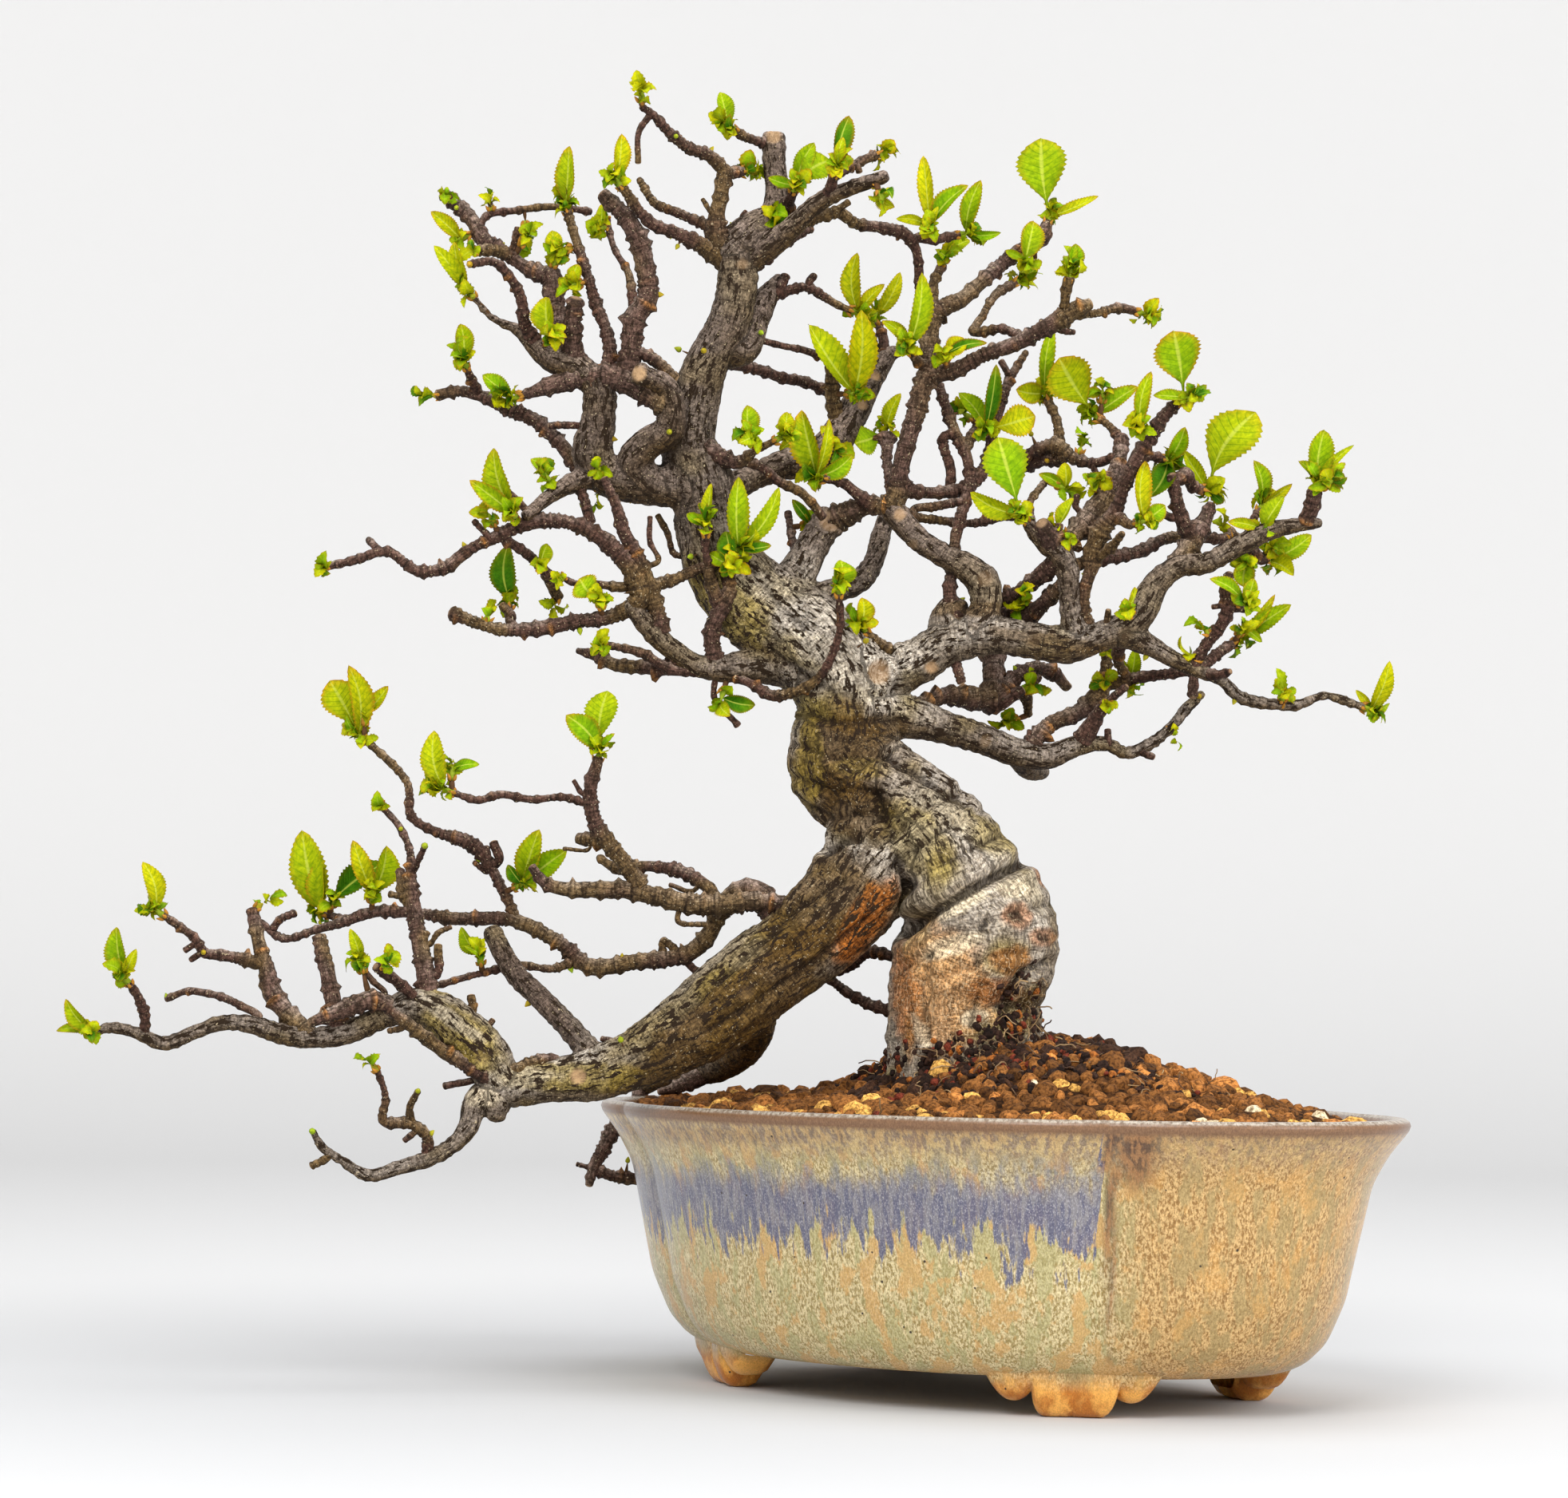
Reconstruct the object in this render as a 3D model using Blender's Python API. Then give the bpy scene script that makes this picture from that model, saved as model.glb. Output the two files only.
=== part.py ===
"""Chinese quince bonsai, standing in a glazed pot with four lobes.

Blender 4.5, metres, +Z up. The origin is the middle of the whole tree and pot as seen from above,
on the surface that the pot's feet stand on. The route points are read in a view along +Y, and every
piece is made round the pot's middle and then moved by ORIGIN_SHIFT.
"""
import math
import random

import bmesh
import bpy
from mathutils import Matrix, Vector
from mathutils.bvhtree import BVHTree

MM = 0.001

# Driving sizes in millimetres.
PIXEL = 0.2                 # what one pixel of the photograph spans at the middle of the pot
VIEW_DISTANCE = 1100.0      # from the eye to the middle of the pot
EYE_HEIGHT = 103.5
EYE_LEFT_OF_POT = 51.6
POT_HEIGHT = 71.0
POT_UNDERSIDE = 8.6
POT_WALL = 6.0
POT_FLOOR = 5.0
POT_NARROWNESS = 0.645      # short axis over long axis
POT_TURN = math.radians(-42.0)
NOTCH_DEPTH = 0.055         # share of the radius that the four corners are pressed in
LOBE_SHARPNESS = 0.6
DRAIN_RADIUS = 7.0
DRAIN_OFFSET = 38.0
SOIL_EDGE = 69.0            # height of the soil at the pot's wall
GRAIN_RELIEF = 1.0
GAP = 0.35                  # clearance between pieces that touch
KEEL = 0.9                  # thickness of a leaf along its rib
BUD_RADIUS = 1.25
LEAF_MARGIN = 0.55          # clearance that is kept round each leaf
WELD = 0.001                # distance below which corners are joined
THINNING = 5.0              # pixels that a branch may stray from its route
SPUR_CLEARANCE = 14.0       # pixels from the face of a branch to the end of a tuft's spur
SPUR_WIDTHS = (9, 8)        # pixels
ORIGIN_SHIFT = (59.6, 0.0)  # moves the middle of the whole outline to the origin

# The frame that route points are read in, in pixels of the 1964 x 1876 photograph.
CENTRE_COLUMN, CENTRE_ROW = 981, 935
HORIZON_ROW = 1219
ROLL = math.radians(0.63)   # the photograph leans clockwise by this much

# Outer profile of the pot: height, and half of the long axis.
POT_PROFILE = [(8.6, 82.5), (11.4, 89.5), (16.5, 95.0), (27.0, 100.3), (42.5, 104.0), (55.0, 107.0),
               (62.5, 111.5), (67.3, 115.8), (69.4, 116.2), (71.0, 114.0)]
POT_STEPS = 40

# Inner face of the pot: height below the rim, and distance in from the outer profile. The floor's
# rounded edge follows.
INNER_FACE = [(0.4, 3.0), (3.0, POT_WALL), (13.0, POT_WALL), (35.0, POT_WALL)]
FLOOR_EDGE = [(3.0, POT_WALL + 1.0), (0.0, POT_WALL + 4.0)]

# A foot of the pot, in millimetres along the wall from its middle, with a flat middle lobe that it
# stands on and a shorter lobe on either side.
FOOT_OFFSETS = [7.0, 9.8, 10.8, 13.0, 16.5, 19.5, 22.0]
FOOT_FLAT = 7.0
MIDDLE_LOBE_EDGE, MIDDLE_LOBE_LIFT = 10.8, 5.0
SIDE_LOBE_MIDDLE, SIDE_LOBE_HALF = 15.5, 6.5
SIDE_LOBE_LOW, SIDE_LOBE_LIFT, SIDE_LOBE_ROUND = 3.6, 5.4, 2.2
FOOT_LINE = 84.0            # half of the long axis that the outer faces of the feet follow
FOOT_LEAN = 3.0             # how much farther out a foot's top is
FOOT_DEPTH = 7.0
FOOT_TOP = 13.0
FOOT_ARC = 74.0             # radius that turns a distance along the wall into an angle

# Height of the soil at shares of the way from the trunk's middle to the wall, on either side.
SOIL_LEFT = [(0.0, 83.0), (0.25, 80.5), (0.34, 75.0), (0.45, 72.4), (0.65, 71.2), (0.88, 70.2), (1.0, 69.0)]
SOIL_RIGHT = [(0.0, 88.0), (0.38, 87.0), (0.5, 81.5), (0.62, 77.0), (0.75, 73.5), (0.88, 71.0), (1.0, 69.0)]
SOIL_SHARES = [0.94, 0.86, 0.76, 0.66, 0.56, 0.46, 0.37, 0.28, 0.18, 0.08]
MOUND_MIDDLE = (1205, 1330)   # pixels
SHARE_JITTER = 0.018
SOIL_INSET = 2.1 * GAP

# Widths in pixels up to which a tube has 4, 6, 8, 10 and 12 sides, and how much wider it is made so
# that its flat sides cover as much of the view as the round branch.
TUBE_SIDES = [(29, 1.12), (60, 1.06), (95, 1.03), (130, 1.02), (999, 1.01)]

BARK_COLOUR = (0.10, 0.075, 0.06)
LEAF_COLOUR = (0.38, 0.52, 0.05)
GLAZE_COLOUR = (0.42, 0.33, 0.18)
SOIL_COLOUR = (0.20, 0.09, 0.04)

# Depth of the trunk's points, in millimetres; points are (column, row, width) in pixels.
TRUNK = [(1200, 1440, 184, 0), (1200, 1350, 190, 0), (1204, 1275, 192, -1), (1201, 1242, 182, -2),
         (1212, 1208, 198, -3), (1226, 1160, 188, -5), (1202, 1108, 160, -6), (1180, 1062, 142, -5),
         (1140, 1015, 124, -2), (1090, 980, 122, 0), (1052, 945, 130, 2), (1058, 898, 126, 3),
         (1048, 848, 128, 4), (1020, 812, 126, 5), (975, 777, 120, 6), (934, 745, 110, 6),
         (902, 705, 96, 5), (886, 650, 88, 3), (874, 600, 84, 1), (860, 555, 72, 0),
         (866, 500, 60, -2), (883, 450, 56, -4), (908, 400, 53, -6), (920, 350, 53, -7), (917, 305, 48, -8)]

# Routes of the branches: name: (parent, reach in depth in millimetres, points). A reach above zero
# leads away from the viewer. Points are (column, row, width) in pixels of the photograph.
ROUTES = {
    "ridge_right": ("trunk", -6, [(1252, 1262, 80), (1268, 1208, 88), (1268, 1145, 84), (1232, 1085, 70),
                                  (1198, 1038, 58), (1158, 996, 50), (1110, 970, 46)]),
    "ridge_left": ("trunk", 6, [(1150, 1262, 80), (1163, 1205, 84), (1180, 1150, 74), (1158, 1092, 70),
                                (1130, 1040, 60), (1080, 1000, 56)]),
    "bulge": ("trunk", -2, [(1046, 905, 96), (1036, 945, 106), (1044, 985, 92), (1070, 1020, 70)]),
    "shoulder": ("trunk", -10, [(1090, 975, 100), (1072, 1012, 78), (1064, 1060, 70), (1042, 1100, 74),
                                (1000, 1150, 70)]),
    "lower_limb": ("trunk", -20, [(1112, 1062, 112), (1050, 1137, 112), (996, 1187, 108), (950, 1218, 110),
                                  (905, 1256, 112), (850, 1293, 96), (800, 1322, 78), (750, 1340, 68),
                                  (700, 1348, 58), (655, 1355, 52), (622, 1366, 44), (618, 1394, 24)]),
    "limb_tip": ("lower_limb", -10, [(625, 1352, 50), (600, 1315, 62), (572, 1288, 62), (545, 1266, 55),
                                     (510, 1258, 45), (480, 1268, 32), (450, 1283, 30), (420, 1293, 30),
                                     (390, 1297, 28), (350, 1292, 28), (310, 1280, 24), (275, 1278, 20),
                                     (240, 1290, 18), (200, 1304, 18), (165, 1290, 16), (132, 1284, 14),
                                     (112, 1291, 9)]),
    "tip_spur": ("limb_tip", -7, [(178, 1290, 12), (176, 1265, 12), (166, 1240, 11), (157, 1228, 10)]),
    "tip_whip": ("limb_tip", 12, [(318, 1270, 11), (300, 1258, 10), (280, 1248, 10), (250, 1240, 9),
                                  (232, 1238, 9), (205, 1248, 8)]),
    "tip_riser": ("limb_tip", 8, [(385, 1295, 26), (354, 1264, 24), (335, 1235, 24), (328, 1205, 20),
                                  (320, 1175, 18), (312, 1138, 15)]),
    "tip_riser_arm": ("tip_riser", -8, [(328, 1205, 18), (300, 1198, 16), (275, 1193, 14), (252, 1190, 13),
                                        (240, 1172, 11), (225, 1160, 10), (200, 1143, 9)]),
    "back_runner": ("lower_limb", 26, [(968, 1150, 28), (940, 1112, 28), (915, 1118, 26), (895, 1145, 22),
                                       (880, 1172, 22), (860, 1190, 21), (800, 1200, 20), (730, 1205, 20),
                                       (700, 1180, 18), (640, 1150, 18), (560, 1147, 16), (520, 1141, 14),
                                       (460, 1140, 14), (425, 1152, 12), (390, 1162, 10), (350, 1172, 9),
                                       (322, 1152, 9)]),
    "runner_fork": ("back_runner", -8, [(715, 1200, 12), (690, 1210, 10), (650, 1206, 10), (590, 1218, 9),
                                        (537, 1233, 8)]),
    "bud_riser": ("back_runner", 4, [(430, 1150, 11), (418, 1146, 10), (405, 1142, 9)]),
    "cut_riser": ("lower_limb", 16, [(745, 1325, 34), (700, 1275, 30), (670, 1245, 28), (640, 1215, 26),
                                     (625, 1190, 26), (613, 1165, 26)]),
    "limb_riser": ("limb_tip", 12, [(530, 1262, 28), (530, 1230, 26), (524, 1190, 22), (515, 1140, 20),
                                    (510, 1100, 16), (510, 1065, 10), (498, 1035, 9), (473, 1006, 8)]),
    "riser_fork": ("limb_riser", -6, [(512, 1092, 9), (520, 1074, 8), (528, 1056, 8)]),
    "riser_stump": ("limb_riser", 6, [(507, 1125, 14), (497, 1088, 12)]),
    "cut_stub": ("limb_tip", 6, [(420, 1285, 26), (408, 1225, 20), (396, 1172, 18)]),
    "front_hook": ("limb_tip", -9, [(500, 1262, 26), (460, 1250, 25), (425, 1262, 22), (385, 1278, 12)]),
    "front_hook_up": ("limb_tip", -12, [(525, 1255, 15), (500, 1232, 14), (468, 1208, 13)]),
    "front_rib": ("lower_limb", -14, [(712, 1335, 18), (680, 1324, 16), (640, 1336, 16), (610, 1345, 20),
                                      (580, 1330, 20), (550, 1312, 18), (510, 1282, 16), (478, 1258, 12)]),
    "hanging": ("lower_limb", -10, [(610, 1362, 36), (590, 1378, 30), (584, 1405, 26), (570, 1425, 22),
                                    (540, 1445, 21), (500, 1458, 18), (455, 1469, 17), (425, 1451, 13),
                                    (400, 1434, 12), (388, 1414, 9)]),
    "hanging_arm": ("hanging", -8, [(530, 1442, 15), (532, 1424, 14), (512, 1405, 14), (476, 1400, 12),
                                    (479, 1372, 9), (468, 1337, 8)]),
    "hanging_fork": ("hanging_arm", -5, [(512, 1403, 10), (509, 1386, 9), (519, 1364, 8)]),
    "front_runner": ("lower_limb", -4, [(1000, 1140, 24), (950, 1126, 24), (895, 1130, 26), (860, 1128, 26),
                                        (820, 1120, 24), (785, 1112, 23), (740, 1111, 20), (700, 1110, 18),
                                        (676, 1101, 15), (663, 1083, 11)]),
    "runner_post": ("front_runner", -7, [(798, 1108, 24), (780, 1080, 21), (757, 1052, 21), (740, 1022, 19),
                                         (735, 990, 18), (745, 948, 15)]),
    "post_arm": ("runner_post", -5, [(732, 1004, 10), (705, 996, 9), (660, 998, 10), (622, 992, 10),
                                     (596, 999, 9), (562, 989, 8)]),
    "post_stub": ("runner_post", 5, [(752, 1050, 16), (722, 1047, 15)]),
    "shadow_runner": ("front_runner", 22, [(890, 1120, 16), (865, 1096, 16), (815, 1082, 14), (765, 1083, 13),
                                           (746, 1071, 9)]),
    "back_arch": ("back_runner", 8, [(642, 1147, 14), (625, 1110, 13), (612, 1086, 14), (598, 1064, 19),
                                     (578, 1050, 19), (545, 1040, 13), (511, 1019, 11), (507, 980, 10),
                                     (482, 949, 10), (453, 924, 9)]),
    "pot_hanger": ("lower_limb", 92, [(945, 1270, 46), (932, 1305, 48), (900, 1328, 44), (872, 1340, 32),
                                      (845, 1345, 24), (818, 1350, 22), (800, 1360, 20)]),
    "hanger_drop": ("pot_hanger", -8, [(802, 1356, 20), (797, 1370, 20), (786, 1387, 19), (765, 1410, 19),
                                       (752, 1436, 18), (737, 1466, 14), (734, 1480, 11)]),
    "hanger_fork": ("hanger_drop", 2, [(742, 1462, 14), (765, 1470, 15), (795, 1474, 15)]),
    "hanger_stub": ("pot_hanger", -4, [(885, 1338, 26), (860, 1352, 22), (840, 1360, 14), (822, 1364, 9)]),
    "trunk_spur_high": ("trunk", 18, [(1117, 1195, 14), (1085, 1190, 14), (1056, 1210, 12), (1032, 1216, 11)]),
    "trunk_spur_low": ("trunk", 14, [(1108, 1262, 14), (1067, 1246, 13), (1034, 1222, 11)]),
    "left_collar": ("trunk", -14, [(985, 828, 60), (930, 832, 42), (895, 835, 32), (868, 830, 28),
                                   (840, 812, 26), (812, 788, 26), (788, 755, 24)]),
    "collar_post": ("left_collar", -4, [(893, 832, 24), (888, 785, 20), (900, 758, 22), (911, 736, 20)]),
    "collar_prong": ("collar_post", -4, [(897, 755, 18), (886, 726, 17), (884, 708, 13)]),
    "tuft_stem": ("collar_prong", -3, [(884, 708, 11), (880, 690, 10), (880, 666, 10)]),
    "curl_twig": ("left_collar", -16, [(905, 843, 14), (930, 850, 12), (965, 868, 14), (990, 864, 13),
                                       (1022, 845, 11), (1038, 818, 10), (1048, 785, 9), (1047, 742, 9)]),
    "collar_twig": ("left_collar", -6, [(872, 838, 14), (835, 835, 14), (800, 815, 12), (757, 805, 10)]),
    "collar_shadow": ("left_collar", 16, [(835, 830, 20), (800, 832, 18), (765, 829, 16), (742, 818, 14),
                                          (720, 812, 8)]),
    "red_riser": ("left_collar", -8, [(826, 790, 22), (810, 735, 22), (795, 695, 19), (780, 668, 18),
                                      (768, 632, 14), (753, 597, 10)]),
    "left_runner": ("collar_post", -4, [(905, 702, 16), (880, 706, 14), (842, 722, 14), (815, 732, 19),
                                        (795, 752, 23), (765, 768, 19), (720, 775, 18), (660, 785, 19),
                                        (620, 785, 16), (585, 774, 16), (563, 765, 18)]),
    "runner_whip": ("left_runner", -6, [(806, 728, 12), (775, 732, 12), (745, 729, 10), (715, 727, 8),
                                        (700, 720, 8)]),
    "left_limb": ("trunk", -10, [(878, 605, 56), (835, 607, 52), (790, 602, 52), (752, 590, 52),
                                 (738, 562, 52), (745, 530, 44), (747, 492, 42), (744, 468, 38)]),
    "limb_loop": ("left_limb", -16, [(842, 612, 46), (805, 600, 46), (791, 575, 44), (806, 553, 40),
                                     (832, 537, 38), (838, 510, 34), (832, 484, 30), (797, 465, 25)]),
    "loop_runner": ("limb_loop", 4, [(832, 505, 32), (800, 484, 32), (770, 470, 32), (735, 469, 25),
                                     (700, 475, 25), (672, 485, 18), (648, 493, 10)]),
    "wound_twig": ("trunk", -12, [(845, 550, 26), (872, 556, 24), (897, 568, 22), (920, 576, 15),
                                  (940, 563, 10), (968, 548, 9)]),
    "cross_twig": ("wound_twig", 10, [(922, 575, 11), (945, 580, 11), (972, 600, 12), (1002, 616, 12),
                                      (1026, 644, 12)]),
    "high_left": ("left_limb", 2, [(742, 476, 38), (715, 455, 38), (690, 448, 36), (665, 430, 26),
                                   (645, 411, 16), (612, 395, 10), (588, 368, 8)]),
    "high_post": ("high_left", -6, [(716, 452, 30), (712, 420, 27), (713, 395, 23), (717, 374, 18)]),
    "high_back": ("high_left", 24, [(702, 430, 24), (695, 400, 22), (690, 370, 26), (687, 346, 26),
                                    (660, 335, 18), (625, 312, 17), (604, 300, 20), (585, 270, 19),
                                    (553, 241, 16)]),
    "high_back_whip": ("high_back", 10, [(594, 285, 9), (605, 268, 9), (640, 261, 9), (690, 256, 9),
                                         (735, 262, 9)]),
    "high_back_tip": ("high_back", -6, [(640, 318, 15), (612, 311, 15), (588, 311, 14)]),
    "high_front": ("high_left", -14, [(668, 428, 18), (652, 400, 15), (650, 376, 14), (633, 342, 12),
                                      (614, 325, 11), (584, 328, 9)]),
    "whip_a": ("left_limb", 8, [(752, 472, 20), (760, 440, 17), (755, 410, 16), (743, 380, 15),
                                (733, 345, 13), (722, 312, 12), (707, 263, 12)]),
    "whip_b": ("loop_runner", 16, [(790, 470, 18), (790, 420, 14), (788, 372, 11), (783, 340, 10),
                                   (766, 310, 8), (755, 270, 8)]),
    "whip_c": ("loop_runner", -4, [(782, 468, 28), (787, 425, 27), (791, 398, 28), (808, 366, 27),
                                   (806, 340, 24), (797, 302, 25), (783, 273, 23), (752, 242, 19)]),
    "crown_left_low": ("trunk", -12, [(905, 325, 26), (880, 308, 22), (850, 292, 17), (808, 274, 14),
                                      (790, 252, 14), (775, 231, 13)]),
    "crown_left_high": ("trunk", 8, [(900, 300, 22), (880, 280, 15), (848, 265, 12), (815, 250, 11),
                                     (797, 222, 9)]),
    "crown_post": ("trunk", -4, [(900, 300, 30), (893, 272, 22), (898, 245, 19), (904, 212, 20)]),
    "crown_whip": ("crown_post", -10, [(905, 212, 18), (882, 191, 16), (858, 182, 14), (832, 160, 13),
                                       (815, 142, 11), (800, 131, 9)]),
    "crown_prong": ("crown_post", 4, [(905, 214, 16), (926, 212, 12)]),
    "crown_stub": ("trunk", 6, [(918, 305, 54), (942, 284, 48), (964, 268, 38), (969, 240, 30),
                                (966, 205, 30), (965, 172, 30)]),
    "stub_twig": ("crown_stub", -6, [(962, 180, 14), (940, 172, 11), (927, 168, 12), (916, 160, 11)]),
    "crown_spur": ("crown_stub", -8, [(970, 262, 24), (985, 248, 14), (990, 236, 9)]),
    "crown_arm": ("trunk", -14, [(925, 330, 36), (942, 318, 30), (965, 300, 30), (992, 278, 26),
                                 (1025, 248, 23), (1060, 233, 20), (1104, 218, 17)]),
    "arm_spur": ("crown_arm", -5, [(1033, 243, 14), (1038, 226, 13), (1041, 216, 11)]),
    "arm_twig": ("arm_spur", 8, [(1040, 220, 9), (1062, 206, 11), (1080, 196, 12), (1094, 191, 10)]),
    "crown_low_arm": ("crown_arm", 14, [(935, 328, 26), (960, 312, 22), (988, 293, 16), (1011, 284, 9)]),
    "crown_bridge": ("crown_arm", 30, [(1005, 275, 14), (1025, 268, 14), (1045, 263, 15), (1068, 277, 14),
                                       (1100, 282, 14), (1135, 295, 16), (1143, 310, 13), (1147, 352, 12),
                                       (1150, 385, 14), (1162, 425, 16), (1160, 455, 20)]),
    "crown_right": ("trunk", 10, [(918, 436, 46), (940, 395, 40), (957, 368, 30), (972, 344, 13)]),
    "crown_right_twig": ("crown_right", 8, [(955, 372, 20), (975, 363, 15), (1010, 358, 11), (1028, 369, 11),
                                            (1045, 379, 9), (1062, 386, 9)]),
    "bridge_high": ("trunk", 16, [(915, 425, 10), (950, 424, 9), (975, 430, 8), (1005, 436, 9),
                                  (1032, 446, 11)]),
    "bridge_low": ("trunk", 30, [(905, 452, 14), (940, 458, 13), (975, 470, 13), (1005, 476, 13),
                                 (1034, 488, 13)]),
    "right_riser": ("trunk", 6, [(930, 775, 70), (968, 745, 56), (993, 718, 50), (1008, 692, 44),
                                 (1022, 668, 40), (1036, 650, 36)]),
    "riser_link": ("right_riser", -6, [(1036, 650, 32), (1062, 638, 27), (1085, 630, 22), (1108, 632, 26)]),
    "back_riser": ("trunk", 26, [(990, 760, 44), (1035, 738, 30), (1072, 724, 31), (1090, 700, 26),
                                 (1098, 672, 25), (1106, 645, 22)]),
    "trunk_knob": ("trunk", 12, [(960, 755, 30), (973, 728, 24)]),
    "tall_mid": ("trunk", 24, [(905, 610, 40), (945, 592, 32), (982, 578, 36), (1010, 575, 38),
                               (1040, 550, 42), (1062, 518, 40), (1082, 480, 33), (1098, 456, 28),
                               (1112, 440, 20), (1126, 436, 13)]),
    "mid_post": ("tall_mid", -6, [(1048, 535, 26), (1040, 505, 19), (1038, 472, 17), (1037, 444, 14)]),
    "mid_prong": ("tall_mid", 4, [(1104, 450, 16), (1102, 420, 12), (1096, 403, 10)]),
    "mid_stub": ("tall_mid", 10, [(1092, 462, 16), (1087, 440, 23), (1083, 418, 18)]),
    "leaf_twig": ("riser_link", -4, [(1098, 635, 18), (1075, 620, 16), (1050, 601, 12), (1028, 596, 10)]),
    "column": ("riser_link", -4, [(1110, 634, 30), (1121, 612, 27), (1123, 590, 22), (1130, 560, 22),
                                  (1139, 528, 23), (1147, 500, 25), (1156, 470, 25), (1163, 455, 24)]),
    "column_left": ("column", -6, [(1158, 458, 14), (1142, 446, 11), (1138, 438, 9)]),
    "column_stub": ("column", 8, [(1114, 622, 14), (1108, 590, 10), (1107, 565, 13), (1106, 545, 21)]),
    "column_arm": ("column", -10, [(1160, 468, 22), (1190, 461, 20), (1230, 441, 18), (1262, 430, 19),
                                   (1300, 411, 21), (1325, 396, 24), (1348, 383, 20), (1360, 378, 15)]),
    "arm_post": ("column_arm", -4, [(1330, 392, 13), (1330, 370, 12), (1335, 347, 15)]),
    "arm_tip": ("column_arm", 6, [(1340, 392, 12), (1370, 389, 10), (1402, 383, 12), (1421, 388, 8)]),
    "arm_low_stub": ("column_arm", 5, [(1312, 404, 9), (1326, 411, 8), (1340, 413, 7)]),
    "back_arm": ("column_arm", 26, [(1278, 420, 13), (1252, 409, 11), (1216, 412, 12), (1228, 390, 9),
                                    (1243, 366, 11), (1266, 352, 11)]),
    "sweep": ("column", 18, [(1160, 460, 22), (1160, 420, 22), (1166, 390, 25), (1200, 372, 20),
                             (1232, 344, 18), (1272, 312, 18), (1303, 292, 20), (1308, 277, 14)]),
    "sweep_spur": ("sweep", 10, [(1165, 385, 14), (1166, 350, 12), (1176, 330, 12)]),
    "bridge_spur": ("crown_bridge", 4, [(1142, 296, 12), (1165, 297, 12), (1196, 291, 11)]),
    "shadow_riser": ("column", 22, [(1120, 610, 22), (1165, 614, 15), (1210, 606, 18), (1228, 585, 16),
                                    (1237, 550, 13), (1246, 515, 13), (1256, 482, 13), (1266, 462, 11),
                                    (1281, 438, 8)]),
    "dark_riser": ("lower_right", 14, [(1190, 768, 20), (1186, 738, 17), (1190, 700, 14), (1195, 660, 14),
                                       (1204, 628, 14), (1210, 600, 15), (1207, 570, 14), (1194, 542, 15),
                                       (1182, 512, 13), (1172, 480, 12)]),
    "low_bridge": ("column", 12, [(1128, 640, 14), (1165, 648, 11), (1215, 652, 10), (1262, 645, 9),
                                  (1282, 648, 9)]),
    "shadow_fork": ("dark_riser", 14, [(1205, 560, 14), (1222, 530, 12), (1236, 518, 11)]),
    "diagonal": ("riser_link", -6, [(1110, 634, 32), (1130, 656, 31), (1152, 677, 31), (1180, 694, 32),
                                    (1208, 708, 37), (1228, 728, 42), (1230, 762, 40), (1215, 792, 40)]),
    "lower_right": ("trunk", -12, [(1075, 850, 84), (1112, 840, 64), (1148, 824, 58), (1176, 804, 54),
                                   (1207, 796, 50), (1245, 792, 45), (1290, 800, 43), (1335, 804, 45),
                                   (1370, 795, 39), (1402, 783, 42), (1425, 762, 42), (1445, 728, 34),
                                   (1470, 707, 29), (1505, 703, 26), (1540, 685, 25), (1580, 664, 25),
                                   (1612, 656, 21), (1648, 652, 15)]),
    "right_hump": ("lower_right", 4, [(1185, 800, 50), (1182, 772, 44), (1190, 757, 34)]),
    "right_tip": ("lower_right", -4, [(1630, 652, 18), (1638, 635, 20), (1643, 614, 20)]),
    "arch_low": ("trunk", 14, [(1095, 890, 70), (1135, 896, 54), (1178, 908, 42), (1230, 924, 37),
                               (1272, 940, 36), (1310, 944, 32), (1345, 931, 28), (1385, 930, 18),
                               (1405, 940, 16), (1430, 932, 16), (1462, 908, 14), (1488, 878, 13),
                               (1502, 866, 9)]),
    "arch_stub": ("arch_low", 18, [(1270, 940, 34), (1286, 960, 30), (1302, 964, 20)]),
    "arch_riser": ("arch_low", 12, [(1287, 932, 22), (1306, 908, 20), (1348, 888, 22), (1372, 866, 25),
                                (1380, 840, 16), (1383, 812, 14)]),
    "arch_front": ("arch_low", -8, [(1352, 925, 26), (1366, 900, 21), (1380, 880, 12), (1406, 857, 10)]),
    "arch_return": ("arch_riser", -8, [(1385, 852, 16), (1425, 845, 14), (1455, 842, 13), (1488, 840, 12),
                                       (1490, 868, 12)]),
    "back_mass": ("arch_low", 34, [(1140, 885, 26), (1180, 868, 20), (1215, 872, 30), (1240, 870, 30),
                                   (1262, 850, 20), (1290, 834, 17), (1318, 842, 16), (1332, 857, 13)]),
    "back_mass_post": ("back_mass", 6, [(1238, 868, 26), (1240, 838, 27), (1241, 815, 26)]),
    "back_mass_twig": ("back_mass", 10, [(1258, 858, 12), (1280, 868, 14), (1284, 892, 10)]),
    "mid_column": ("lower_right", -8, [(1348, 798, 40), (1338, 768, 29), (1335, 738, 27), (1332, 708, 30),
                                       (1322, 688, 33), (1306, 678, 26), (1290, 662, 20), (1281, 650, 14)]),
    "cut_face": ("mid_column", -6, [(1316, 682, 24), (1306, 664, 23), (1302, 655, 22)]),
    "link_back": ("mid_column", 18, [(1324, 695, 22), (1302, 716, 22), (1275, 736, 16), (1244, 752, 18)]),
    "link_low": ("mid_column", 24, [(1334, 722, 20), (1308, 748, 18), (1282, 768, 22), (1246, 764, 20)]),
    "dark_arm": ("mid_column", 16, [(1328, 680, 24), (1352, 655, 28), (1372, 634, 32), (1388, 605, 25),
                                    (1398, 572, 19), (1401, 546, 18)]),
    "dark_arm_tip": ("dark_arm", 4, [(1400, 550, 13), (1385, 530, 10), (1374, 522, 10)]),
    "grey_arm": ("dark_arm", 10, [(1394, 568, 11), (1368, 577, 12), (1342, 571, 14), (1320, 556, 21),
                                  (1296, 560, 15), (1276, 570, 10)]),
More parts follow.
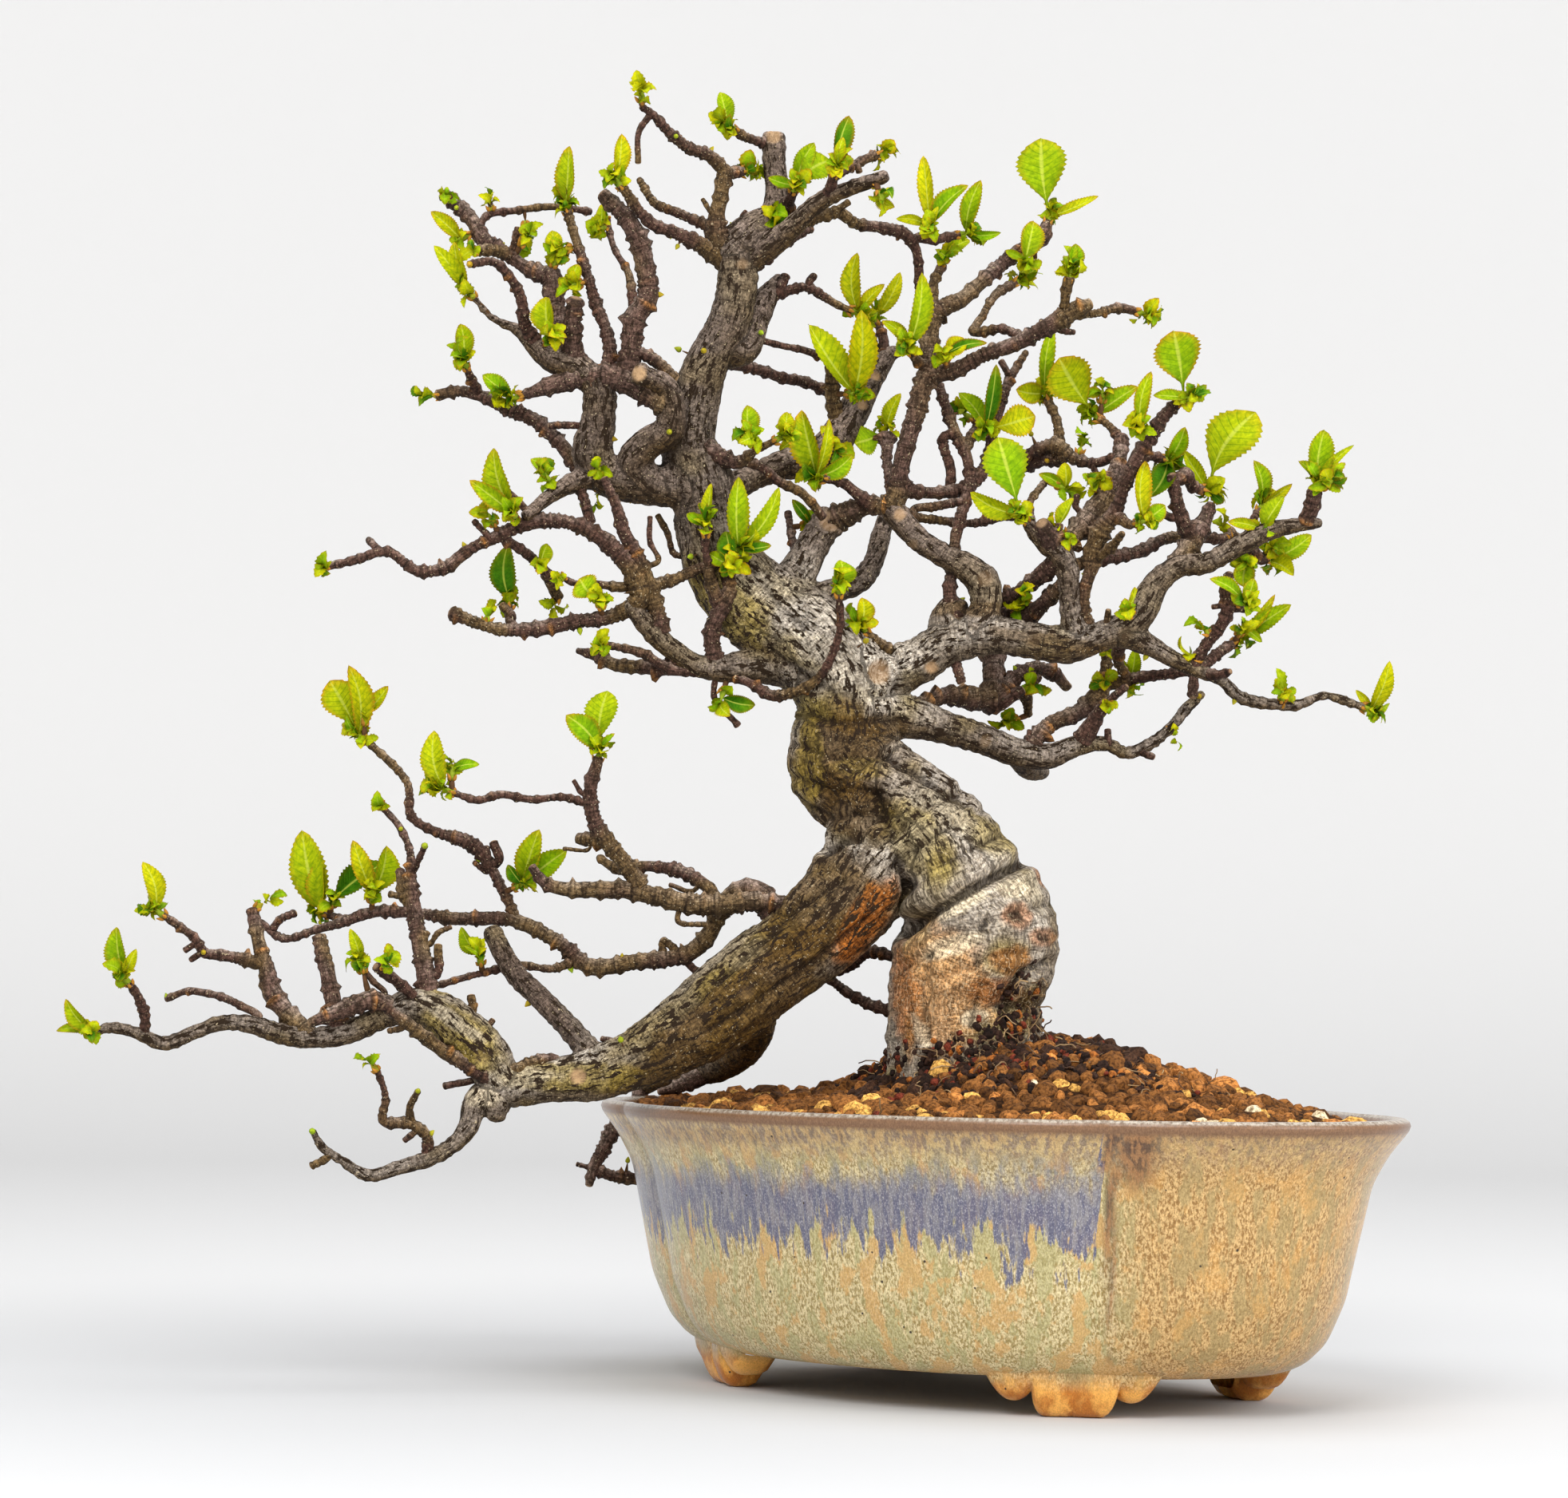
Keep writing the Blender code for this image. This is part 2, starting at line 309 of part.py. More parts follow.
    "grey_arm_post": ("grey_arm", 4, [(1321, 556, 16), (1322, 535, 12), (1316, 515, 11), (1308, 498, 12)]),
    "grey_arm_low": ("grey_arm", 10, [(1328, 568, 14), (1300, 573, 17), (1277, 580, 20)]),
    "bud_twig": ("mid_column", 12, [(1288, 655, 12), (1286, 626, 9), (1297, 610, 9), (1306, 599, 8)]),
    "right_whip": ("lower_right", -12, [(1364, 792, 20), (1354, 762, 15), (1354, 740, 15), (1362, 712, 17),
                                        (1366, 685, 24), (1378, 658, 23), (1393, 636, 18), (1404, 608, 16),
                                        (1419, 573, 18), (1441, 538, 18), (1457, 514, 16), (1471, 502, 13)]),
    "red_whip": ("right_whip", -8, [(1366, 700, 14), (1388, 682, 12), (1402, 665, 8)]),
    "whip_spur": ("right_whip", -4, [(1398, 645, 14), (1412, 654, 11), (1420, 652, 9)]),
    "amber_twig": ("right_whip", 6, [(1420, 572, 14), (1438, 568, 12), (1452, 572, 11)]),
    "back_bow": ("mid_column", 26, [(1352, 702, 16), (1385, 695, 16), (1425, 687, 16), (1452, 673, 14),
                                    (1490, 668, 14), (1528, 671, 12), (1540, 664, 11)]),
    "pale_fork": ("lower_right", 6, [(1462, 712, 22), (1477, 694, 24), (1488, 678, 27), (1498, 660, 26),
                                     (1506, 645, 18), (1512, 630, 13)]),
    "pale_fork_left": ("pale_fork", -6, [(1490, 672, 24), (1477, 648, 20), (1469, 620, 16), (1464, 593, 13)]),
    "pale_fork_tip": ("pale_fork_left", 8, [(1466, 602, 13), (1482, 592, 17), (1490, 606, 13),
                                            (1502, 610, 10)]),
    "under_spur": ("lower_right", 5, [(1558, 676, 16), (1562, 655, 9), (1573, 636, 9)]),
    "under_knob": ("lower_right", 14, [(1560, 684, 14), (1572, 694, 13), (1582, 698, 11)]),
    "low_spray": ("lower_right", 10, [(1405, 790, 40), (1440, 808, 26), (1470, 825, 22), (1500, 838, 19),
                                      (1528, 850, 15), (1545, 868, 15), (1575, 877, 16), (1602, 880, 12),
                                      (1616, 881, 14), (1632, 876, 11), (1653, 868, 10), (1680, 875, 12),
                                      (1704, 883, 11)]),
    "spray_riser": ("low_spray", -8, [(1490, 832, 16), (1508, 803, 14), (1526, 780, 15), (1534, 758, 16),
                                      (1531, 735, 15), (1536, 716, 11)]),
    "spray_fork": ("low_spray", 8, [(1498, 836, 15), (1522, 815, 14), (1541, 803, 12)]),
    "spray_point": ("low_spray", -6, [(1505, 840, 14), (1522, 842, 12), (1536, 838, 8)]),
    "low_drop": ("lower_right", 20, [(1398, 800, 18), (1396, 825, 12), (1408, 846, 10)]),
    "spur_low": ("lower_right", -5, [(1110, 812, 14), (1090, 797, 11), (1081, 788, 9)]),
    "bud_post": ("lower_right", -4, [(1382, 790, 12), (1383, 772, 10), (1384, 762, 8)]),
    "behind_loop": ("right_riser", 10, [(1000, 705, 12), (988, 670, 10), (983, 640, 9)]),
    "side_runner": ("left_limb", 6, [(734, 590, 22), (700, 555, 18), (660, 520, 18), (640, 512, 18),
                                     (595, 492, 15), (570, 487, 14), (545, 492, 14)]),
    "side_stub": ("side_runner", -5, [(597, 492, 12), (585, 470, 11), (580, 457, 9)]),
    "low_arm": ("left_limb", -12, [(745, 590, 36), (710, 603, 26), (688, 616, 20), (655, 643, 18)]),
    "long_runner": ("left_collar", -12, [(795, 748, 24), (788, 715, 24), (762, 682, 23), (735, 662, 20),
                                         (700, 650, 18), (660, 652, 18), (622, 667, 16), (580, 688, 14),
                                         (558, 706, 16), (520, 712, 14), (480, 688, 12), (445, 697, 11),
                                         (403, 708, 9)]),
    "runner_stub": ("long_runner", 5, [(473, 690, 11), (458, 673, 9)]),
    "runner_bud": ("long_runner", -5, [(648, 655, 12), (641, 644, 10)]),
    "shadow_whip": ("long_runner", 16, [(623, 670, 12), (655, 690, 12), (680, 715, 14), (694, 745, 15)]),
    "blunt_prong": ("left_runner", 4, [(640, 782, 12), (633, 768, 10), (634, 757, 9)]),
}

# Routes of the wood that pass through the soil.
SUNK_ROUTES = ["trunk", "ridge_right", "ridge_left", "pot_hanger", "hanger_stub"]

# Leaf tufts: (route, seat, leaves, small leaves). A seat of None is the route's own end, and a leaf
# is (column, row, width) of its tip. The small leaves stand round the shoot.
TUFTS = [
    ("tip_spur", None, [(142, 1158, 30), (168, 1185, 16)], 2),
    ("tip_riser_arm", None, [(175, 1076, 28)], 3),
    ("bud_riser", None, [(372, 1036, 50), (398, 1070, 28)], 3),
    ("back_runner", (462, 1124), [(481, 1056, 36), (438, 1049, 28)], 2),
    ("front_hook", (450, 1212), [(435, 1160, 18)], 2),
    ("back_arch", None, [(410, 850, 44), (434, 831, 34)], 3),
    ("post_arm", None, [(540, 912, 34)], 3),
    ("runner_post", None, [(757, 862, 40), (705, 893, 36)], 2),
    ("crown_left_low", None, [(775, 166, 26)], 2),
    ("whip_a", None, [(710, 183, 32)], 3),
    ("high_left", None, [(565, 300, 26), (540, 306, 22)], 2),
    ("high_left", (682, 424), [(680, 368, 34)], 3),
    ("side_stub", None, [(573, 402, 26)], 2),
    ("loop_runner", None, [(600, 466, 26)], 2),
    ("runner_bud", None, [(615, 560, 40), (585, 600, 26)], 2),
    ("blunt_prong", None, [(632, 680, 36)], 2),
    ("left_runner", (748, 756), [(722, 722, 40)], 1),
    ("collar_prong", (912, 690), [(921, 594, 32), (972, 606, 26), (962, 680, 18)], 3),
    ("tuft_stem", None, [(887, 602, 17), (856, 640, 15)], 2),
    ("wound_twig", (938, 552), [(932, 505, 28)], 3),
    ("wound_twig", None, [(982, 513, 24)], 2),
    ("leaf_twig", None, [(1000, 512, 40), (1034, 522, 18), (1064, 566, 26)], 3),
    ("curl_twig", None, [(1049, 698, 34)], 3),
    ("spur_low", None, [(1076, 745, 26), (1097, 776, 16)], 2),
    ("stub_twig", None, [(898, 112, 24), (889, 138, 12)], 2),
    ("crown_prong", None, [(936, 184, 26)], 3),
    ("crown_spur", None, [(1036, 200, 44), (1016, 176, 26), (958, 220, 16)], 2),
    ("arm_spur", None, [(1060, 140, 28), (1062, 192, 26)], 2),
    ("arm_twig", None, [(1116, 172, 22)], 2),
    ("crown_right_twig", None, [(1070, 312, 28), (1104, 352, 18)], 2),
    ("mid_prong", None, [(1124, 336, 22)], 2),
    ("bridge_spur", (1160, 286), [(1153, 190, 22), (1208, 231, 26), (1118, 272, 14)], 2),
    ("bridge_spur", None, [(1224, 224, 26), (1250, 288, 14)], 1),
    ("sweep", None, [(1300, 170, 58), (1372, 242, 16)], 3),
    ("back_arm", None, [(1296, 330, 24), (1285, 357, 14)], 2),
    ("arm_post", None, [(1343, 303, 24)], 3),
    ("arm_tip", None, [(1447, 371, 20)], 2),
    ("column_left", None, [(1150, 340, 32), (1100, 400, 18), (1120, 424, 20)], 2),
    ("column_arm", (1180, 448), [(1206, 424, 28), (1232, 428, 16)], 2),
    ("mid_post", (1058, 490), [(1008, 406, 42), (1074, 388, 40), (1078, 470, 26)], 1),
    ("column_stub", None, [(1124, 490, 22), (1066, 552, 40)], 2),
    ("mid_column", None, [(1246, 544, 52), (1212, 612, 28)], 3),
    ("shadow_riser", (1234, 536), [(1243, 455, 22), (1196, 490, 26), (1292, 520, 38)], 2),
    ("grey_arm_post", None, [(1314, 404, 22), (1268, 486, 30)], 3),
    ("dark_arm_tip", None, [(1322, 446, 56), (1420, 482, 28)], 3),
    ("right_whip", None, [(1467, 410, 60), (1512, 485, 12)], 3),
    ("right_whip", (1428, 534), [(1438, 462, 22), (1412, 530, 16)], 2),
    ("amber_twig", None, [(1434, 622, 34), (1480, 532, 24)], 2),
    ("whip_spur", None, [(1432, 572, 26), (1456, 630, 26)], 3),
    ("pale_fork_tip", None, [(1568, 514, 60), (1477, 560, 20), (1530, 596, 26)], 3),
    ("under_spur", None, [(1567, 572, 24), (1614, 603, 16)], 2),
    ("right_tip", None, [(1656, 534, 36), (1690, 556, 13), (1622, 574, 20)], 3),
    ("under_knob", None, [(1640, 666, 28), (1616, 718, 26), (1592, 670, 24)], 1),
    ("spray_riser", (1548, 752), [(1566, 722, 20), (1510, 722, 20)], 1),
    ("spray_fork", None, [(1612, 755, 26), (1592, 742, 14)], 3),
    ("low_spray", None, [(1735, 825, 24), (1694, 861, 12)], 2),
    ("low_drop", None, [(1418, 808, 20), (1392, 818, 16)], 1),
]

# Outlines of a leaf, root to tip: share of the length, and share of the half width.
LARGE_LEAF = [(0.12, 0.28), (0.33, 0.84), (0.39, 0.76), (0.58, 1.0), (0.65, 0.86), (0.84, 0.6), (0.89, 0.42)]
MEDIUM_LEAF = [(0.15, 0.35), (0.45, 1.0), (0.52, 0.84), (0.74, 0.8), (0.81, 0.56)]
SMALL_LEAF = [(0.25, 0.6), (0.58, 1.0), (0.67, 0.72)]
MEDIUM_FROM, LARGE_FROM = 7.2, 13.0   # lengths in millimetres from which a leaf takes these outlines
LEAF_SIZES = (1.0, 0.85, 0.65)        # tried in turn until the leaf clears the rest
LEAF_BENDS = (0.0, 0.3, -0.3, 0.6, -0.6, 0.95, -0.95)
SMALL_LEAF_LENGTHS = (4.8, 7.2)
SMALL_LEAF_WIDTHS = (0.45, 0.6)       # shares of the length
SMALL_LEAF_LIFTS = (0.25, 0.75)
BUD_SLENDERNESS = 1.25
STALK_HALF = 0.4                      # half width of a leaf where it leaves its bud
FACE_HALF = 0.5                       # half the breadth of a bud's face, in radii of the bud
STALK_MARGIN = 0.05                   # clearance between the stalks of one tuft
STALK_START = 1.6                     # where a leaf starts, in radii of its bud
MOST_BROAD = 0.8                      # a leaf's width over its length, at most
LEAST_FACING = 0.62                   # how squarely a bud's face must look at the leaf it carries


def clear_scene():
    for thing in list(bpy.data.objects):
        bpy.data.objects.remove(thing, do_unlink=True)


def new_collection(name):
    collection = bpy.data.collections.new(name)
    bpy.context.scene.collection.children.link(collection)
    return collection


def make_material(name, colour, roughness):
    material = bpy.data.materials.new(name)
    material.use_nodes = True
    shader = material.node_tree.nodes["Principled BSDF"]
    shader.inputs["Base Color"].default_value = (*colour, 1.0)
    shader.inputs["Roughness"].default_value = roughness
    shader.inputs["Metallic"].default_value = 0.0
    return material


def place(column, row, depth):
    """A pixel of the photograph, at a depth in millimetres behind the pot's middle, as a point."""
    across = (column - CENTRE_COLUMN) * math.cos(ROLL) + (row - CENTRE_ROW) * math.sin(ROLL)
    down = (row - CENTRE_ROW) * math.cos(ROLL) - (column - CENTRE_COLUMN) * math.sin(ROLL)
    scale = PIXEL * (1.0 + depth / VIEW_DISTANCE)
    x = across * scale - EYE_LEFT_OF_POT
    z = EYE_HEIGHT - (down + CENTRE_ROW - HORIZON_ROW) * scale
    return Vector((x, depth, z)) * MM


def half_width(width, depth):
    return 0.5 * width * PIXEL * (1.0 + depth / VIEW_DISTANCE) * MM


def nearest_on(points, column, row):
    """The nearest place to a pixel on a route: (distance, column, row, width, depth)."""
    best = None
    for a, b in zip(points, points[1:]):
        run, rise = b[0] - a[0], b[1] - a[1]
        share = ((column - a[0]) * run + (row - a[1]) * rise) / max(run * run + rise * rise, 1e-9)
        share = min(1.0, max(0.0, share))
        spot = [p + (q - p) * share for p, q in zip(a, b)]
        distance = math.hypot(column - spot[0], row - spot[1])
        if best is None or distance < best[0]:
            best = (distance, *spot)
    return best


def thin_out(points, tolerance):
    """Drop the route points that lie within a tolerance of the line past them, in pixels."""
    if len(points) < 3:
        return points
    first, last = points[0], points[-1]
    distances = [nearest_on([first, last], *p[:2])[0] for p in points[1:-1]]
    worst = max(range(len(distances)), key=distances.__getitem__)
    if distances[worst] < tolerance:
        return [first, last]
    split = worst + 1
    return thin_out(points[:split + 1], tolerance)[:-1] + thin_out(points[split:], tolerance)


def resolve_routes():
    """Give each route's points their depth, starting where the route leaves its parent."""
    resolved = {"trunk": TRUNK}
    waiting = dict(ROUTES)
    while waiting:
        ready = [name for name in waiting if waiting[name][0] in resolved]
        for name in ready:
            parent, reach, points = waiting.pop(name)
            distance, column, row, width, start = nearest_on(resolved[parent], *points[0][:2])
            if distance > 0.3 * width:
                points = [(column, row, min(width * 0.9, points[0][2])), *points]
            steps = [math.dist(a[:2], b[:2]) for a, b in zip(points, points[1:])]
            along = [sum(steps[:i]) / sum(steps) for i in range(len(points))]
            deep = [(*p, start + reach * share) for p, share in zip(points, along)]
            resolved[name] = thin_out(deep, THINNING)
    return resolved


def seat_tuft(points, seat):
    """Where a tuft sits on a route: the ends of its short spur, and the spur's width in pixels."""
    if seat is None:
        return None
    distance, column, row, width, depth = nearest_on(points, *seat)
    clear = 0.5 * width + SPUR_CLEARANCE
    forward = math.sqrt(max(clear * clear - distance * distance, 0.0)) * PIXEL
    return [(column, row, SPUR_WIDTHS[0], depth), (*seat, SPUR_WIDTHS[1], depth - forward)]


def make_tube(name, points, grow=0.0):
    """A tube through (column, row, width, depth) points, with sides to suit its width."""
    widest = max(p[2] for p in points)
    resolution = next(i for i, (limit, _) in enumerate(TUBE_SIDES) if widest < limit)
    swell = TUBE_SIDES[resolution][1]
    curve = bpy.data.curves.new(name, "CURVE")
    curve.dimensions = "3D"
    curve.bevel_depth = MM
    curve.bevel_resolution = resolution
    curve.use_fill_caps = True
    spline = curve.splines.new("POLY")
    spline.points.add(len(points) - 1)
    for spot, (column, row, width, depth) in zip(spline.points, points):
        spot.co = (*place(column, row, depth), 1.0)
        spot.radius = (half_width(width, depth) * swell + grow) / MM
    outline = bpy.data.objects.new(name, curve)
    bpy.context.scene.collection.objects.link(outline)
    evaluated = outline.evaluated_get(bpy.context.evaluated_depsgraph_get())
    mesh = bpy.data.meshes.new_from_object(evaluated)
    bpy.data.objects.remove(outline, do_unlink=True)
    bm = bmesh.new()
    bm.from_mesh(mesh)
    bmesh.ops.remove_doubles(bm, verts=bm.verts, dist=WELD * MM)
    bmesh.ops.recalc_face_normals(bm, faces=bm.faces)
    bm.to_mesh(mesh)
    bm.free()
    return bpy.data.objects.new(name, mesh)


def combine(target, others, operation, solver="EXACT"):
    """Apply one Boolean of a list of objects to the target, and remove them."""
    tools = new_collection("tools")
    for thing in others:
        tools.objects.link(thing)
    modifier = target.modifiers.new("combine", "BOOLEAN")
    modifier.operation = operation
    modifier.operand_type = "COLLECTION"
    modifier.collection = tools
    modifier.solver = solver
    evaluated = target.evaluated_get(bpy.context.evaluated_depsgraph_get())
    mesh = bpy.data.meshes.new_from_object(evaluated)
    target.modifiers.clear()
    target.data = mesh
    for thing in others:
        bpy.data.objects.remove(thing, do_unlink=True)
    bpy.data.collections.remove(tools)
    bm = bmesh.new()
    bm.from_mesh(mesh)
    bmesh.ops.remove_doubles(bm, verts=bm.verts, dist=WELD * MM)
    bmesh.ops.dissolve_degenerate(bm, edges=bm.edges, dist=WELD * MM)
    bmesh.ops.triangulate(bm, faces=bm.faces)
    bm.to_mesh(mesh)
    bm.free()
    return target


def finish_object(thing, material, collection):
    collection.objects.link(thing)
    thing.data.materials.clear()
    thing.data.materials.append(material)
    return thing


def loft(name, rings):
    """A closed solid through rings of equal length, with a flat face over each end."""
    bm = bmesh.new()
    rows = [[bm.verts.new(point) for point in ring] for ring in rings]
    for low, high in zip(rows, rows[1:]):
        for i in range(len(low)):
            j = (i + 1) % len(low)
            bm.faces.new((low[i], low[j], high[j], high[i]))
    bm.faces.new(list(reversed(rows[0])))
    bm.faces.new(rows[-1])
    bmesh.ops.triangulate(bm, faces=bm.faces)
    bmesh.ops.recalc_face_normals(bm, faces=bm.faces)
    mesh = bpy.data.meshes.new(name)
    bm.to_mesh(mesh)
    bm.free()
    return bpy.data.objects.new(name, mesh)


def lobed_point(angle, half_long, inset, height):
    """A point of the pot's outline of four lobes, at an angle round it, in millimetres in."""
    lobe = 1.0 + NOTCH_DEPTH * (abs(math.cos(2.0 * angle)) ** LOBE_SHARPNESS - 1.0)
    along = (half_long - inset) * math.cos(angle) * lobe
    across = (half_long * POT_NARROWNESS - inset) * math.sin(angle) * lobe
    x = along * math.cos(POT_TURN) - across * math.sin(POT_TURN)
    y = along * math.sin(POT_TURN) + across * math.cos(POT_TURN)
    return Vector((x, y, height)) * MM


def lobed_ring(half_long, inset, height):
    angles = [2.0 * math.pi * i / POT_STEPS for i in range(POT_STEPS)]
    return [lobed_point(angle, half_long, inset, height) for angle in angles]


def inner_profile():
    """Heights and half long axes of the pot's inner face, from the rim down to the floor."""
    rows = [(POT_HEIGHT - drop, inset) for drop, inset in INNER_FACE]
    rows += [(POT_UNDERSIDE + POT_FLOOR + rise, inset) for rise, inset in FLOOR_EDGE]
    return [(height, read_table(POT_PROFILE, height) - inset) for height, inset in rows]


def foot_depth(offset):
    """Height of a foot's lower edge at a distance along the pot's wall: a cloud of three lobes."""
    offset = abs(offset)
    if offset <= FOOT_FLAT:
        return 0.0
    if offset <= MIDDLE_LOBE_EDGE:
        share = (offset - FOOT_FLAT) / (MIDDLE_LOBE_EDGE - FOOT_FLAT)
        return MIDDLE_LOBE_LIFT * (1.0 - math.sqrt(max(0.0, 1.0 - share * share)))
    share = min(1.0, abs(offset - SIDE_LOBE_MIDDLE) / SIDE_LOBE_HALF)
    return SIDE_LOBE_LOW + SIDE_LOBE_LIFT * share ** SIDE_LOBE_ROUND


def make_foot(corner):
    """One cloud-shaped foot under a notch of the pot, following the wall."""
    offsets = [-v for v in reversed(FOOT_OFFSETS)] + FOOT_OFFSETS
    base = math.pi / 4.0 + corner * math.pi / 2.0
    sections = []
    for offset in offsets:
        angle = base + offset / FOOT_ARC
        low = foot_depth(offset)
        outer = lobed_point(angle, FOOT_LINE, 0.0, low)
        inner = lobed_point(angle, FOOT_LINE, FOOT_DEPTH, low)
        top_inner = lobed_point(angle, FOOT_LINE, FOOT_DEPTH + 2.0, FOOT_TOP - 2.0)
        top_outer = lobed_point(angle, FOOT_LINE + FOOT_LEAN, 0.2 * FOOT_LEAN, FOOT_TOP)
        sections.append([outer, inner, top_inner, top_outer])
    return loft("foot", sections)


def make_pot(material, collection):
    rings = [lobed_ring(half_long, 0.0, height) for height, half_long in POT_PROFILE]
    rings += [lobed_ring(half_long, 0.0, height) for height, half_long in inner_profile()]
    pot = loft("pot", rings)
    bpy.context.scene.collection.objects.link(pot)
    combine(pot, [make_foot(corner) for corner in range(4)], "UNION")
    holes = []
    for side in (-1, 1):
        middle = Vector((math.cos(POT_TURN), math.sin(POT_TURN), 0.0)) * (side * DRAIN_OFFSET * MM)
        bpy.ops.mesh.primitive_cylinder_add(vertices=12, radius=DRAIN_RADIUS * MM, depth=30.0 * MM,
                                            location=(middle.x, middle.y, 12.0 * MM))
        hole = bpy.context.object
        for owner in list(hole.users_collection):
            owner.objects.unlink(hole)
        holes.append(hole)
    combine(pot, holes, "DIFFERENCE")
    bpy.context.scene.collection.objects.unlink(pot)
    return finish_object(pot, material, collection)


def read_table(table, place_on_it):
    """A value read off a table of (place, value) rows, with straight lines between them."""
    for (low, a), (high, b) in zip(table, table[1:]):
        if place_on_it <= high:
            return a + (b - a) * (place_on_it - low) / (high - low)
    return table[-1][1]


def soil_height(point, middle, share, grain):
    """Height of the mound: share is 0 at the trunk's middle and 1 at the pot's wall."""
    outward = point - middle
    right = 0.5 + 0.5 * outward.x / max(math.hypot(outward.x, outward.y), 1e-9)
    height = read_table(SOIL_LEFT, share) * (1.0 - right) + read_table(SOIL_RIGHT, share) * right
    return (height + grain * GRAIN_RELIEF) * MM


def lengthen(points):
    """A route that starts a little sooner, so that a hole along it is deeper than what stands in it."""
    first, second = points[:2]
    step = 2.0 * GAP / PIXEL / max(math.dist(first[:2], second[:2]), 1e-9)
    return [tuple(a + (a - b) * step for a, b in zip(first, second)), *points]


def make_soil(sunk, material, collection):
    """The filling, with room left for the routes of the wood that are sunk in it."""
    rng = random.Random(7)
    rings = []
    for height, half_long in reversed(inner_profile()[2:]):
        rings.append(lobed_ring(half_long, SOIL_INSET, max(height, POT_UNDERSIDE + POT_FLOOR + GAP)))
    edge = lobed_ring(inner_profile()[1][1], SOIL_INSET, SOIL_EDGE)
    rings.append(edge)
    middle = place(*MOUND_MIDDLE, 0)
    for share in SOIL_SHARES:
        row = []
        for rim in edge:
            point = middle.lerp(rim, share + rng.uniform(-SHARE_JITTER, SHARE_JITTER))
            point.z = soil_height(point, middle, share, rng.uniform(-1.0, 1.0))
            row.append(point)
        rings.append(row)
    soil = loft("soil", rings)
    bpy.context.scene.collection.objects.link(soil)
    rooms = [make_tube("room", lengthen(points), GAP * MM) for points in sunk]
    combine(soil, rooms, "DIFFERENCE")
    bpy.context.scene.collection.objects.unlink(soil)
    return finish_object(soil, material, collection)


def make_wood(routes, spurs, material, collection):
    """The trunk with every branch, joined in one solid."""
    wood = make_tube("wood", routes["trunk"])
    bpy.context.scene.collection.objects.link(wood)
    tubes = [make_tube(name, points) for name, points in routes.items() if name != "trunk"]
    tubes += [make_tube("spur", spur) for spur in spurs]
    combine(wood, tubes, "UNION")
    bpy.context.scene.collection.objects.unlink(wood)
    return finish_object(wood, material, collection)


def leaf_sections(base, tip, width, facing, bow, outline):
    """Sections of a blade: (middle, side, up) with side as long as the half width there."""
    along = tip - base
    length = along.length
    along.normalize()
    side = along.cross(facing).normalized()
    up = side.cross(along).normalized()
    sections = []
    for share, breadth in outline:
        arch = bow * length * math.sin(math.pi * min(1.0, share * 1.15)) * 0.5
        middle = base + along * (length * share) + up * arch
        half = 0.5 * width * breadth
        if not sections:
            half = min(half, STALK_HALF * MM)
        sections.append((middle, side * half, up))
    return sections


def outline_for(length):
    if length > LARGE_FROM * MM:
        return LARGE_LEAF
    return MEDIUM_LEAF if length > MEDIUM_FROM * MM else SMALL_LEAF


def guard_tree(sections, tip, margin):
    """A search tree of a blade that is fatter than the real one, to test its clearance with."""
    verts, faces = [], []
    for middle, side, up in sections:
        reach = side + side.normalized() * margin
        verts += [middle - reach + up * margin, middle + reach + up * margin,
                  middle + reach - up * (margin + KEEL * MM), middle - reach - up * (margin + KEEL * MM)]
    for row in range(len(sections) - 1):
        for i in range(4):
            j = (i + 1) % 4
            faces.append((4 * row + i, 4 * row + j, 4 * row + 4 + j, 4 * row + 4 + i))
    last = 4 * (len(sections) - 1)
    verts.append(tip + (tip - sections[0][0]).normalized() * margin)
    faces += [(last + i, last + (i + 1) % 4, len(verts) - 1) for i in range(4)]
    faces.append((3, 2, 1, 0))
    return BVHTree.FromPolygons(verts, faces)


def search_tree(thing):
    """A search tree of an object's faces."""
    corners = [vert.co.copy() for vert in thing.data.vertices]
    return BVHTree.FromPolygons(corners, [tuple(face.vertices) for face in thing.data.polygons])


def grow_blade(bm, face, sections, tip):
    """Loft a blade out of a triangular face of the bud."""
    ring = list(face.verts)
    outward = tip - face.calc_center_median()
    bm.faces.remove(face)
    for middle, side, up in sections:
        corners = [middle - side, middle + side, middle - up * (KEEL * MM)]
        if (corners[1] - corners[0]).cross(corners[2] - corners[0]).dot(outward) < 0.0:
            corners.reverse()
        turns = [corners[k:] + corners[:k] for k in range(3)]
        corners = min(turns, key=lambda turn: sum((v.co - c).length for v, c in zip(ring, turn)))
        fresh = [bm.verts.new(corner) for corner in corners]
        for i in range(3):
            j = (i + 1) % 3
            bm.faces.new((ring[i], ring[j], fresh[j]))
            bm.faces.new((ring[i], fresh[j], fresh[i]))
        ring = fresh
    point = bm.verts.new(tip)
    for i in range(3):
        bm.faces.new((ring[i], ring[(i + 1) % 3], point))


def small_leaf_tips(base, axis, count, rng):
    """Tips of the small leaves that stand round a shoot."""
    side = axis.orthogonal().normalized()
    other = axis.cross(side)
    start = rng.uniform(0.0, 2.0 * math.pi)
    tips = []
    for i in range(count):
        angle = start + 2.0 * math.pi * (i + rng.uniform(-0.15, 0.15)) / max(count, 1)
        spread = side * math.cos(angle) + other * math.sin(angle)
        lift = rng.uniform(*SMALL_LEAF_LIFTS)
        length = rng.uniform(*SMALL_LEAF_LENGTHS) * MM
        tips.append(base + (spread + axis * lift).normalized() * length)
    return tips


def leaf_choices(base, tip, width, rng):
    """Ways to set a leaf, the best first: bent in depth by shares of its length, then shorter."""
    length = (tip - base).length
    lean = rng.uniform(-0.25, 0.25)
    for size in LEAF_SIZES:
        for bend in LEAF_BENDS:
            shift = Vector((0.0, (lean + bend) * length, 0.0))
            yield base + (tip + shift - base) * size, width * size


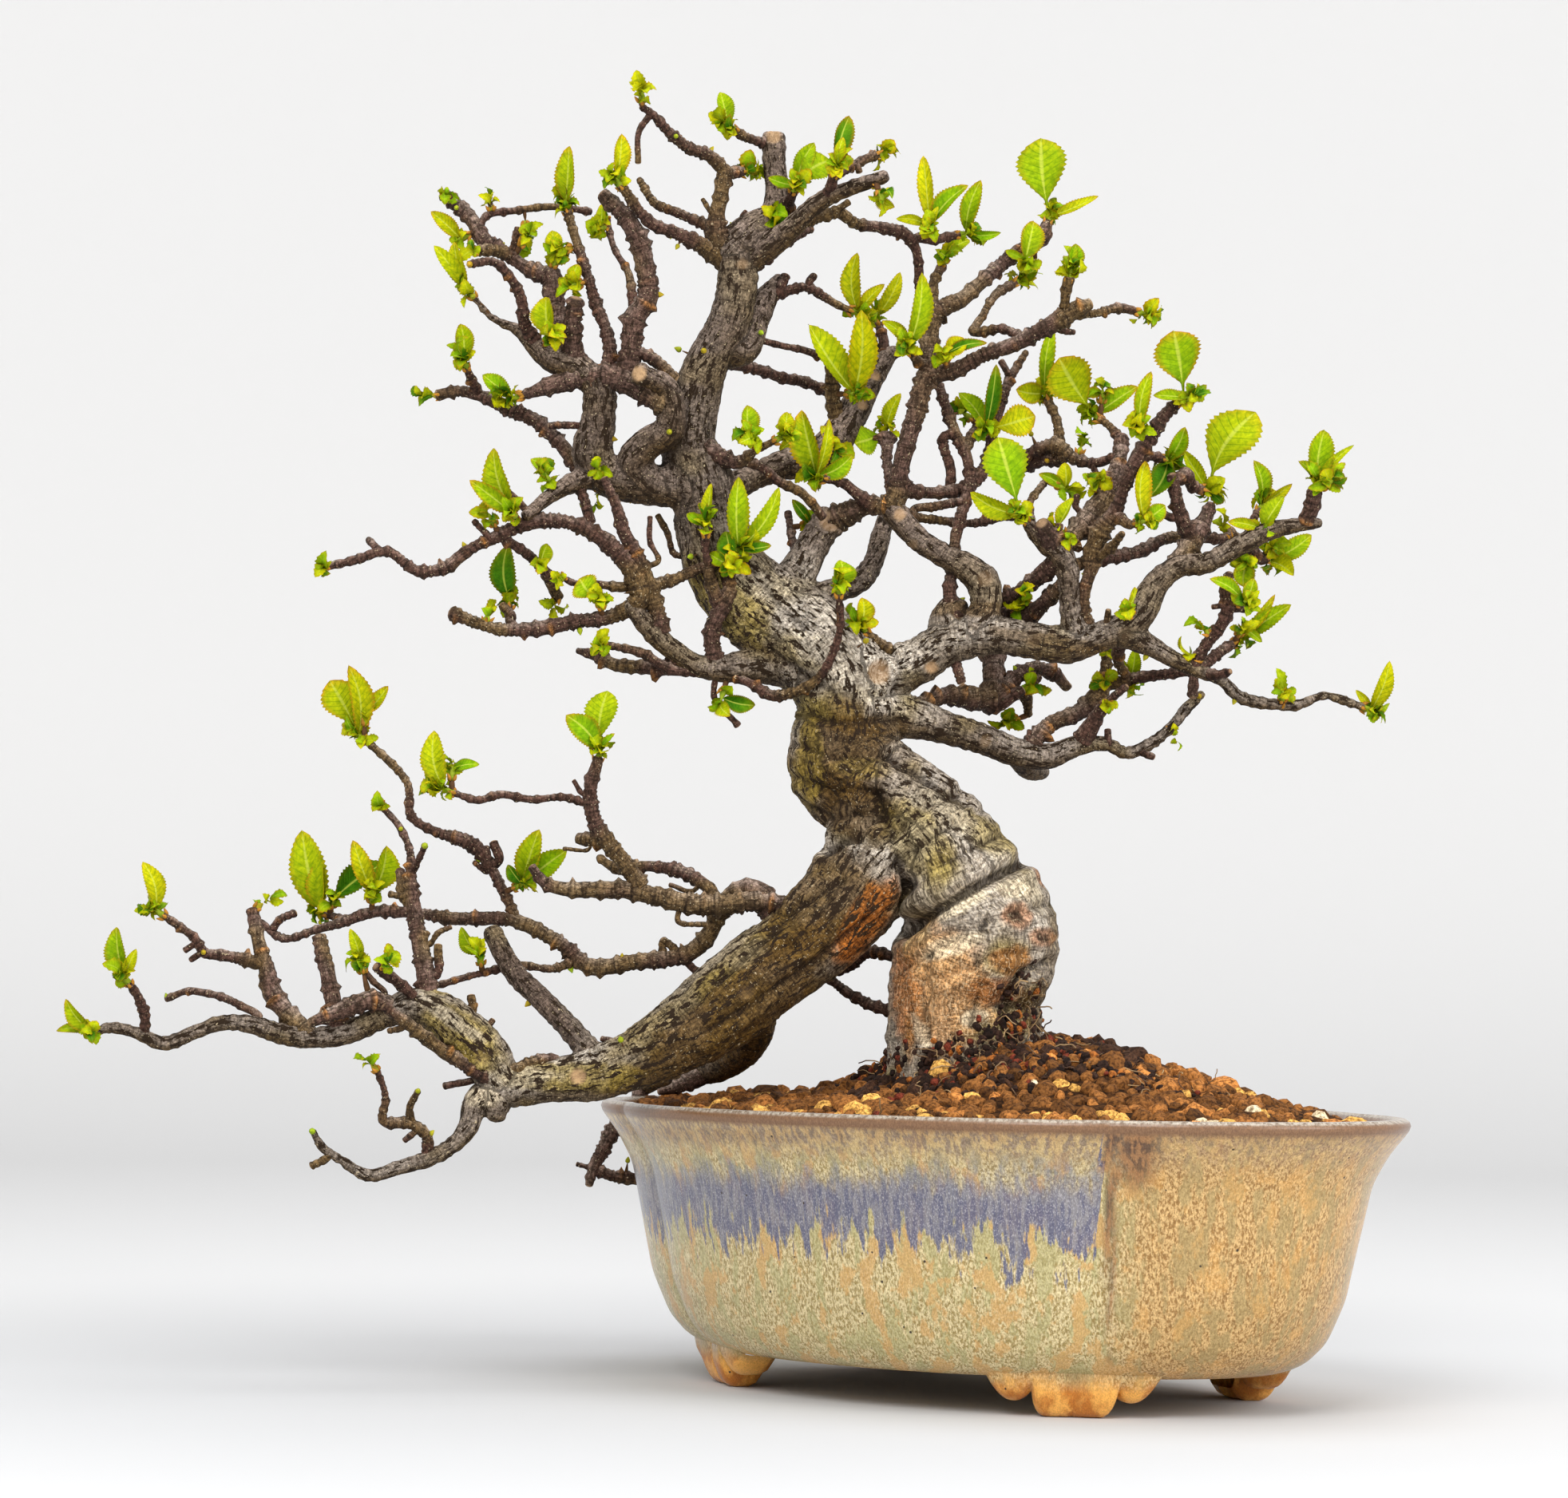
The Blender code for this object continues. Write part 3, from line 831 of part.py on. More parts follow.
def make_bud(base, axis, obstacles):
    """The bud that a tuft's leaves grow out of, moved along its shoot until it clears the rest."""
    bm = bmesh.new()
    bmesh.ops.create_icosphere(bm, subdivisions=1, radius=BUD_RADIUS * MM)
    turn = Vector((0.0, 0.0, 1.0)).rotation_difference(axis)
    for vert in bm.verts:
        vert.co.z *= BUD_SLENDERNESS
        vert.co = turn @ vert.co
    middle = base + axis * (BUD_RADIUS * BUD_SLENDERNESS * MM)
    for _ in range(12):
        middle = middle + axis * (0.2 * MM)
        distances = [tree.find_nearest(middle + vert.co)[3] for tree in obstacles for vert in bm.verts]
        if min(distances) > GAP * MM:
            break
    bmesh.ops.translate(bm, verts=bm.verts, vec=middle)
    return bm, middle


def make_tuft(index, base, axis, depth, leaves, count, obstacles):
    """A bud with leaves grown out of its faces. Obstacles are search trees that it keeps clear of."""
    rng = random.Random(100 + index)
    name = f"leaf_tuft_{index:02d}"
    bm, middle = make_bud(base, axis, obstacles)
    bud_faces = set(bm.faces)
    wishes = []
    for column, row, width in leaves:
        tip = place(column, row, depth)
        half = half_width(width, depth)
        wishes.append((tip, 2.0 * half, Vector((rng.uniform(-0.5, 0.5), -1.0, rng.uniform(-0.2, 0.5)))))
    for tip in small_leaf_tips(middle, axis, count, rng):
        width = (tip - middle).length * rng.uniform(*SMALL_LEAF_WIDTHS)
        wishes.append((tip, width, axis.copy()))
    grown = []
    for tip, width, facing in wishes:
        for end, broad in leaf_choices(middle, tip, width, rng):
            heading = (end - middle).normalized()
            start = middle + heading * (STALK_START * BUD_RADIUS * MM)
            length = (end - start).length
            bow = rng.uniform(0.08, 0.2)
            sections = leaf_sections(start, end, min(broad, MOST_BROAD * length), facing, bow,
                                     outline_for(length))
            guard = guard_tree(sections[1:], end, LEAF_MARGIN * MM)
            face = max(bud_faces, key=lambda f: f.normal.dot(heading))
            if face.normal.dot(heading) < LEAST_FACING:
                continue
            across = sections[0][1].normalized() * (FACE_HALF * BUD_RADIUS * MM)
            stalk = [(face.calc_center_median(), across, sections[0][2]), *sections[:2]]
            root = guard_tree(stalk, sections[1][0], GAP * MM)
            if any(guard.overlap(other) for other in obstacles + grown):
                continue
            if any(root.overlap(other) for other in obstacles) or any(map(root.overlap, grown)):
                continue
            bud_faces.discard(face)
            grow_blade(bm, face, sections, end)
            grown += [guard, guard_tree(sections[:2], sections[1][0], STALK_MARGIN * MM)]
            break
    bmesh.ops.recalc_face_normals(bm, faces=bm.faces)
    mesh = bpy.data.meshes.new(name)
    bm.to_mesh(mesh)
    bm.free()
    return bpy.data.objects.new(name, mesh)


def build():
    clear_scene()
    bonsai = new_collection("chinese_quince_bonsai")
    bark = make_material("bark", BARK_COLOUR, 0.85)
    leaf = make_material("young_leaf", LEAF_COLOUR, 0.45)
    glaze = make_material("pot_glaze", GLAZE_COLOUR, 0.25)
    grains = make_material("soil_grains", SOIL_COLOUR, 0.95)

    routes = resolve_routes()
    spurs = [seat_tuft(routes[route], seat) for route, seat, _, _ in TUFTS]
    pot = make_pot(glaze, bonsai)
    make_soil([routes[name] for name in SUNK_ROUTES], grains, bonsai)
    wood = make_wood(routes, [spur for spur in spurs if spur], bark, bonsai)

    obstacles = [search_tree(wood), search_tree(pot)]
    for index, ((route, _, leaves, count), spur) in enumerate(zip(TUFTS, spurs)):
        before, last = (spur or routes[route])[-2:]
        base = place(last[0], last[1], last[3])
        axis = (base - place(before[0], before[1], before[3])).normalized()
        tuft = make_tuft(index, base, axis, last[3], leaves, count, obstacles)
        obstacles.append(search_tree(tuft))
        finish_object(tuft, leaf, bonsai)

    shift = Matrix.Translation(Vector((*ORIGIN_SHIFT, 0.0)) * MM)
    for thing in bonsai.objects:
        thing.data.transform(shift)


build()
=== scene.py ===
"""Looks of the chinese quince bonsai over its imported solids: bark, young leaves, soil and glaze.

Lengths are in millimetres until they become mesh corners, which are in metres.
"""
import math
import random

import bmesh
import bpy
import numpy as np
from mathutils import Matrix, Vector
from mathutils.bvhtree import BVHTree
from mathutils.kdtree import KDTree


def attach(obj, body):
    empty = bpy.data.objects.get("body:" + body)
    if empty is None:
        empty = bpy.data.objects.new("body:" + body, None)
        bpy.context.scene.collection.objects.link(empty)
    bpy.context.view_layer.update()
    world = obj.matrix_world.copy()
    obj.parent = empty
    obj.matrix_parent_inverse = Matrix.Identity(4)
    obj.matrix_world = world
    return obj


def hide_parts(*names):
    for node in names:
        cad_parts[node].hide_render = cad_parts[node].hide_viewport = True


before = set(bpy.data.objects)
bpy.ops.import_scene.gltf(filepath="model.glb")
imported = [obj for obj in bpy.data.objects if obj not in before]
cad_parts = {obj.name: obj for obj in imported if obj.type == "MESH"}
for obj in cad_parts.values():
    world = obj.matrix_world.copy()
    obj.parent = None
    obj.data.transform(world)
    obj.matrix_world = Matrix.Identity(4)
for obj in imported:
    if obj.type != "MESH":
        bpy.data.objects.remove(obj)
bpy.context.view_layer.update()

MM = 0.001
PIXEL = 0.2                 # what one pixel of the photograph spans at the middle of the pot
VIEW_DISTANCE = 1100.0
EYE_HEIGHT = 103.5
EYE_LEFT_OF_POT = 51.6
POT_MIDDLE = 59.6           # how far the pot's middle is along X from the origin
CENTRE_COLUMN, CENTRE_ROW = 981, 935
HORIZON_ROW = 1219
ROLL = math.radians(0.63)
IMAGE_WIDTH, IMAGE_HEIGHT = 1964, 1876
SENSOR = 36.0

THICK_FROM = 34             # width in pixels from which a branch is part of the remeshed wood
VOXEL = 0.66
TWIG_STEP = 0.5
TWIG_SIDES = 11

POT_HEIGHT = 71.0
POT_UNDERSIDE = 8.6
POT_WALL = 6.0
POT_NARROWNESS = 0.645
POT_TURN = math.radians(-42.0)
NOTCH_DEPTH = 0.055
LOBE_SHARPNESS = 0.6

# Half of the pot's long axis at each height.
POT_PROFILE = [(8.6, 82.5), (11.4, 89.5), (16.5, 95.0), (27.0, 100.3), (42.5, 104.0), (55.0, 107.0),
               (62.5, 111.5), (67.3, 115.8), (69.4, 116.2), (71.0, 114.0)]

# Points of the trunk: (column, row, width) in pixels, and depth in millimetres.
TRUNK = [(1200, 1440, 184, 0), (1200, 1350, 190, 0), (1204, 1275, 192, -1), (1201, 1242, 182, -2),
         (1212, 1208, 198, -3), (1226, 1160, 188, -5), (1202, 1108, 160, -6), (1180, 1062, 142, -5),
         (1140, 1015, 124, -2), (1090, 980, 122, 0), (1052, 945, 130, 2), (1058, 898, 126, 3),
         (1048, 848, 128, 4), (1020, 812, 126, 5), (975, 777, 120, 6), (934, 745, 110, 6),
         (902, 705, 96, 5), (886, 650, 88, 3), (874, 600, 84, 1), (860, 555, 72, 0),
         (866, 500, 60, -2), (883, 450, 56, -4), (908, 400, 53, -6), (920, 350, 53, -7), (917, 305, 48, -8)]

# Routes of the branches: (parent, reach in depth in millimetres, points).
ROUTES = {
    "ridge_right": ("trunk", -6, [(1252, 1262, 80), (1268, 1208, 88), (1268, 1145, 84), (1232, 1085, 70),
                                  (1198, 1038, 58), (1158, 996, 50), (1110, 970, 46)]),
    "ridge_left": ("trunk", 6, [(1150, 1262, 80), (1163, 1205, 84), (1180, 1150, 74), (1158, 1092, 70),
                                (1130, 1040, 60), (1080, 1000, 56)]),
    "bulge": ("trunk", -2, [(1046, 905, 96), (1036, 945, 106), (1044, 985, 92), (1070, 1020, 70)]),
    "shoulder": ("trunk", -10, [(1090, 975, 100), (1072, 1012, 78), (1064, 1060, 70), (1042, 1100, 74),
                                (1000, 1150, 70)]),
    "lower_limb": ("trunk", -20, [(1112, 1062, 112), (1050, 1137, 112), (996, 1187, 108), (950, 1218, 110),
                                  (905, 1256, 112), (850, 1293, 96), (800, 1322, 78), (750, 1340, 68),
                                  (700, 1348, 58), (655, 1355, 52), (622, 1366, 44), (618, 1394, 24)]),
    "limb_tip": ("lower_limb", -10, [(625, 1352, 50), (600, 1315, 62), (572, 1288, 62), (545, 1266, 55),
                                     (510, 1258, 45), (480, 1268, 32), (450, 1283, 30), (420, 1293, 30),
                                     (390, 1297, 28), (350, 1292, 28), (310, 1280, 24), (275, 1278, 20),
                                     (240, 1290, 18), (200, 1304, 18), (165, 1290, 16), (132, 1284, 14),
                                     (112, 1291, 9)]),
    "tip_spur": ("limb_tip", -7, [(178, 1290, 12), (176, 1265, 12), (166, 1240, 11), (157, 1228, 10)]),
    "tip_whip": ("limb_tip", 12, [(318, 1270, 11), (300, 1258, 10), (280, 1248, 10), (250, 1240, 9),
                                  (232, 1238, 9), (205, 1248, 8)]),
    "tip_riser": ("limb_tip", 8, [(385, 1295, 26), (354, 1264, 24), (335, 1235, 24), (328, 1205, 20),
                                  (320, 1175, 18), (312, 1138, 15)]),
    "tip_riser_arm": ("tip_riser", -8, [(328, 1205, 18), (300, 1198, 16), (275, 1193, 14), (252, 1190, 13),
                                        (240, 1172, 11), (225, 1160, 10), (200, 1143, 9)]),
    "back_runner": ("lower_limb", 26, [(968, 1150, 28), (940, 1112, 28), (915, 1118, 26), (895, 1145, 22),
                                       (880, 1172, 22), (860, 1190, 21), (800, 1200, 20), (730, 1205, 20),
                                       (700, 1180, 18), (640, 1150, 18), (560, 1147, 16), (520, 1141, 14),
                                       (460, 1140, 14), (425, 1152, 12), (390, 1162, 10), (350, 1172, 9),
                                       (322, 1152, 9)]),
    "runner_fork": ("back_runner", -8, [(715, 1200, 12), (690, 1210, 10), (650, 1206, 10), (590, 1218, 9),
                                        (537, 1233, 8)]),
    "bud_riser": ("back_runner", 4, [(430, 1150, 11), (418, 1146, 10), (405, 1142, 9)]),
    "cut_riser": ("lower_limb", 16, [(745, 1325, 34), (700, 1275, 30), (670, 1245, 28), (640, 1215, 26),
                                     (625, 1190, 26), (613, 1165, 26)]),
    "limb_riser": ("limb_tip", 12, [(530, 1262, 28), (530, 1230, 26), (524, 1190, 22), (515, 1140, 20),
                                    (510, 1100, 16), (510, 1065, 10), (498, 1035, 9), (473, 1006, 8)]),
    "riser_fork": ("limb_riser", -6, [(512, 1092, 9), (520, 1074, 8), (528, 1056, 8)]),
    "riser_stump": ("limb_riser", 6, [(507, 1125, 14), (497, 1088, 12)]),
    "cut_stub": ("limb_tip", 6, [(420, 1285, 26), (408, 1225, 20), (396, 1172, 18)]),
    "front_hook": ("limb_tip", -9, [(500, 1262, 26), (460, 1250, 25), (425, 1262, 22), (385, 1278, 12)]),
    "front_hook_up": ("limb_tip", -12, [(525, 1255, 15), (500, 1232, 14), (468, 1208, 13)]),
    "front_rib": ("lower_limb", -14, [(712, 1335, 18), (680, 1324, 16), (640, 1336, 16), (610, 1345, 20),
                                      (580, 1330, 20), (550, 1312, 18), (510, 1282, 16), (478, 1258, 12)]),
    "hanging": ("lower_limb", -10, [(610, 1362, 36), (590, 1378, 30), (584, 1405, 26), (570, 1425, 22),
                                    (540, 1445, 21), (500, 1458, 18), (455, 1469, 17), (425, 1451, 13),
                                    (400, 1434, 12), (388, 1414, 9)]),
    "hanging_arm": ("hanging", -8, [(530, 1442, 15), (532, 1424, 14), (512, 1405, 14), (476, 1400, 12),
                                    (479, 1372, 9), (468, 1337, 8)]),
    "hanging_fork": ("hanging_arm", -5, [(512, 1403, 10), (509, 1386, 9), (519, 1364, 8)]),
    "front_runner": ("lower_limb", -4, [(1000, 1140, 24), (950, 1126, 24), (895, 1130, 26), (860, 1128, 26),
                                        (820, 1120, 24), (785, 1112, 23), (740, 1111, 20), (700, 1110, 18),
                                        (676, 1101, 15), (663, 1083, 11)]),
    "runner_post": ("front_runner", -7, [(798, 1108, 24), (780, 1080, 21), (757, 1052, 21), (740, 1022, 19),
                                         (735, 990, 18), (745, 948, 15)]),
    "post_arm": ("runner_post", -5, [(732, 1004, 10), (705, 996, 9), (660, 998, 10), (622, 992, 10),
                                     (596, 999, 9), (562, 989, 8)]),
    "post_stub": ("runner_post", 5, [(752, 1050, 16), (722, 1047, 15)]),
    "shadow_runner": ("front_runner", 22, [(890, 1120, 16), (865, 1096, 16), (815, 1082, 14), (765, 1083, 13),
                                           (746, 1071, 9)]),
    "back_arch": ("back_runner", 8, [(642, 1147, 14), (625, 1110, 13), (612, 1086, 14), (598, 1064, 19),
                                     (578, 1050, 19), (545, 1040, 13), (511, 1019, 11), (507, 980, 10),
                                     (482, 949, 10), (453, 924, 9)]),
    "pot_hanger": ("lower_limb", 92, [(945, 1270, 46), (932, 1305, 48), (900, 1328, 44), (872, 1340, 32),
                                      (845, 1345, 24), (818, 1350, 22), (800, 1360, 20)]),
    "hanger_drop": ("pot_hanger", -8, [(802, 1356, 20), (797, 1370, 20), (786, 1387, 19), (765, 1410, 19),
                                       (752, 1436, 18), (737, 1466, 14), (734, 1480, 11)]),
    "hanger_fork": ("hanger_drop", 2, [(742, 1462, 14), (765, 1470, 15), (795, 1474, 15)]),
    "hanger_stub": ("pot_hanger", -4, [(885, 1338, 26), (860, 1352, 22), (840, 1360, 14), (822, 1364, 9)]),
    "trunk_spur_high": ("trunk", 18, [(1117, 1195, 14), (1085, 1190, 14), (1056, 1210, 12), (1032, 1216, 11)]),
    "trunk_spur_low": ("trunk", 14, [(1108, 1262, 14), (1067, 1246, 13), (1034, 1222, 11)]),
    "left_collar": ("trunk", -14, [(985, 828, 60), (930, 832, 42), (895, 835, 32), (868, 830, 28),
                                   (840, 812, 26), (812, 788, 26), (788, 755, 24)]),
    "collar_post": ("left_collar", -4, [(893, 832, 24), (888, 785, 20), (900, 758, 22), (911, 736, 20)]),
    "collar_prong": ("collar_post", -4, [(897, 755, 18), (886, 726, 17), (884, 708, 13)]),
    "tuft_stem": ("collar_prong", -3, [(884, 708, 11), (880, 690, 10), (880, 666, 10)]),
    "curl_twig": ("left_collar", -16, [(905, 843, 14), (930, 850, 12), (965, 868, 14), (990, 864, 13),
                                       (1022, 845, 11), (1038, 818, 10), (1048, 785, 9), (1047, 742, 9)]),
    "collar_twig": ("left_collar", -6, [(872, 838, 14), (835, 835, 14), (800, 815, 12), (757, 805, 10)]),
    "collar_shadow": ("left_collar", 16, [(835, 830, 20), (800, 832, 18), (765, 829, 16), (742, 818, 14),
                                          (720, 812, 8)]),
    "red_riser": ("left_collar", -8, [(826, 790, 22), (810, 735, 22), (795, 695, 19), (780, 668, 18),
                                      (768, 632, 14), (753, 597, 10)]),
    "left_runner": ("collar_post", -4, [(905, 702, 16), (880, 706, 14), (842, 722, 14), (815, 732, 19),
                                        (795, 752, 23), (765, 768, 19), (720, 775, 18), (660, 785, 19),
                                        (620, 785, 16), (585, 774, 16), (563, 765, 18)]),
    "runner_whip": ("left_runner", -6, [(806, 728, 12), (775, 732, 12), (745, 729, 10), (715, 727, 8),
                                        (700, 720, 8)]),
    "left_limb": ("trunk", -10, [(878, 605, 56), (835, 607, 52), (790, 602, 52), (752, 590, 52),
                                 (738, 562, 52), (745, 530, 44), (747, 492, 42), (744, 468, 38)]),
    "limb_loop": ("left_limb", -16, [(842, 612, 46), (805, 600, 46), (791, 575, 44), (806, 553, 40),
                                     (832, 537, 38), (838, 510, 34), (832, 484, 30), (797, 465, 25)]),
    "loop_runner": ("limb_loop", 4, [(832, 505, 32), (800, 484, 32), (770, 470, 32), (735, 469, 25),
                                     (700, 475, 25), (672, 485, 18), (648, 493, 10)]),
    "wound_twig": ("trunk", -12, [(845, 550, 26), (872, 556, 24), (897, 568, 22), (920, 576, 15),
                                  (940, 563, 10), (968, 548, 9)]),
    "cross_twig": ("wound_twig", 10, [(922, 575, 11), (945, 580, 11), (972, 600, 12), (1002, 616, 12),
                                      (1026, 644, 12)]),
    "high_left": ("left_limb", 2, [(742, 476, 38), (715, 455, 38), (690, 448, 36), (665, 430, 26),
                                   (645, 411, 16), (612, 395, 10), (588, 368, 8)]),
    "high_post": ("high_left", -6, [(716, 452, 30), (712, 420, 27), (713, 395, 23), (717, 374, 18)]),
    "high_back": ("high_left", 24, [(702, 430, 24), (695, 400, 22), (690, 370, 26), (687, 346, 26),
                                    (660, 335, 18), (625, 312, 17), (604, 300, 20), (585, 270, 19),
                                    (553, 241, 16)]),
    "high_back_whip": ("high_back", 10, [(594, 285, 9), (605, 268, 9), (640, 261, 9), (690, 256, 9),
                                         (735, 262, 9)]),
    "high_back_tip": ("high_back", -6, [(640, 318, 15), (612, 311, 15), (588, 311, 14)]),
    "high_front": ("high_left", -14, [(668, 428, 18), (652, 400, 15), (650, 376, 14), (633, 342, 12),
                                      (614, 325, 11), (584, 328, 9)]),
    "whip_a": ("left_limb", 8, [(752, 472, 20), (760, 440, 17), (755, 410, 16), (743, 380, 15),
                                (733, 345, 13), (722, 312, 12), (707, 263, 12)]),
    "whip_b": ("loop_runner", 16, [(790, 470, 18), (790, 420, 14), (788, 372, 11), (783, 340, 10),
                                   (766, 310, 8), (755, 270, 8)]),
    "whip_c": ("loop_runner", -4, [(782, 468, 28), (787, 425, 27), (791, 398, 28), (808, 366, 27),
                                   (806, 340, 24), (797, 302, 25), (783, 273, 23), (752, 242, 19)]),
    "crown_left_low": ("trunk", -12, [(905, 325, 26), (880, 308, 22), (850, 292, 17), (808, 274, 14),
                                      (790, 252, 14), (775, 231, 13)]),
    "crown_left_high": ("trunk", 8, [(900, 300, 22), (880, 280, 15), (848, 265, 12), (815, 250, 11),
                                     (797, 222, 9)]),
    "crown_post": ("trunk", -4, [(900, 300, 30), (893, 272, 22), (898, 245, 19), (904, 212, 20)]),
    "crown_whip": ("crown_post", -10, [(905, 212, 18), (882, 191, 16), (858, 182, 14), (832, 160, 13),
                                       (815, 142, 11), (800, 131, 9)]),
    "crown_prong": ("crown_post", 4, [(905, 214, 16), (926, 212, 12)]),
    "crown_stub": ("trunk", 6, [(918, 305, 54), (942, 284, 48), (964, 268, 38), (969, 240, 30),
                                (966, 205, 30), (965, 172, 30)]),
    "stub_twig": ("crown_stub", -6, [(962, 180, 14), (940, 172, 11), (927, 168, 12), (916, 160, 11)]),
    "crown_spur": ("crown_stub", -8, [(970, 262, 24), (985, 248, 14), (990, 236, 9)]),
    "crown_arm": ("trunk", -14, [(925, 330, 36), (942, 318, 30), (965, 300, 30), (992, 278, 26),
                                 (1025, 248, 23), (1060, 233, 20), (1104, 218, 17)]),
    "arm_spur": ("crown_arm", -5, [(1033, 243, 14), (1038, 226, 13), (1041, 216, 11)]),
    "arm_twig": ("arm_spur", 8, [(1040, 220, 9), (1062, 206, 11), (1080, 196, 12), (1094, 191, 10)]),
    "crown_low_arm": ("crown_arm", 14, [(935, 328, 26), (960, 312, 22), (988, 293, 16), (1011, 284, 9)]),
    "crown_bridge": ("crown_arm", 30, [(1005, 275, 14), (1025, 268, 14), (1045, 263, 15), (1068, 277, 14),
                                       (1100, 282, 14), (1135, 295, 16), (1143, 310, 13), (1147, 352, 12),
                                       (1150, 385, 14), (1162, 425, 16), (1160, 455, 20)]),
    "crown_right": ("trunk", 10, [(918, 436, 46), (940, 395, 40), (957, 368, 30), (972, 344, 13)]),
    "crown_right_twig": ("crown_right", 8, [(955, 372, 20), (975, 363, 15), (1010, 358, 11), (1028, 369, 11),
                                            (1045, 379, 9), (1062, 386, 9)]),
    "bridge_high": ("trunk", 16, [(915, 425, 10), (950, 424, 9), (975, 430, 8), (1005, 436, 9),
                                  (1032, 446, 11)]),
    "bridge_low": ("trunk", 30, [(905, 452, 14), (940, 458, 13), (975, 470, 13), (1005, 476, 13),
                                 (1034, 488, 13)]),
    "right_riser": ("trunk", 6, [(930, 775, 70), (968, 745, 56), (993, 718, 50), (1008, 692, 44),
                                 (1022, 668, 40), (1036, 650, 36)]),
    "riser_link": ("right_riser", -6, [(1036, 650, 32), (1062, 638, 27), (1085, 630, 22), (1108, 632, 26)]),
    "back_riser": ("trunk", 26, [(990, 760, 44), (1035, 738, 30), (1072, 724, 31), (1090, 700, 26),
                                 (1098, 672, 25), (1106, 645, 22)]),
    "trunk_knob": ("trunk", 12, [(960, 755, 30), (973, 728, 24)]),
    "tall_mid": ("trunk", 24, [(905, 610, 40), (945, 592, 32), (982, 578, 36), (1010, 575, 38),
                               (1040, 550, 42), (1062, 518, 40), (1082, 480, 33), (1098, 456, 28),
                               (1112, 440, 20), (1126, 436, 13)]),
    "mid_post": ("tall_mid", -6, [(1048, 535, 26), (1040, 505, 19), (1038, 472, 17), (1037, 444, 14)]),
    "mid_prong": ("tall_mid", 4, [(1104, 450, 16), (1102, 420, 12), (1096, 403, 10)]),
    "mid_stub": ("tall_mid", 10, [(1092, 462, 16), (1087, 440, 23), (1083, 418, 18)]),
    "leaf_twig": ("riser_link", -4, [(1098, 635, 18), (1075, 620, 16), (1050, 601, 12), (1028, 596, 10)]),
    "column": ("riser_link", -4, [(1110, 634, 30), (1121, 612, 27), (1123, 590, 22), (1130, 560, 22),
                                  (1139, 528, 23), (1147, 500, 25), (1156, 470, 25), (1163, 455, 24)]),
    "column_left": ("column", -6, [(1158, 458, 14), (1142, 446, 11), (1138, 438, 9)]),
    "column_stub": ("column", 8, [(1114, 622, 14), (1108, 590, 10), (1107, 565, 13), (1106, 545, 21)]),
    "column_arm": ("column", -10, [(1160, 468, 22), (1190, 461, 20), (1230, 441, 18), (1262, 430, 19),
                                   (1300, 411, 21), (1325, 396, 24), (1348, 383, 20), (1360, 378, 15)]),
    "arm_post": ("column_arm", -4, [(1330, 392, 13), (1330, 370, 12), (1335, 347, 15)]),
    "arm_tip": ("column_arm", 6, [(1340, 392, 12), (1370, 389, 10), (1402, 383, 12), (1421, 388, 8)]),
    "arm_low_stub": ("column_arm", 5, [(1312, 404, 9), (1326, 411, 8), (1340, 413, 7)]),
    "back_arm": ("column_arm", 26, [(1278, 420, 13), (1252, 409, 11), (1216, 412, 12), (1228, 390, 9),
                                    (1243, 366, 11), (1266, 352, 11)]),
    "sweep": ("column", 18, [(1160, 460, 22), (1160, 420, 22), (1166, 390, 25), (1200, 372, 20),
                             (1232, 344, 18), (1272, 312, 18), (1303, 292, 20), (1308, 277, 14)]),
    "sweep_spur": ("sweep", 10, [(1165, 385, 14), (1166, 350, 12), (1176, 330, 12)]),
    "bridge_spur": ("crown_bridge", 4, [(1142, 296, 12), (1165, 297, 12), (1196, 291, 11)]),
    "shadow_riser": ("column", 22, [(1120, 610, 22), (1165, 614, 15), (1210, 606, 18), (1228, 585, 16),
                                    (1237, 550, 13), (1246, 515, 13), (1256, 482, 13), (1266, 462, 11),
                                    (1281, 438, 8)]),
    "dark_riser": ("lower_right", 14, [(1190, 768, 20), (1186, 738, 17), (1190, 700, 14), (1195, 660, 14),
                                       (1204, 628, 14), (1210, 600, 15), (1207, 570, 14), (1194, 542, 15),
                                       (1182, 512, 13), (1172, 480, 12)]),
    "low_bridge": ("column", 12, [(1128, 640, 14), (1165, 648, 11), (1215, 652, 10), (1262, 645, 9),
                                  (1282, 648, 9)]),
    "shadow_fork": ("dark_riser", 14, [(1205, 560, 14), (1222, 530, 12), (1236, 518, 11)]),
    "diagonal": ("riser_link", -6, [(1110, 634, 32), (1130, 656, 31), (1152, 677, 31), (1180, 694, 32),
                                    (1208, 708, 37), (1228, 728, 42), (1230, 762, 40), (1215, 792, 40)]),
    "lower_right": ("trunk", -12, [(1075, 850, 84), (1112, 840, 64), (1148, 824, 58), (1176, 804, 54),
                                   (1207, 796, 50), (1245, 792, 45), (1290, 800, 43), (1335, 804, 45),
                                   (1370, 795, 39), (1402, 783, 42), (1425, 762, 42), (1445, 728, 34),
                                   (1470, 707, 29), (1505, 703, 26), (1540, 685, 25), (1580, 664, 25),
                                   (1612, 656, 21), (1648, 652, 15)]),
    "right_hump": ("lower_right", 4, [(1185, 800, 50), (1182, 772, 44), (1190, 757, 34)]),
    "right_tip": ("lower_right", -4, [(1630, 652, 18), (1638, 635, 20), (1643, 614, 20)]),
    "arch_low": ("trunk", 14, [(1095, 890, 70), (1135, 896, 54), (1178, 908, 42), (1230, 924, 37),
                               (1272, 940, 36), (1310, 944, 32), (1345, 931, 28), (1385, 930, 18),
                               (1405, 940, 16), (1430, 932, 16), (1462, 908, 14), (1488, 878, 13),
                               (1502, 866, 9)]),
    "arch_stub": ("arch_low", 18, [(1270, 940, 34), (1286, 960, 30), (1302, 964, 20)]),
    "arch_riser": ("arch_low", 12, [(1287, 932, 22), (1306, 908, 20), (1348, 888, 22), (1372, 866, 25),
                                (1380, 840, 16), (1383, 812, 14)]),
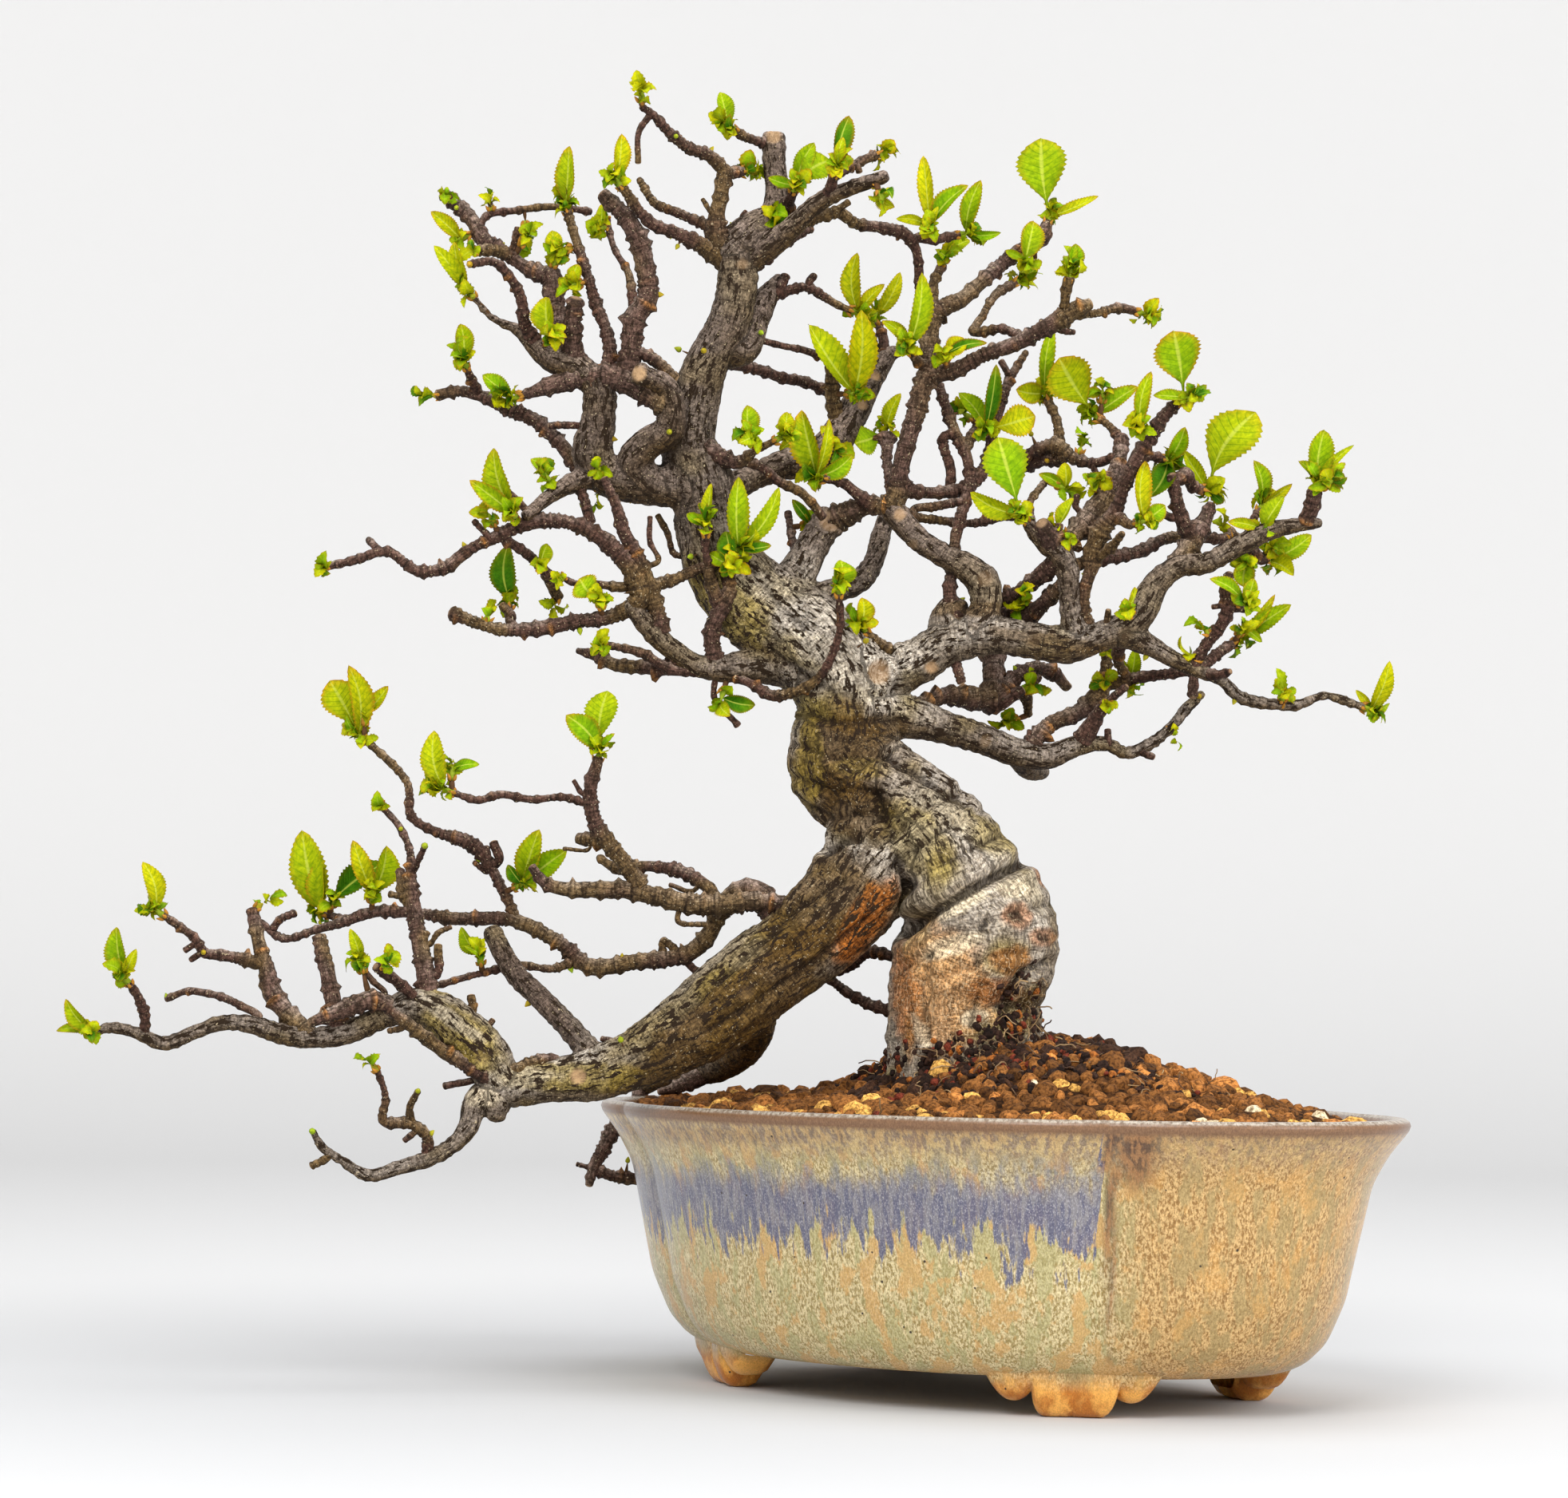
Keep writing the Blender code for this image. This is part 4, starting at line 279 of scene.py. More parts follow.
    "arch_front": ("arch_low", -8, [(1352, 925, 26), (1366, 900, 21), (1380, 880, 12), (1406, 857, 10)]),
    "arch_return": ("arch_riser", -8, [(1385, 852, 16), (1425, 845, 14), (1455, 842, 13), (1488, 840, 12),
                                       (1490, 868, 12)]),
    "back_mass": ("arch_low", 34, [(1140, 885, 26), (1180, 868, 20), (1215, 872, 30), (1240, 870, 30),
                                   (1262, 850, 20), (1290, 834, 17), (1318, 842, 16), (1332, 857, 13)]),
    "back_mass_post": ("back_mass", 6, [(1238, 868, 26), (1240, 838, 27), (1241, 815, 26)]),
    "back_mass_twig": ("back_mass", 10, [(1258, 858, 12), (1280, 868, 14), (1284, 892, 10)]),
    "mid_column": ("lower_right", -8, [(1348, 798, 40), (1338, 768, 29), (1335, 738, 27), (1332, 708, 30),
                                       (1322, 688, 33), (1306, 678, 26), (1290, 662, 20), (1281, 650, 14)]),
    "cut_face": ("mid_column", -6, [(1316, 682, 24), (1306, 664, 23), (1302, 655, 22)]),
    "link_back": ("mid_column", 18, [(1324, 695, 22), (1302, 716, 22), (1275, 736, 16), (1244, 752, 18)]),
    "link_low": ("mid_column", 24, [(1334, 722, 20), (1308, 748, 18), (1282, 768, 22), (1246, 764, 20)]),
    "dark_arm": ("mid_column", 16, [(1328, 680, 24), (1352, 655, 28), (1372, 634, 32), (1388, 605, 25),
                                    (1398, 572, 19), (1401, 546, 18)]),
    "dark_arm_tip": ("dark_arm", 4, [(1400, 550, 13), (1385, 530, 10), (1374, 522, 10)]),
    "grey_arm": ("dark_arm", 10, [(1394, 568, 11), (1368, 577, 12), (1342, 571, 14), (1320, 556, 21),
                                  (1296, 560, 15), (1276, 570, 10)]),
    "grey_arm_post": ("grey_arm", 4, [(1321, 556, 16), (1322, 535, 12), (1316, 515, 11), (1308, 498, 12)]),
    "grey_arm_low": ("grey_arm", 10, [(1328, 568, 14), (1300, 573, 17), (1277, 580, 20)]),
    "bud_twig": ("mid_column", 12, [(1288, 655, 12), (1286, 626, 9), (1297, 610, 9), (1306, 599, 8)]),
    "right_whip": ("lower_right", -12, [(1364, 792, 20), (1354, 762, 15), (1354, 740, 15), (1362, 712, 17),
                                        (1366, 685, 24), (1378, 658, 23), (1393, 636, 18), (1404, 608, 16),
                                        (1419, 573, 18), (1441, 538, 18), (1457, 514, 16), (1471, 502, 13)]),
    "red_whip": ("right_whip", -8, [(1366, 700, 14), (1388, 682, 12), (1402, 665, 8)]),
    "whip_spur": ("right_whip", -4, [(1398, 645, 14), (1412, 654, 11), (1420, 652, 9)]),
    "amber_twig": ("right_whip", 6, [(1420, 572, 14), (1438, 568, 12), (1452, 572, 11)]),
    "back_bow": ("mid_column", 26, [(1352, 702, 16), (1385, 695, 16), (1425, 687, 16), (1452, 673, 14),
                                    (1490, 668, 14), (1528, 671, 12), (1540, 664, 11)]),
    "pale_fork": ("lower_right", 6, [(1462, 712, 22), (1477, 694, 24), (1488, 678, 27), (1498, 660, 26),
                                     (1506, 645, 18), (1512, 630, 13)]),
    "pale_fork_left": ("pale_fork", -6, [(1490, 672, 24), (1477, 648, 20), (1469, 620, 16), (1464, 593, 13)]),
    "pale_fork_tip": ("pale_fork_left", 8, [(1466, 602, 13), (1482, 592, 17), (1490, 606, 13),
                                            (1502, 610, 10)]),
    "under_spur": ("lower_right", 5, [(1558, 676, 16), (1562, 655, 9), (1573, 636, 9)]),
    "under_knob": ("lower_right", 14, [(1560, 684, 14), (1572, 694, 13), (1582, 698, 11)]),
    "low_spray": ("lower_right", 10, [(1405, 790, 40), (1440, 808, 26), (1470, 825, 22), (1500, 838, 19),
                                      (1528, 850, 15), (1545, 868, 15), (1575, 877, 16), (1602, 880, 12),
                                      (1616, 881, 14), (1632, 876, 11), (1653, 868, 10), (1680, 875, 12),
                                      (1704, 883, 11)]),
    "spray_riser": ("low_spray", -8, [(1490, 832, 16), (1508, 803, 14), (1526, 780, 15), (1534, 758, 16),
                                      (1531, 735, 15), (1536, 716, 11)]),
    "spray_fork": ("low_spray", 8, [(1498, 836, 15), (1522, 815, 14), (1541, 803, 12)]),
    "spray_point": ("low_spray", -6, [(1505, 840, 14), (1522, 842, 12), (1536, 838, 8)]),
    "low_drop": ("lower_right", 20, [(1398, 800, 18), (1396, 825, 12), (1408, 846, 10)]),
    "spur_low": ("lower_right", -5, [(1110, 812, 14), (1090, 797, 11), (1081, 788, 9)]),
    "bud_post": ("lower_right", -4, [(1382, 790, 12), (1383, 772, 10), (1384, 762, 8)]),
    "behind_loop": ("right_riser", 10, [(1000, 705, 12), (988, 670, 10), (983, 640, 9)]),
    "side_runner": ("left_limb", 6, [(734, 590, 22), (700, 555, 18), (660, 520, 18), (640, 512, 18),
                                     (595, 492, 15), (570, 487, 14), (545, 492, 14)]),
    "side_stub": ("side_runner", -5, [(597, 492, 12), (585, 470, 11), (580, 457, 9)]),
    "low_arm": ("left_limb", -12, [(745, 590, 36), (710, 603, 26), (688, 616, 20), (655, 643, 18)]),
    "long_runner": ("left_collar", -12, [(795, 748, 24), (788, 715, 24), (762, 682, 23), (735, 662, 20),
                                         (700, 650, 18), (660, 652, 18), (622, 667, 16), (580, 688, 14),
                                         (558, 706, 16), (520, 712, 14), (480, 688, 12), (445, 697, 11),
                                         (403, 708, 9)]),
    "runner_stub": ("long_runner", 5, [(473, 690, 11), (458, 673, 9)]),
    "runner_bud": ("long_runner", -5, [(648, 655, 12), (641, 644, 10)]),
    "shadow_whip": ("long_runner", 16, [(623, 670, 12), (655, 690, 12), (680, 715, 14), (694, 745, 15)]),
    "blunt_prong": ("left_runner", 4, [(640, 782, 12), (633, 768, 10), (634, 757, 9)]),
}

# Leaf tufts: (route, seat, leaves, small leaves). A leaf is (column, row, width) of its tip.
TUFTS = [
    ("tip_spur", None, [(142, 1158, 30), (168, 1185, 16)], 2),
    ("tip_riser_arm", None, [(175, 1076, 28)], 3),
    ("bud_riser", None, [(372, 1036, 50), (398, 1070, 28)], 3),
    ("back_runner", (462, 1124), [(481, 1056, 36), (438, 1049, 28)], 2),
    ("front_hook", (450, 1212), [(435, 1160, 18)], 2),
    ("back_arch", None, [(410, 850, 44), (434, 831, 34)], 3),
    ("post_arm", None, [(540, 912, 34)], 3),
    ("runner_post", None, [(757, 862, 40), (705, 893, 36)], 2),
    ("crown_left_low", None, [(775, 166, 26)], 2),
    ("whip_a", None, [(710, 183, 32)], 3),
    ("high_left", None, [(565, 300, 26), (540, 306, 22)], 2),
    ("high_left", (682, 424), [(680, 368, 34)], 3),
    ("side_stub", None, [(573, 402, 26)], 2),
    ("loop_runner", None, [(600, 466, 26)], 2),
    ("runner_bud", None, [(615, 560, 40), (585, 600, 26)], 2),
    ("blunt_prong", None, [(632, 680, 36)], 2),
    ("left_runner", (748, 756), [(722, 722, 40)], 1),
    ("collar_prong", (912, 690), [(921, 594, 32), (972, 606, 26), (962, 680, 18)], 3),
    ("tuft_stem", None, [(887, 602, 17), (856, 640, 15)], 2),
    ("wound_twig", (938, 552), [(932, 505, 28)], 3),
    ("wound_twig", None, [(982, 513, 24)], 2),
    ("leaf_twig", None, [(1000, 512, 40), (1034, 522, 18), (1064, 566, 26)], 3),
    ("curl_twig", None, [(1049, 698, 34)], 3),
    ("spur_low", None, [(1076, 745, 26), (1097, 776, 16)], 2),
    ("stub_twig", None, [(898, 112, 24), (889, 138, 12)], 2),
    ("crown_prong", None, [(936, 184, 26)], 3),
    ("crown_spur", None, [(1036, 200, 44), (1016, 176, 26), (958, 220, 16)], 2),
    ("arm_spur", None, [(1060, 140, 28), (1062, 192, 26)], 2),
    ("arm_twig", None, [(1116, 172, 22)], 2),
    ("crown_right_twig", None, [(1070, 312, 28), (1104, 352, 18)], 2),
    ("mid_prong", None, [(1124, 336, 22)], 2),
    ("bridge_spur", (1160, 286), [(1153, 190, 22), (1208, 231, 26), (1118, 272, 14)], 2),
    ("bridge_spur", None, [(1224, 224, 26), (1250, 288, 14)], 1),
    ("sweep", None, [(1300, 170, 58), (1372, 242, 16)], 3),
    ("back_arm", None, [(1296, 330, 24), (1285, 357, 14)], 2),
    ("arm_post", None, [(1343, 303, 24)], 3),
    ("arm_tip", None, [(1447, 371, 20)], 2),
    ("column_left", None, [(1150, 340, 32), (1100, 400, 18), (1120, 424, 20)], 2),
    ("column_arm", (1180, 448), [(1206, 424, 28), (1232, 428, 16)], 2),
    ("mid_post", (1058, 490), [(1008, 406, 42), (1074, 388, 40), (1078, 470, 26)], 1),
    ("column_stub", None, [(1124, 490, 22), (1066, 552, 40)], 2),
    ("mid_column", None, [(1246, 544, 52), (1212, 612, 28)], 3),
    ("shadow_riser", (1234, 536), [(1243, 455, 22), (1196, 490, 26), (1292, 520, 38)], 2),
    ("grey_arm_post", None, [(1314, 404, 22), (1268, 486, 30)], 3),
    ("dark_arm_tip", None, [(1322, 446, 56), (1420, 482, 28)], 3),
    ("right_whip", None, [(1467, 410, 60), (1512, 485, 12)], 3),
    ("right_whip", (1428, 534), [(1438, 462, 22), (1412, 530, 16)], 2),
    ("amber_twig", None, [(1434, 622, 34), (1480, 532, 24)], 2),
    ("whip_spur", None, [(1432, 572, 26), (1456, 630, 26)], 3),
    ("pale_fork_tip", None, [(1568, 514, 60), (1477, 560, 20), (1530, 596, 26)], 3),
    ("under_spur", None, [(1567, 572, 24), (1614, 603, 16)], 2),
    ("right_tip", None, [(1656, 534, 36), (1690, 556, 13), (1622, 574, 20)], 3),
    ("under_knob", None, [(1640, 666, 28), (1616, 718, 26), (1592, 670, 24)], 1),
    ("spray_riser", (1548, 752), [(1566, 722, 20), (1510, 722, 20)], 1),
    ("spray_fork", None, [(1612, 755, 26), (1592, 742, 14)], 3),
    ("low_spray", None, [(1735, 825, 24), (1694, 861, 12)], 2),
    ("low_drop", None, [(1418, 808, 20), (1392, 818, 16)], 1),
]

# Some tones also stand for light: ash is laid on upper sides as a painted highlight, umber on undersides and on faces
# turned away as painted shade, and the near-black tone in folds, hollows and ring grooves as painted shade.
TONES = {
    "silver": (0.56, 0.51, 0.44), "grey": (0.29, 0.245, 0.19), "olive": (0.30, 0.225, 0.04),
    "umber": (0.11, 0.060, 0.011), "rust": (0.42, 0.14, 0.022), "tan": (0.74, 0.42, 0.18),
    "cream": (0.88, 0.76, 0.54), "plum": (0.085, 0.037, 0.025), "ash": (0.40, 0.315, 0.265),
    "dun": (0.115, 0.082, 0.064), "bud": (0.50, 0.22, 0.05), "near_black": (0.018, 0.010, 0.006),
}

BARK_PATCHES = [
    # Most patches are the bark's own colours. The umber strip under the collar, the second patch here, is painted
    # shade.
    ("silver", 1060, 815, 90, 44, 40, 0.75), ("umber", 1090, 905, 60, 14, 0, 0.7),
    ("umber", 1050, 940, 66, 66, 0, 0.85), ("umber", 1070, 1012, 62, 40, 30, 0.8),
    ("olive", 1010, 955, 18, 60, 0, 0.75), ("olive", 1075, 960, 40, 14, 10, 0.5),
    ("silver", 1162, 1008, 74, 30, 40, 0.45), ("olive", 1150, 1052, 70, 34, 50, 0.6),
    ("silver", 1245, 1125, 66, 44, 0, 0.5), ("cream", 1200, 1128, 40, 14, -30, 0.7),
    ("cream", 1262, 1112, 24, 10, 0, 0.6), ("rust", 1304, 1100, 22, 8, 40, 0.6),
    ("rust", 1262, 1200, 26, 20, 0, 0.6), ("tan", 1178, 1235, 80, 62, 80, 0.9),
    ("rust", 1132, 1250, 70, 18, 85, 0.7), ("rust", 1242, 1238, 36, 18, 0, 0.7),
    ("cream", 1188, 1182, 46, 13, -20, 0.7), ("cream", 1215, 1272, 18, 13, 0, 0.85),
    ("cream", 1152, 1292, 30, 8, 60, 0.6), ("umber", 1298, 1258, 32, 34, 0, 0.9),
    ("near_black", 1262, 1322, 80, 22, 0, 0.9), ("olive", 890, 1222, 200, 22, -37, 0.5),
    # The umber strip along the lower side of the lower limb is painted shade on its underside, and the thin silver
    # strip along its top is a painted highlight.
    ("umber", 925, 1256, 200, 40, -37, 0.9), ("silver", 905, 1190, 160, 8, -39, 0.4),
    ("umber", 1020, 1132, 90, 56, -50, 0.85), ("rust", 1078, 1150, 66, 22, -58, 1.0),
    ("olive", 705, 1345, 100, 20, 0, 0.75), ("silver", 645, 1346, 56, 14, -4, 0.4),
    ("cream", 600, 1372, 22, 13, 0, 0.5), ("olive", 575, 1292, 66, 30, 40, 0.7),
    ("silver", 560, 1272, 56, 10, 35, 0.5), ("dun", 655, 1245, 100, 30, 50, 0.95),
    ("olive", 905, 745, 70, 38, 45, 0.7), ("silver", 935, 722, 44, 18, 45, 0.4),
    ("olive", 1000, 880, 44, 18, 20, 0.6), ("umber", 970, 1290, 90, 26, -30, 0.8),
    ("umber", 1210, 760, 70, 10, 0, 0.7), ("umber", 1310, 800, 90, 10, 10, 0.6),
    ("umber", 905, 1225, 220, 62, -37, 0.30), ("umber", 1062, 960, 90, 80, 0, 0.35),
    ("rust", 1268, 1145, 20, 17, 0, 0.6), ("near_black", 1268, 1146, 9, 8, 0, 0.8),
    ("rust", 1300, 1171, 16, 14, 0, 0.6), ("near_black", 1300, 1172, 8, 7, 0, 0.8),
    ("umber", 1330, 1170, 26, 60, 10, 0.5),
]

LEAF_GREEN = (0.165, 0.33, 0.004)

LEAF_YELLOW = (0.46, 0.45, 0.004)

LEAF_DARK = (0.05, 0.17, 0.005)

NOTCH_COLUMN = 1386.0

BLUE_TOP, BLUE_BOTTOM = 1448.0, 1540.0

FOOT_BULGE = [(-1.0, 84.0, 9.5), (-0.3, 84.0, 8.0), (0.0, 84.0, 6.0), (0.0, 84.0, 2.4), (0.02, 84.0, 1.3),
              (0.06, 84.2, 0.5), (0.13, 84.6, 0.0), (0.25, 85.2, -0.4), (0.45, 86.2, -0.6), (0.7, 87.2, -0.2),
              (1.0, 88.5, 0.8)]

SPLIT_ROW = 870.0

LAMPS = [
    ("key", (-0.35, -1.1, 1.0), (0.05, 0.0, 0.15), 0.8, 12.0),
    ("fill", (1.0, -0.8, 0.60), (0.05, 0.0, 0.10), 0.9, 9.5),
    ("top", (0.20, -0.05, 1.4), (0.10, 0.03, 0.1), 1.2, 9.5),
]

PAPER_NEAR = (0.60, 0.605, 0.615)

PAPER_FAR = (0.62, 0.625, 0.635)


MORE_TUFTS = [
    ((112, 1290), [(80, 1248, 22), (66, 1288, 14)], 2), ((412, 1130), [(477, 1078, 36)], 2),
    ((478, 1208), [(482, 1178, 14)], 1), ((598, 1202), [(574, 1158, 22), (602, 1172, 14)], 2),
    ((452, 902), [(482, 856, 20)], 1), ((642, 1108), [(672, 1036, 34), (707, 1062, 34), (632, 1080, 18)], 3),
    ((562, 970), [(596, 954, 16)], 1), ((800, 122), [(790, 94, 16), (804, 98, 10)], 1),
    ((752, 282), [(750, 254, 16)], 2), ((580, 292), [(536, 263, 22), (552, 285, 14)], 1),
    ((650, 302), [(652, 276, 16)], 2), ((722, 352), [(720, 327, 20), (705, 340, 14)], 2),
    ((690, 328), [(688, 285, 24), (705, 306, 16)], 2), ((672, 706), [(682, 678, 22)], 1),
    ((752, 806), [(758, 784, 16)], 2), ((908, 705), [(884, 690, 20), (937, 716, 16), (905, 662, 28)], 3),
    ((965, 272), [(956, 254, 16), (976, 251, 16)], 2), ((1098, 240), [(1111, 231, 12)], 1),
    ((1178, 325), [(1211, 297, 20), (1190, 300, 14)], 2), ((1277, 318), [(1291, 273, 34), (1255, 311, 12)], 2),
    ((1322, 606), [(1330, 576, 22), (1297, 590, 16)], 2), ((1372, 608), [(1380, 590, 20)], 1),
    ((1326, 664), [(1341, 620, 20), (1311, 655, 14)], 1), ((1655, 606), [(1655, 584, 26), (1633, 609, 16)], 2),
    ((1570, 658), [(1603, 619, 28), (1533, 651, 16)], 1), ((1585, 692), [(1602, 666, 22), (1560, 671, 16)], 3),
    ((1562, 695), [(1553, 732, 30), (1535, 705, 20)], 2), ((1548, 790), [(1553, 776, 18), (1577, 801, 12)], 2),
    ((1602, 872), [(1602, 849, 12), (1620, 861, 12)], 1), ((1268, 898), [(1250, 889, 20), (1279, 910, 16)], 1),
    ((1283, 862), [(1291, 839, 18)], 1), ((1411, 765), [(1418, 732, 16)], 1), ((1275, 760), [(1281, 734, 18)], 1),
    ((902, 862), [(942, 880, 24), (888, 880, 16)], 0), ((1003, 655), [(1010, 635, 20), (988, 623, 16)], 2),
    ((614, 652), [(583, 639, 18)], 1), ((686, 602), [(680, 569, 20)], 1), ((1040, 555), [(1066, 572, 24), (1024, 530, 18)], 2),
    ((1000, 548), [(972, 560, 18), (1012, 590, 22)], 2), ((1210, 520), [(1180, 505, 18)], 1),
    ((1376, 498), [(1350, 492, 16), (1392, 500, 18)], 2), ((1480, 498), [(1504, 490, 18), (1440, 492, 18)], 2),
]

FLOOR_RADIUS = 1.3

BACKDROP_SIDES = 96

WORLD_STRENGTH = 0.30

FLOOR_GLOW, WALL_GLOW = 0.16, 0.16

STALK_TINT = (0.13, 0.065, 0.035)

# Short side shoots and cut stubs: the points they pass in the photograph, then their width.
STUBS = [
    ((228, 1187), 8), ((235, 1199), 8), ((345, 1150), (365, 1141), 10), ((505, 1120), (484, 1117), 8),
    ((540, 1220), (545, 1182), 11), ((533, 1180), (545, 1165), (560, 1158), 7),
    ((478, 1240), (465, 1228), (452, 1212), 8), ((500, 1283), (483, 1288), 8), ((600, 1345), (553, 1357), 9),
    ((407, 1445), (387, 1457), 10), ((515, 1415), (503, 1425), 8), ((588, 1265), (586, 1245), 10),
    ((605, 1285), (613, 1275), 8), ((775, 1305), (750, 1298), 8), ((728, 992), (715, 975), 6),
    ((735, 1058), (702, 1060), 5), ((865, 1112), (835, 1105), 6), ((620, 1075), (615, 1053), 12),
    ((608, 1088), (590, 1077), 7), ((735, 1460), (719, 1455), 6), ((825, 1178), (870, 1215), 10),
    ((845, 1150), (880, 1155), 7), ((890, 868), (920, 905), 8), ((637, 772), (625, 755), 10),
    ((640, 302), (645, 284), 10), ((612, 262), (610, 252), 7), ((800, 440), (840, 470), 16),
    ((797, 160), (795, 200), 8), ((720, 530), (685, 530), 9), ((725, 615), (735, 650), 14),
    ((840, 690), (832, 665), (820, 643), 8), ((820, 700), (810, 675), (810, 645), 7),
    ((610, 672), (590, 650), 8), ((650, 630), (625, 608), 9), ((890, 265), (876, 247), 6),
    ((925, 268), (930, 262), 6), ((970, 365), (980, 343), 12), ((1008, 355), (1016, 342), 9),
    ((1045, 262), (1058, 250), 9), ((1070, 205), (1072, 212), 8), ((1322, 400), (1335, 404), 8),
    ((1262, 468), (1250, 450), 9), ((1178, 545), (1182, 570), (1187, 585), (1185, 610), 13),
    ((1140, 637), (1165, 632), (1200, 625), 11), ((1320, 670), (1322, 655), 10), ((1343, 630), (1345, 618), 8),
    ((1465, 645), (1445, 635), 10), ((1365, 580), (1370, 592), 8), ((1545, 668), (1520, 685), (1505, 697), 8),
    ((1534, 758), (1555, 760), 10), ((1530, 755), (1515, 757), 7), ((1285, 930), (1285, 912), 6),
    ((1385, 930), (1383, 912), 9), ((1425, 937), (1440, 945), 9), ((1195, 835), (1200, 850), 13),
    ((1280, 868), (1298, 845), 8), ((1240, 880), (1275, 862), 14),
]

# Buds on the branches: (column, row, size) in pixels.
BUDS = [
    (203, 1240, 10), (326, 1128, 14), (713, 1216, 11), (653, 1258, 11), (540, 1412, 10), (590, 1078, 9),
    (715, 1180, 10), (775, 1190, 10), (772, 1295, 10), (748, 1303, 9), (460, 1330, 13), (520, 1362, 9),
    (385, 1413, 11), (783, 1445, 9), (835, 538, 10), (770, 548, 10), (785, 628, 10), (828, 366, 10),
    (857, 695, 10), (570, 707, 9), (745, 585, 15), (575, 675, 9), (402, 707, 12), (723, 793, 10),
    (610, 250, 13), (752, 270, 13), (567, 258, 9), (655, 285, 12), (628, 300, 11), (690, 330, 15),
    (700, 310, 14), (535, 492, 14), (685, 600, 14), (745, 618, 13), (608, 765, 13), (697, 722, 14),
    (690, 755, 12), (840, 432, 10), (875, 435, 10), (952, 415, 9), (843, 167, 8), (890, 180, 8),
    (910, 275, 8), (835, 297, 8), (842, 310, 8), (965, 262, 15), (1090, 235, 12), (1205, 510, 10),
    (1285, 535, 9), (1350, 555, 12), (1378, 597, 14), (1308, 575, 10), (1336, 672, 15), (1350, 715, 10),
    (1222, 540, 9), (1490, 817, 15), (1540, 880, 10), (1385, 880, 12), (1380, 895, 9), (1428, 825, 10),
    (1465, 918, 15), (1380, 850, 12), (1265, 830, 10), (1290, 845, 13), (1410, 765, 12), (1602, 872, 13),
    (1280, 735, 12), (1270, 760, 12), (1205, 745, 10), (1530, 662, 12), (1503, 785, 12), (250, 1190, 9),
    (498, 1035, 8), (473, 1006, 12), (528, 1056, 11), (453, 924, 12), (553, 241, 13), (588, 311, 12),
    (584, 328, 11), (588, 368, 11), (640, 492, 12), (1084, 797, 10), (1383, 812, 12), (1497, 868, 10),
]

# Knots and pruning scars on the thick wood: (column, row, width in pixels, height, bare wood from 0 to 1).
EYES = [
    (1268, 1145, 34, 0.9, 0.0), (1300, 1170, 26, 0.8, 0.0), (1095, 840, 40, 1.1, 0.5), (1162, 832, 20, 0.6, 0.8),
    (1035, 650, 34, 0.9, 0.5), (1230, 722, 26, 0.8, 0.2), (1197, 765, 26, 0.8, 0.2), (905, 800, 22, 0.8, 0.0),
    (720, 1345, 26, 0.7, 0.8), (825, 1300, 24, 0.7, 0.0), (797, 465, 22, 0.6, 0.9), (893, 570, 16, 0.5, 0.4),
    (925, 328, 18, 0.5, 0.3), (780, 743, 16, 0.5, 0.9), (1303, 656, 20, 0.5, 1.0), (1123, 642, 20, 0.5, 0.6),
    (1140, 678, 16, 0.4, 0.2), (1092, 468, 16, 0.5, 0.8), (1075, 505, 16, 0.5, 0.7), (965, 168, 24, 0.3, 0.7),
    (600, 1320, 26, 0.7, 0.1), (560, 1290, 22, 0.6, 0.0), (985, 1185, 30, 0.7, 0.0), (930, 1240, 26, 0.6, 0.1),
    (1020, 640, 14, 0.3, 0.0), (870, 700, 22, 0.6, 0.0), (920, 640, 20, 0.5, 0.0), (1405, 790, 24, 0.6, 0.1),
    (1290, 800, 22, 0.6, 0.1), (1340, 800, 20, 0.5, 0.0), (1230, 925, 20, 0.5, 0.2), (745, 590, 24, 0.6, 0.0),
    (1000, 900, 26, 0.4, 0.0), (1055, 860, 24, 0.4, 0.0),
]

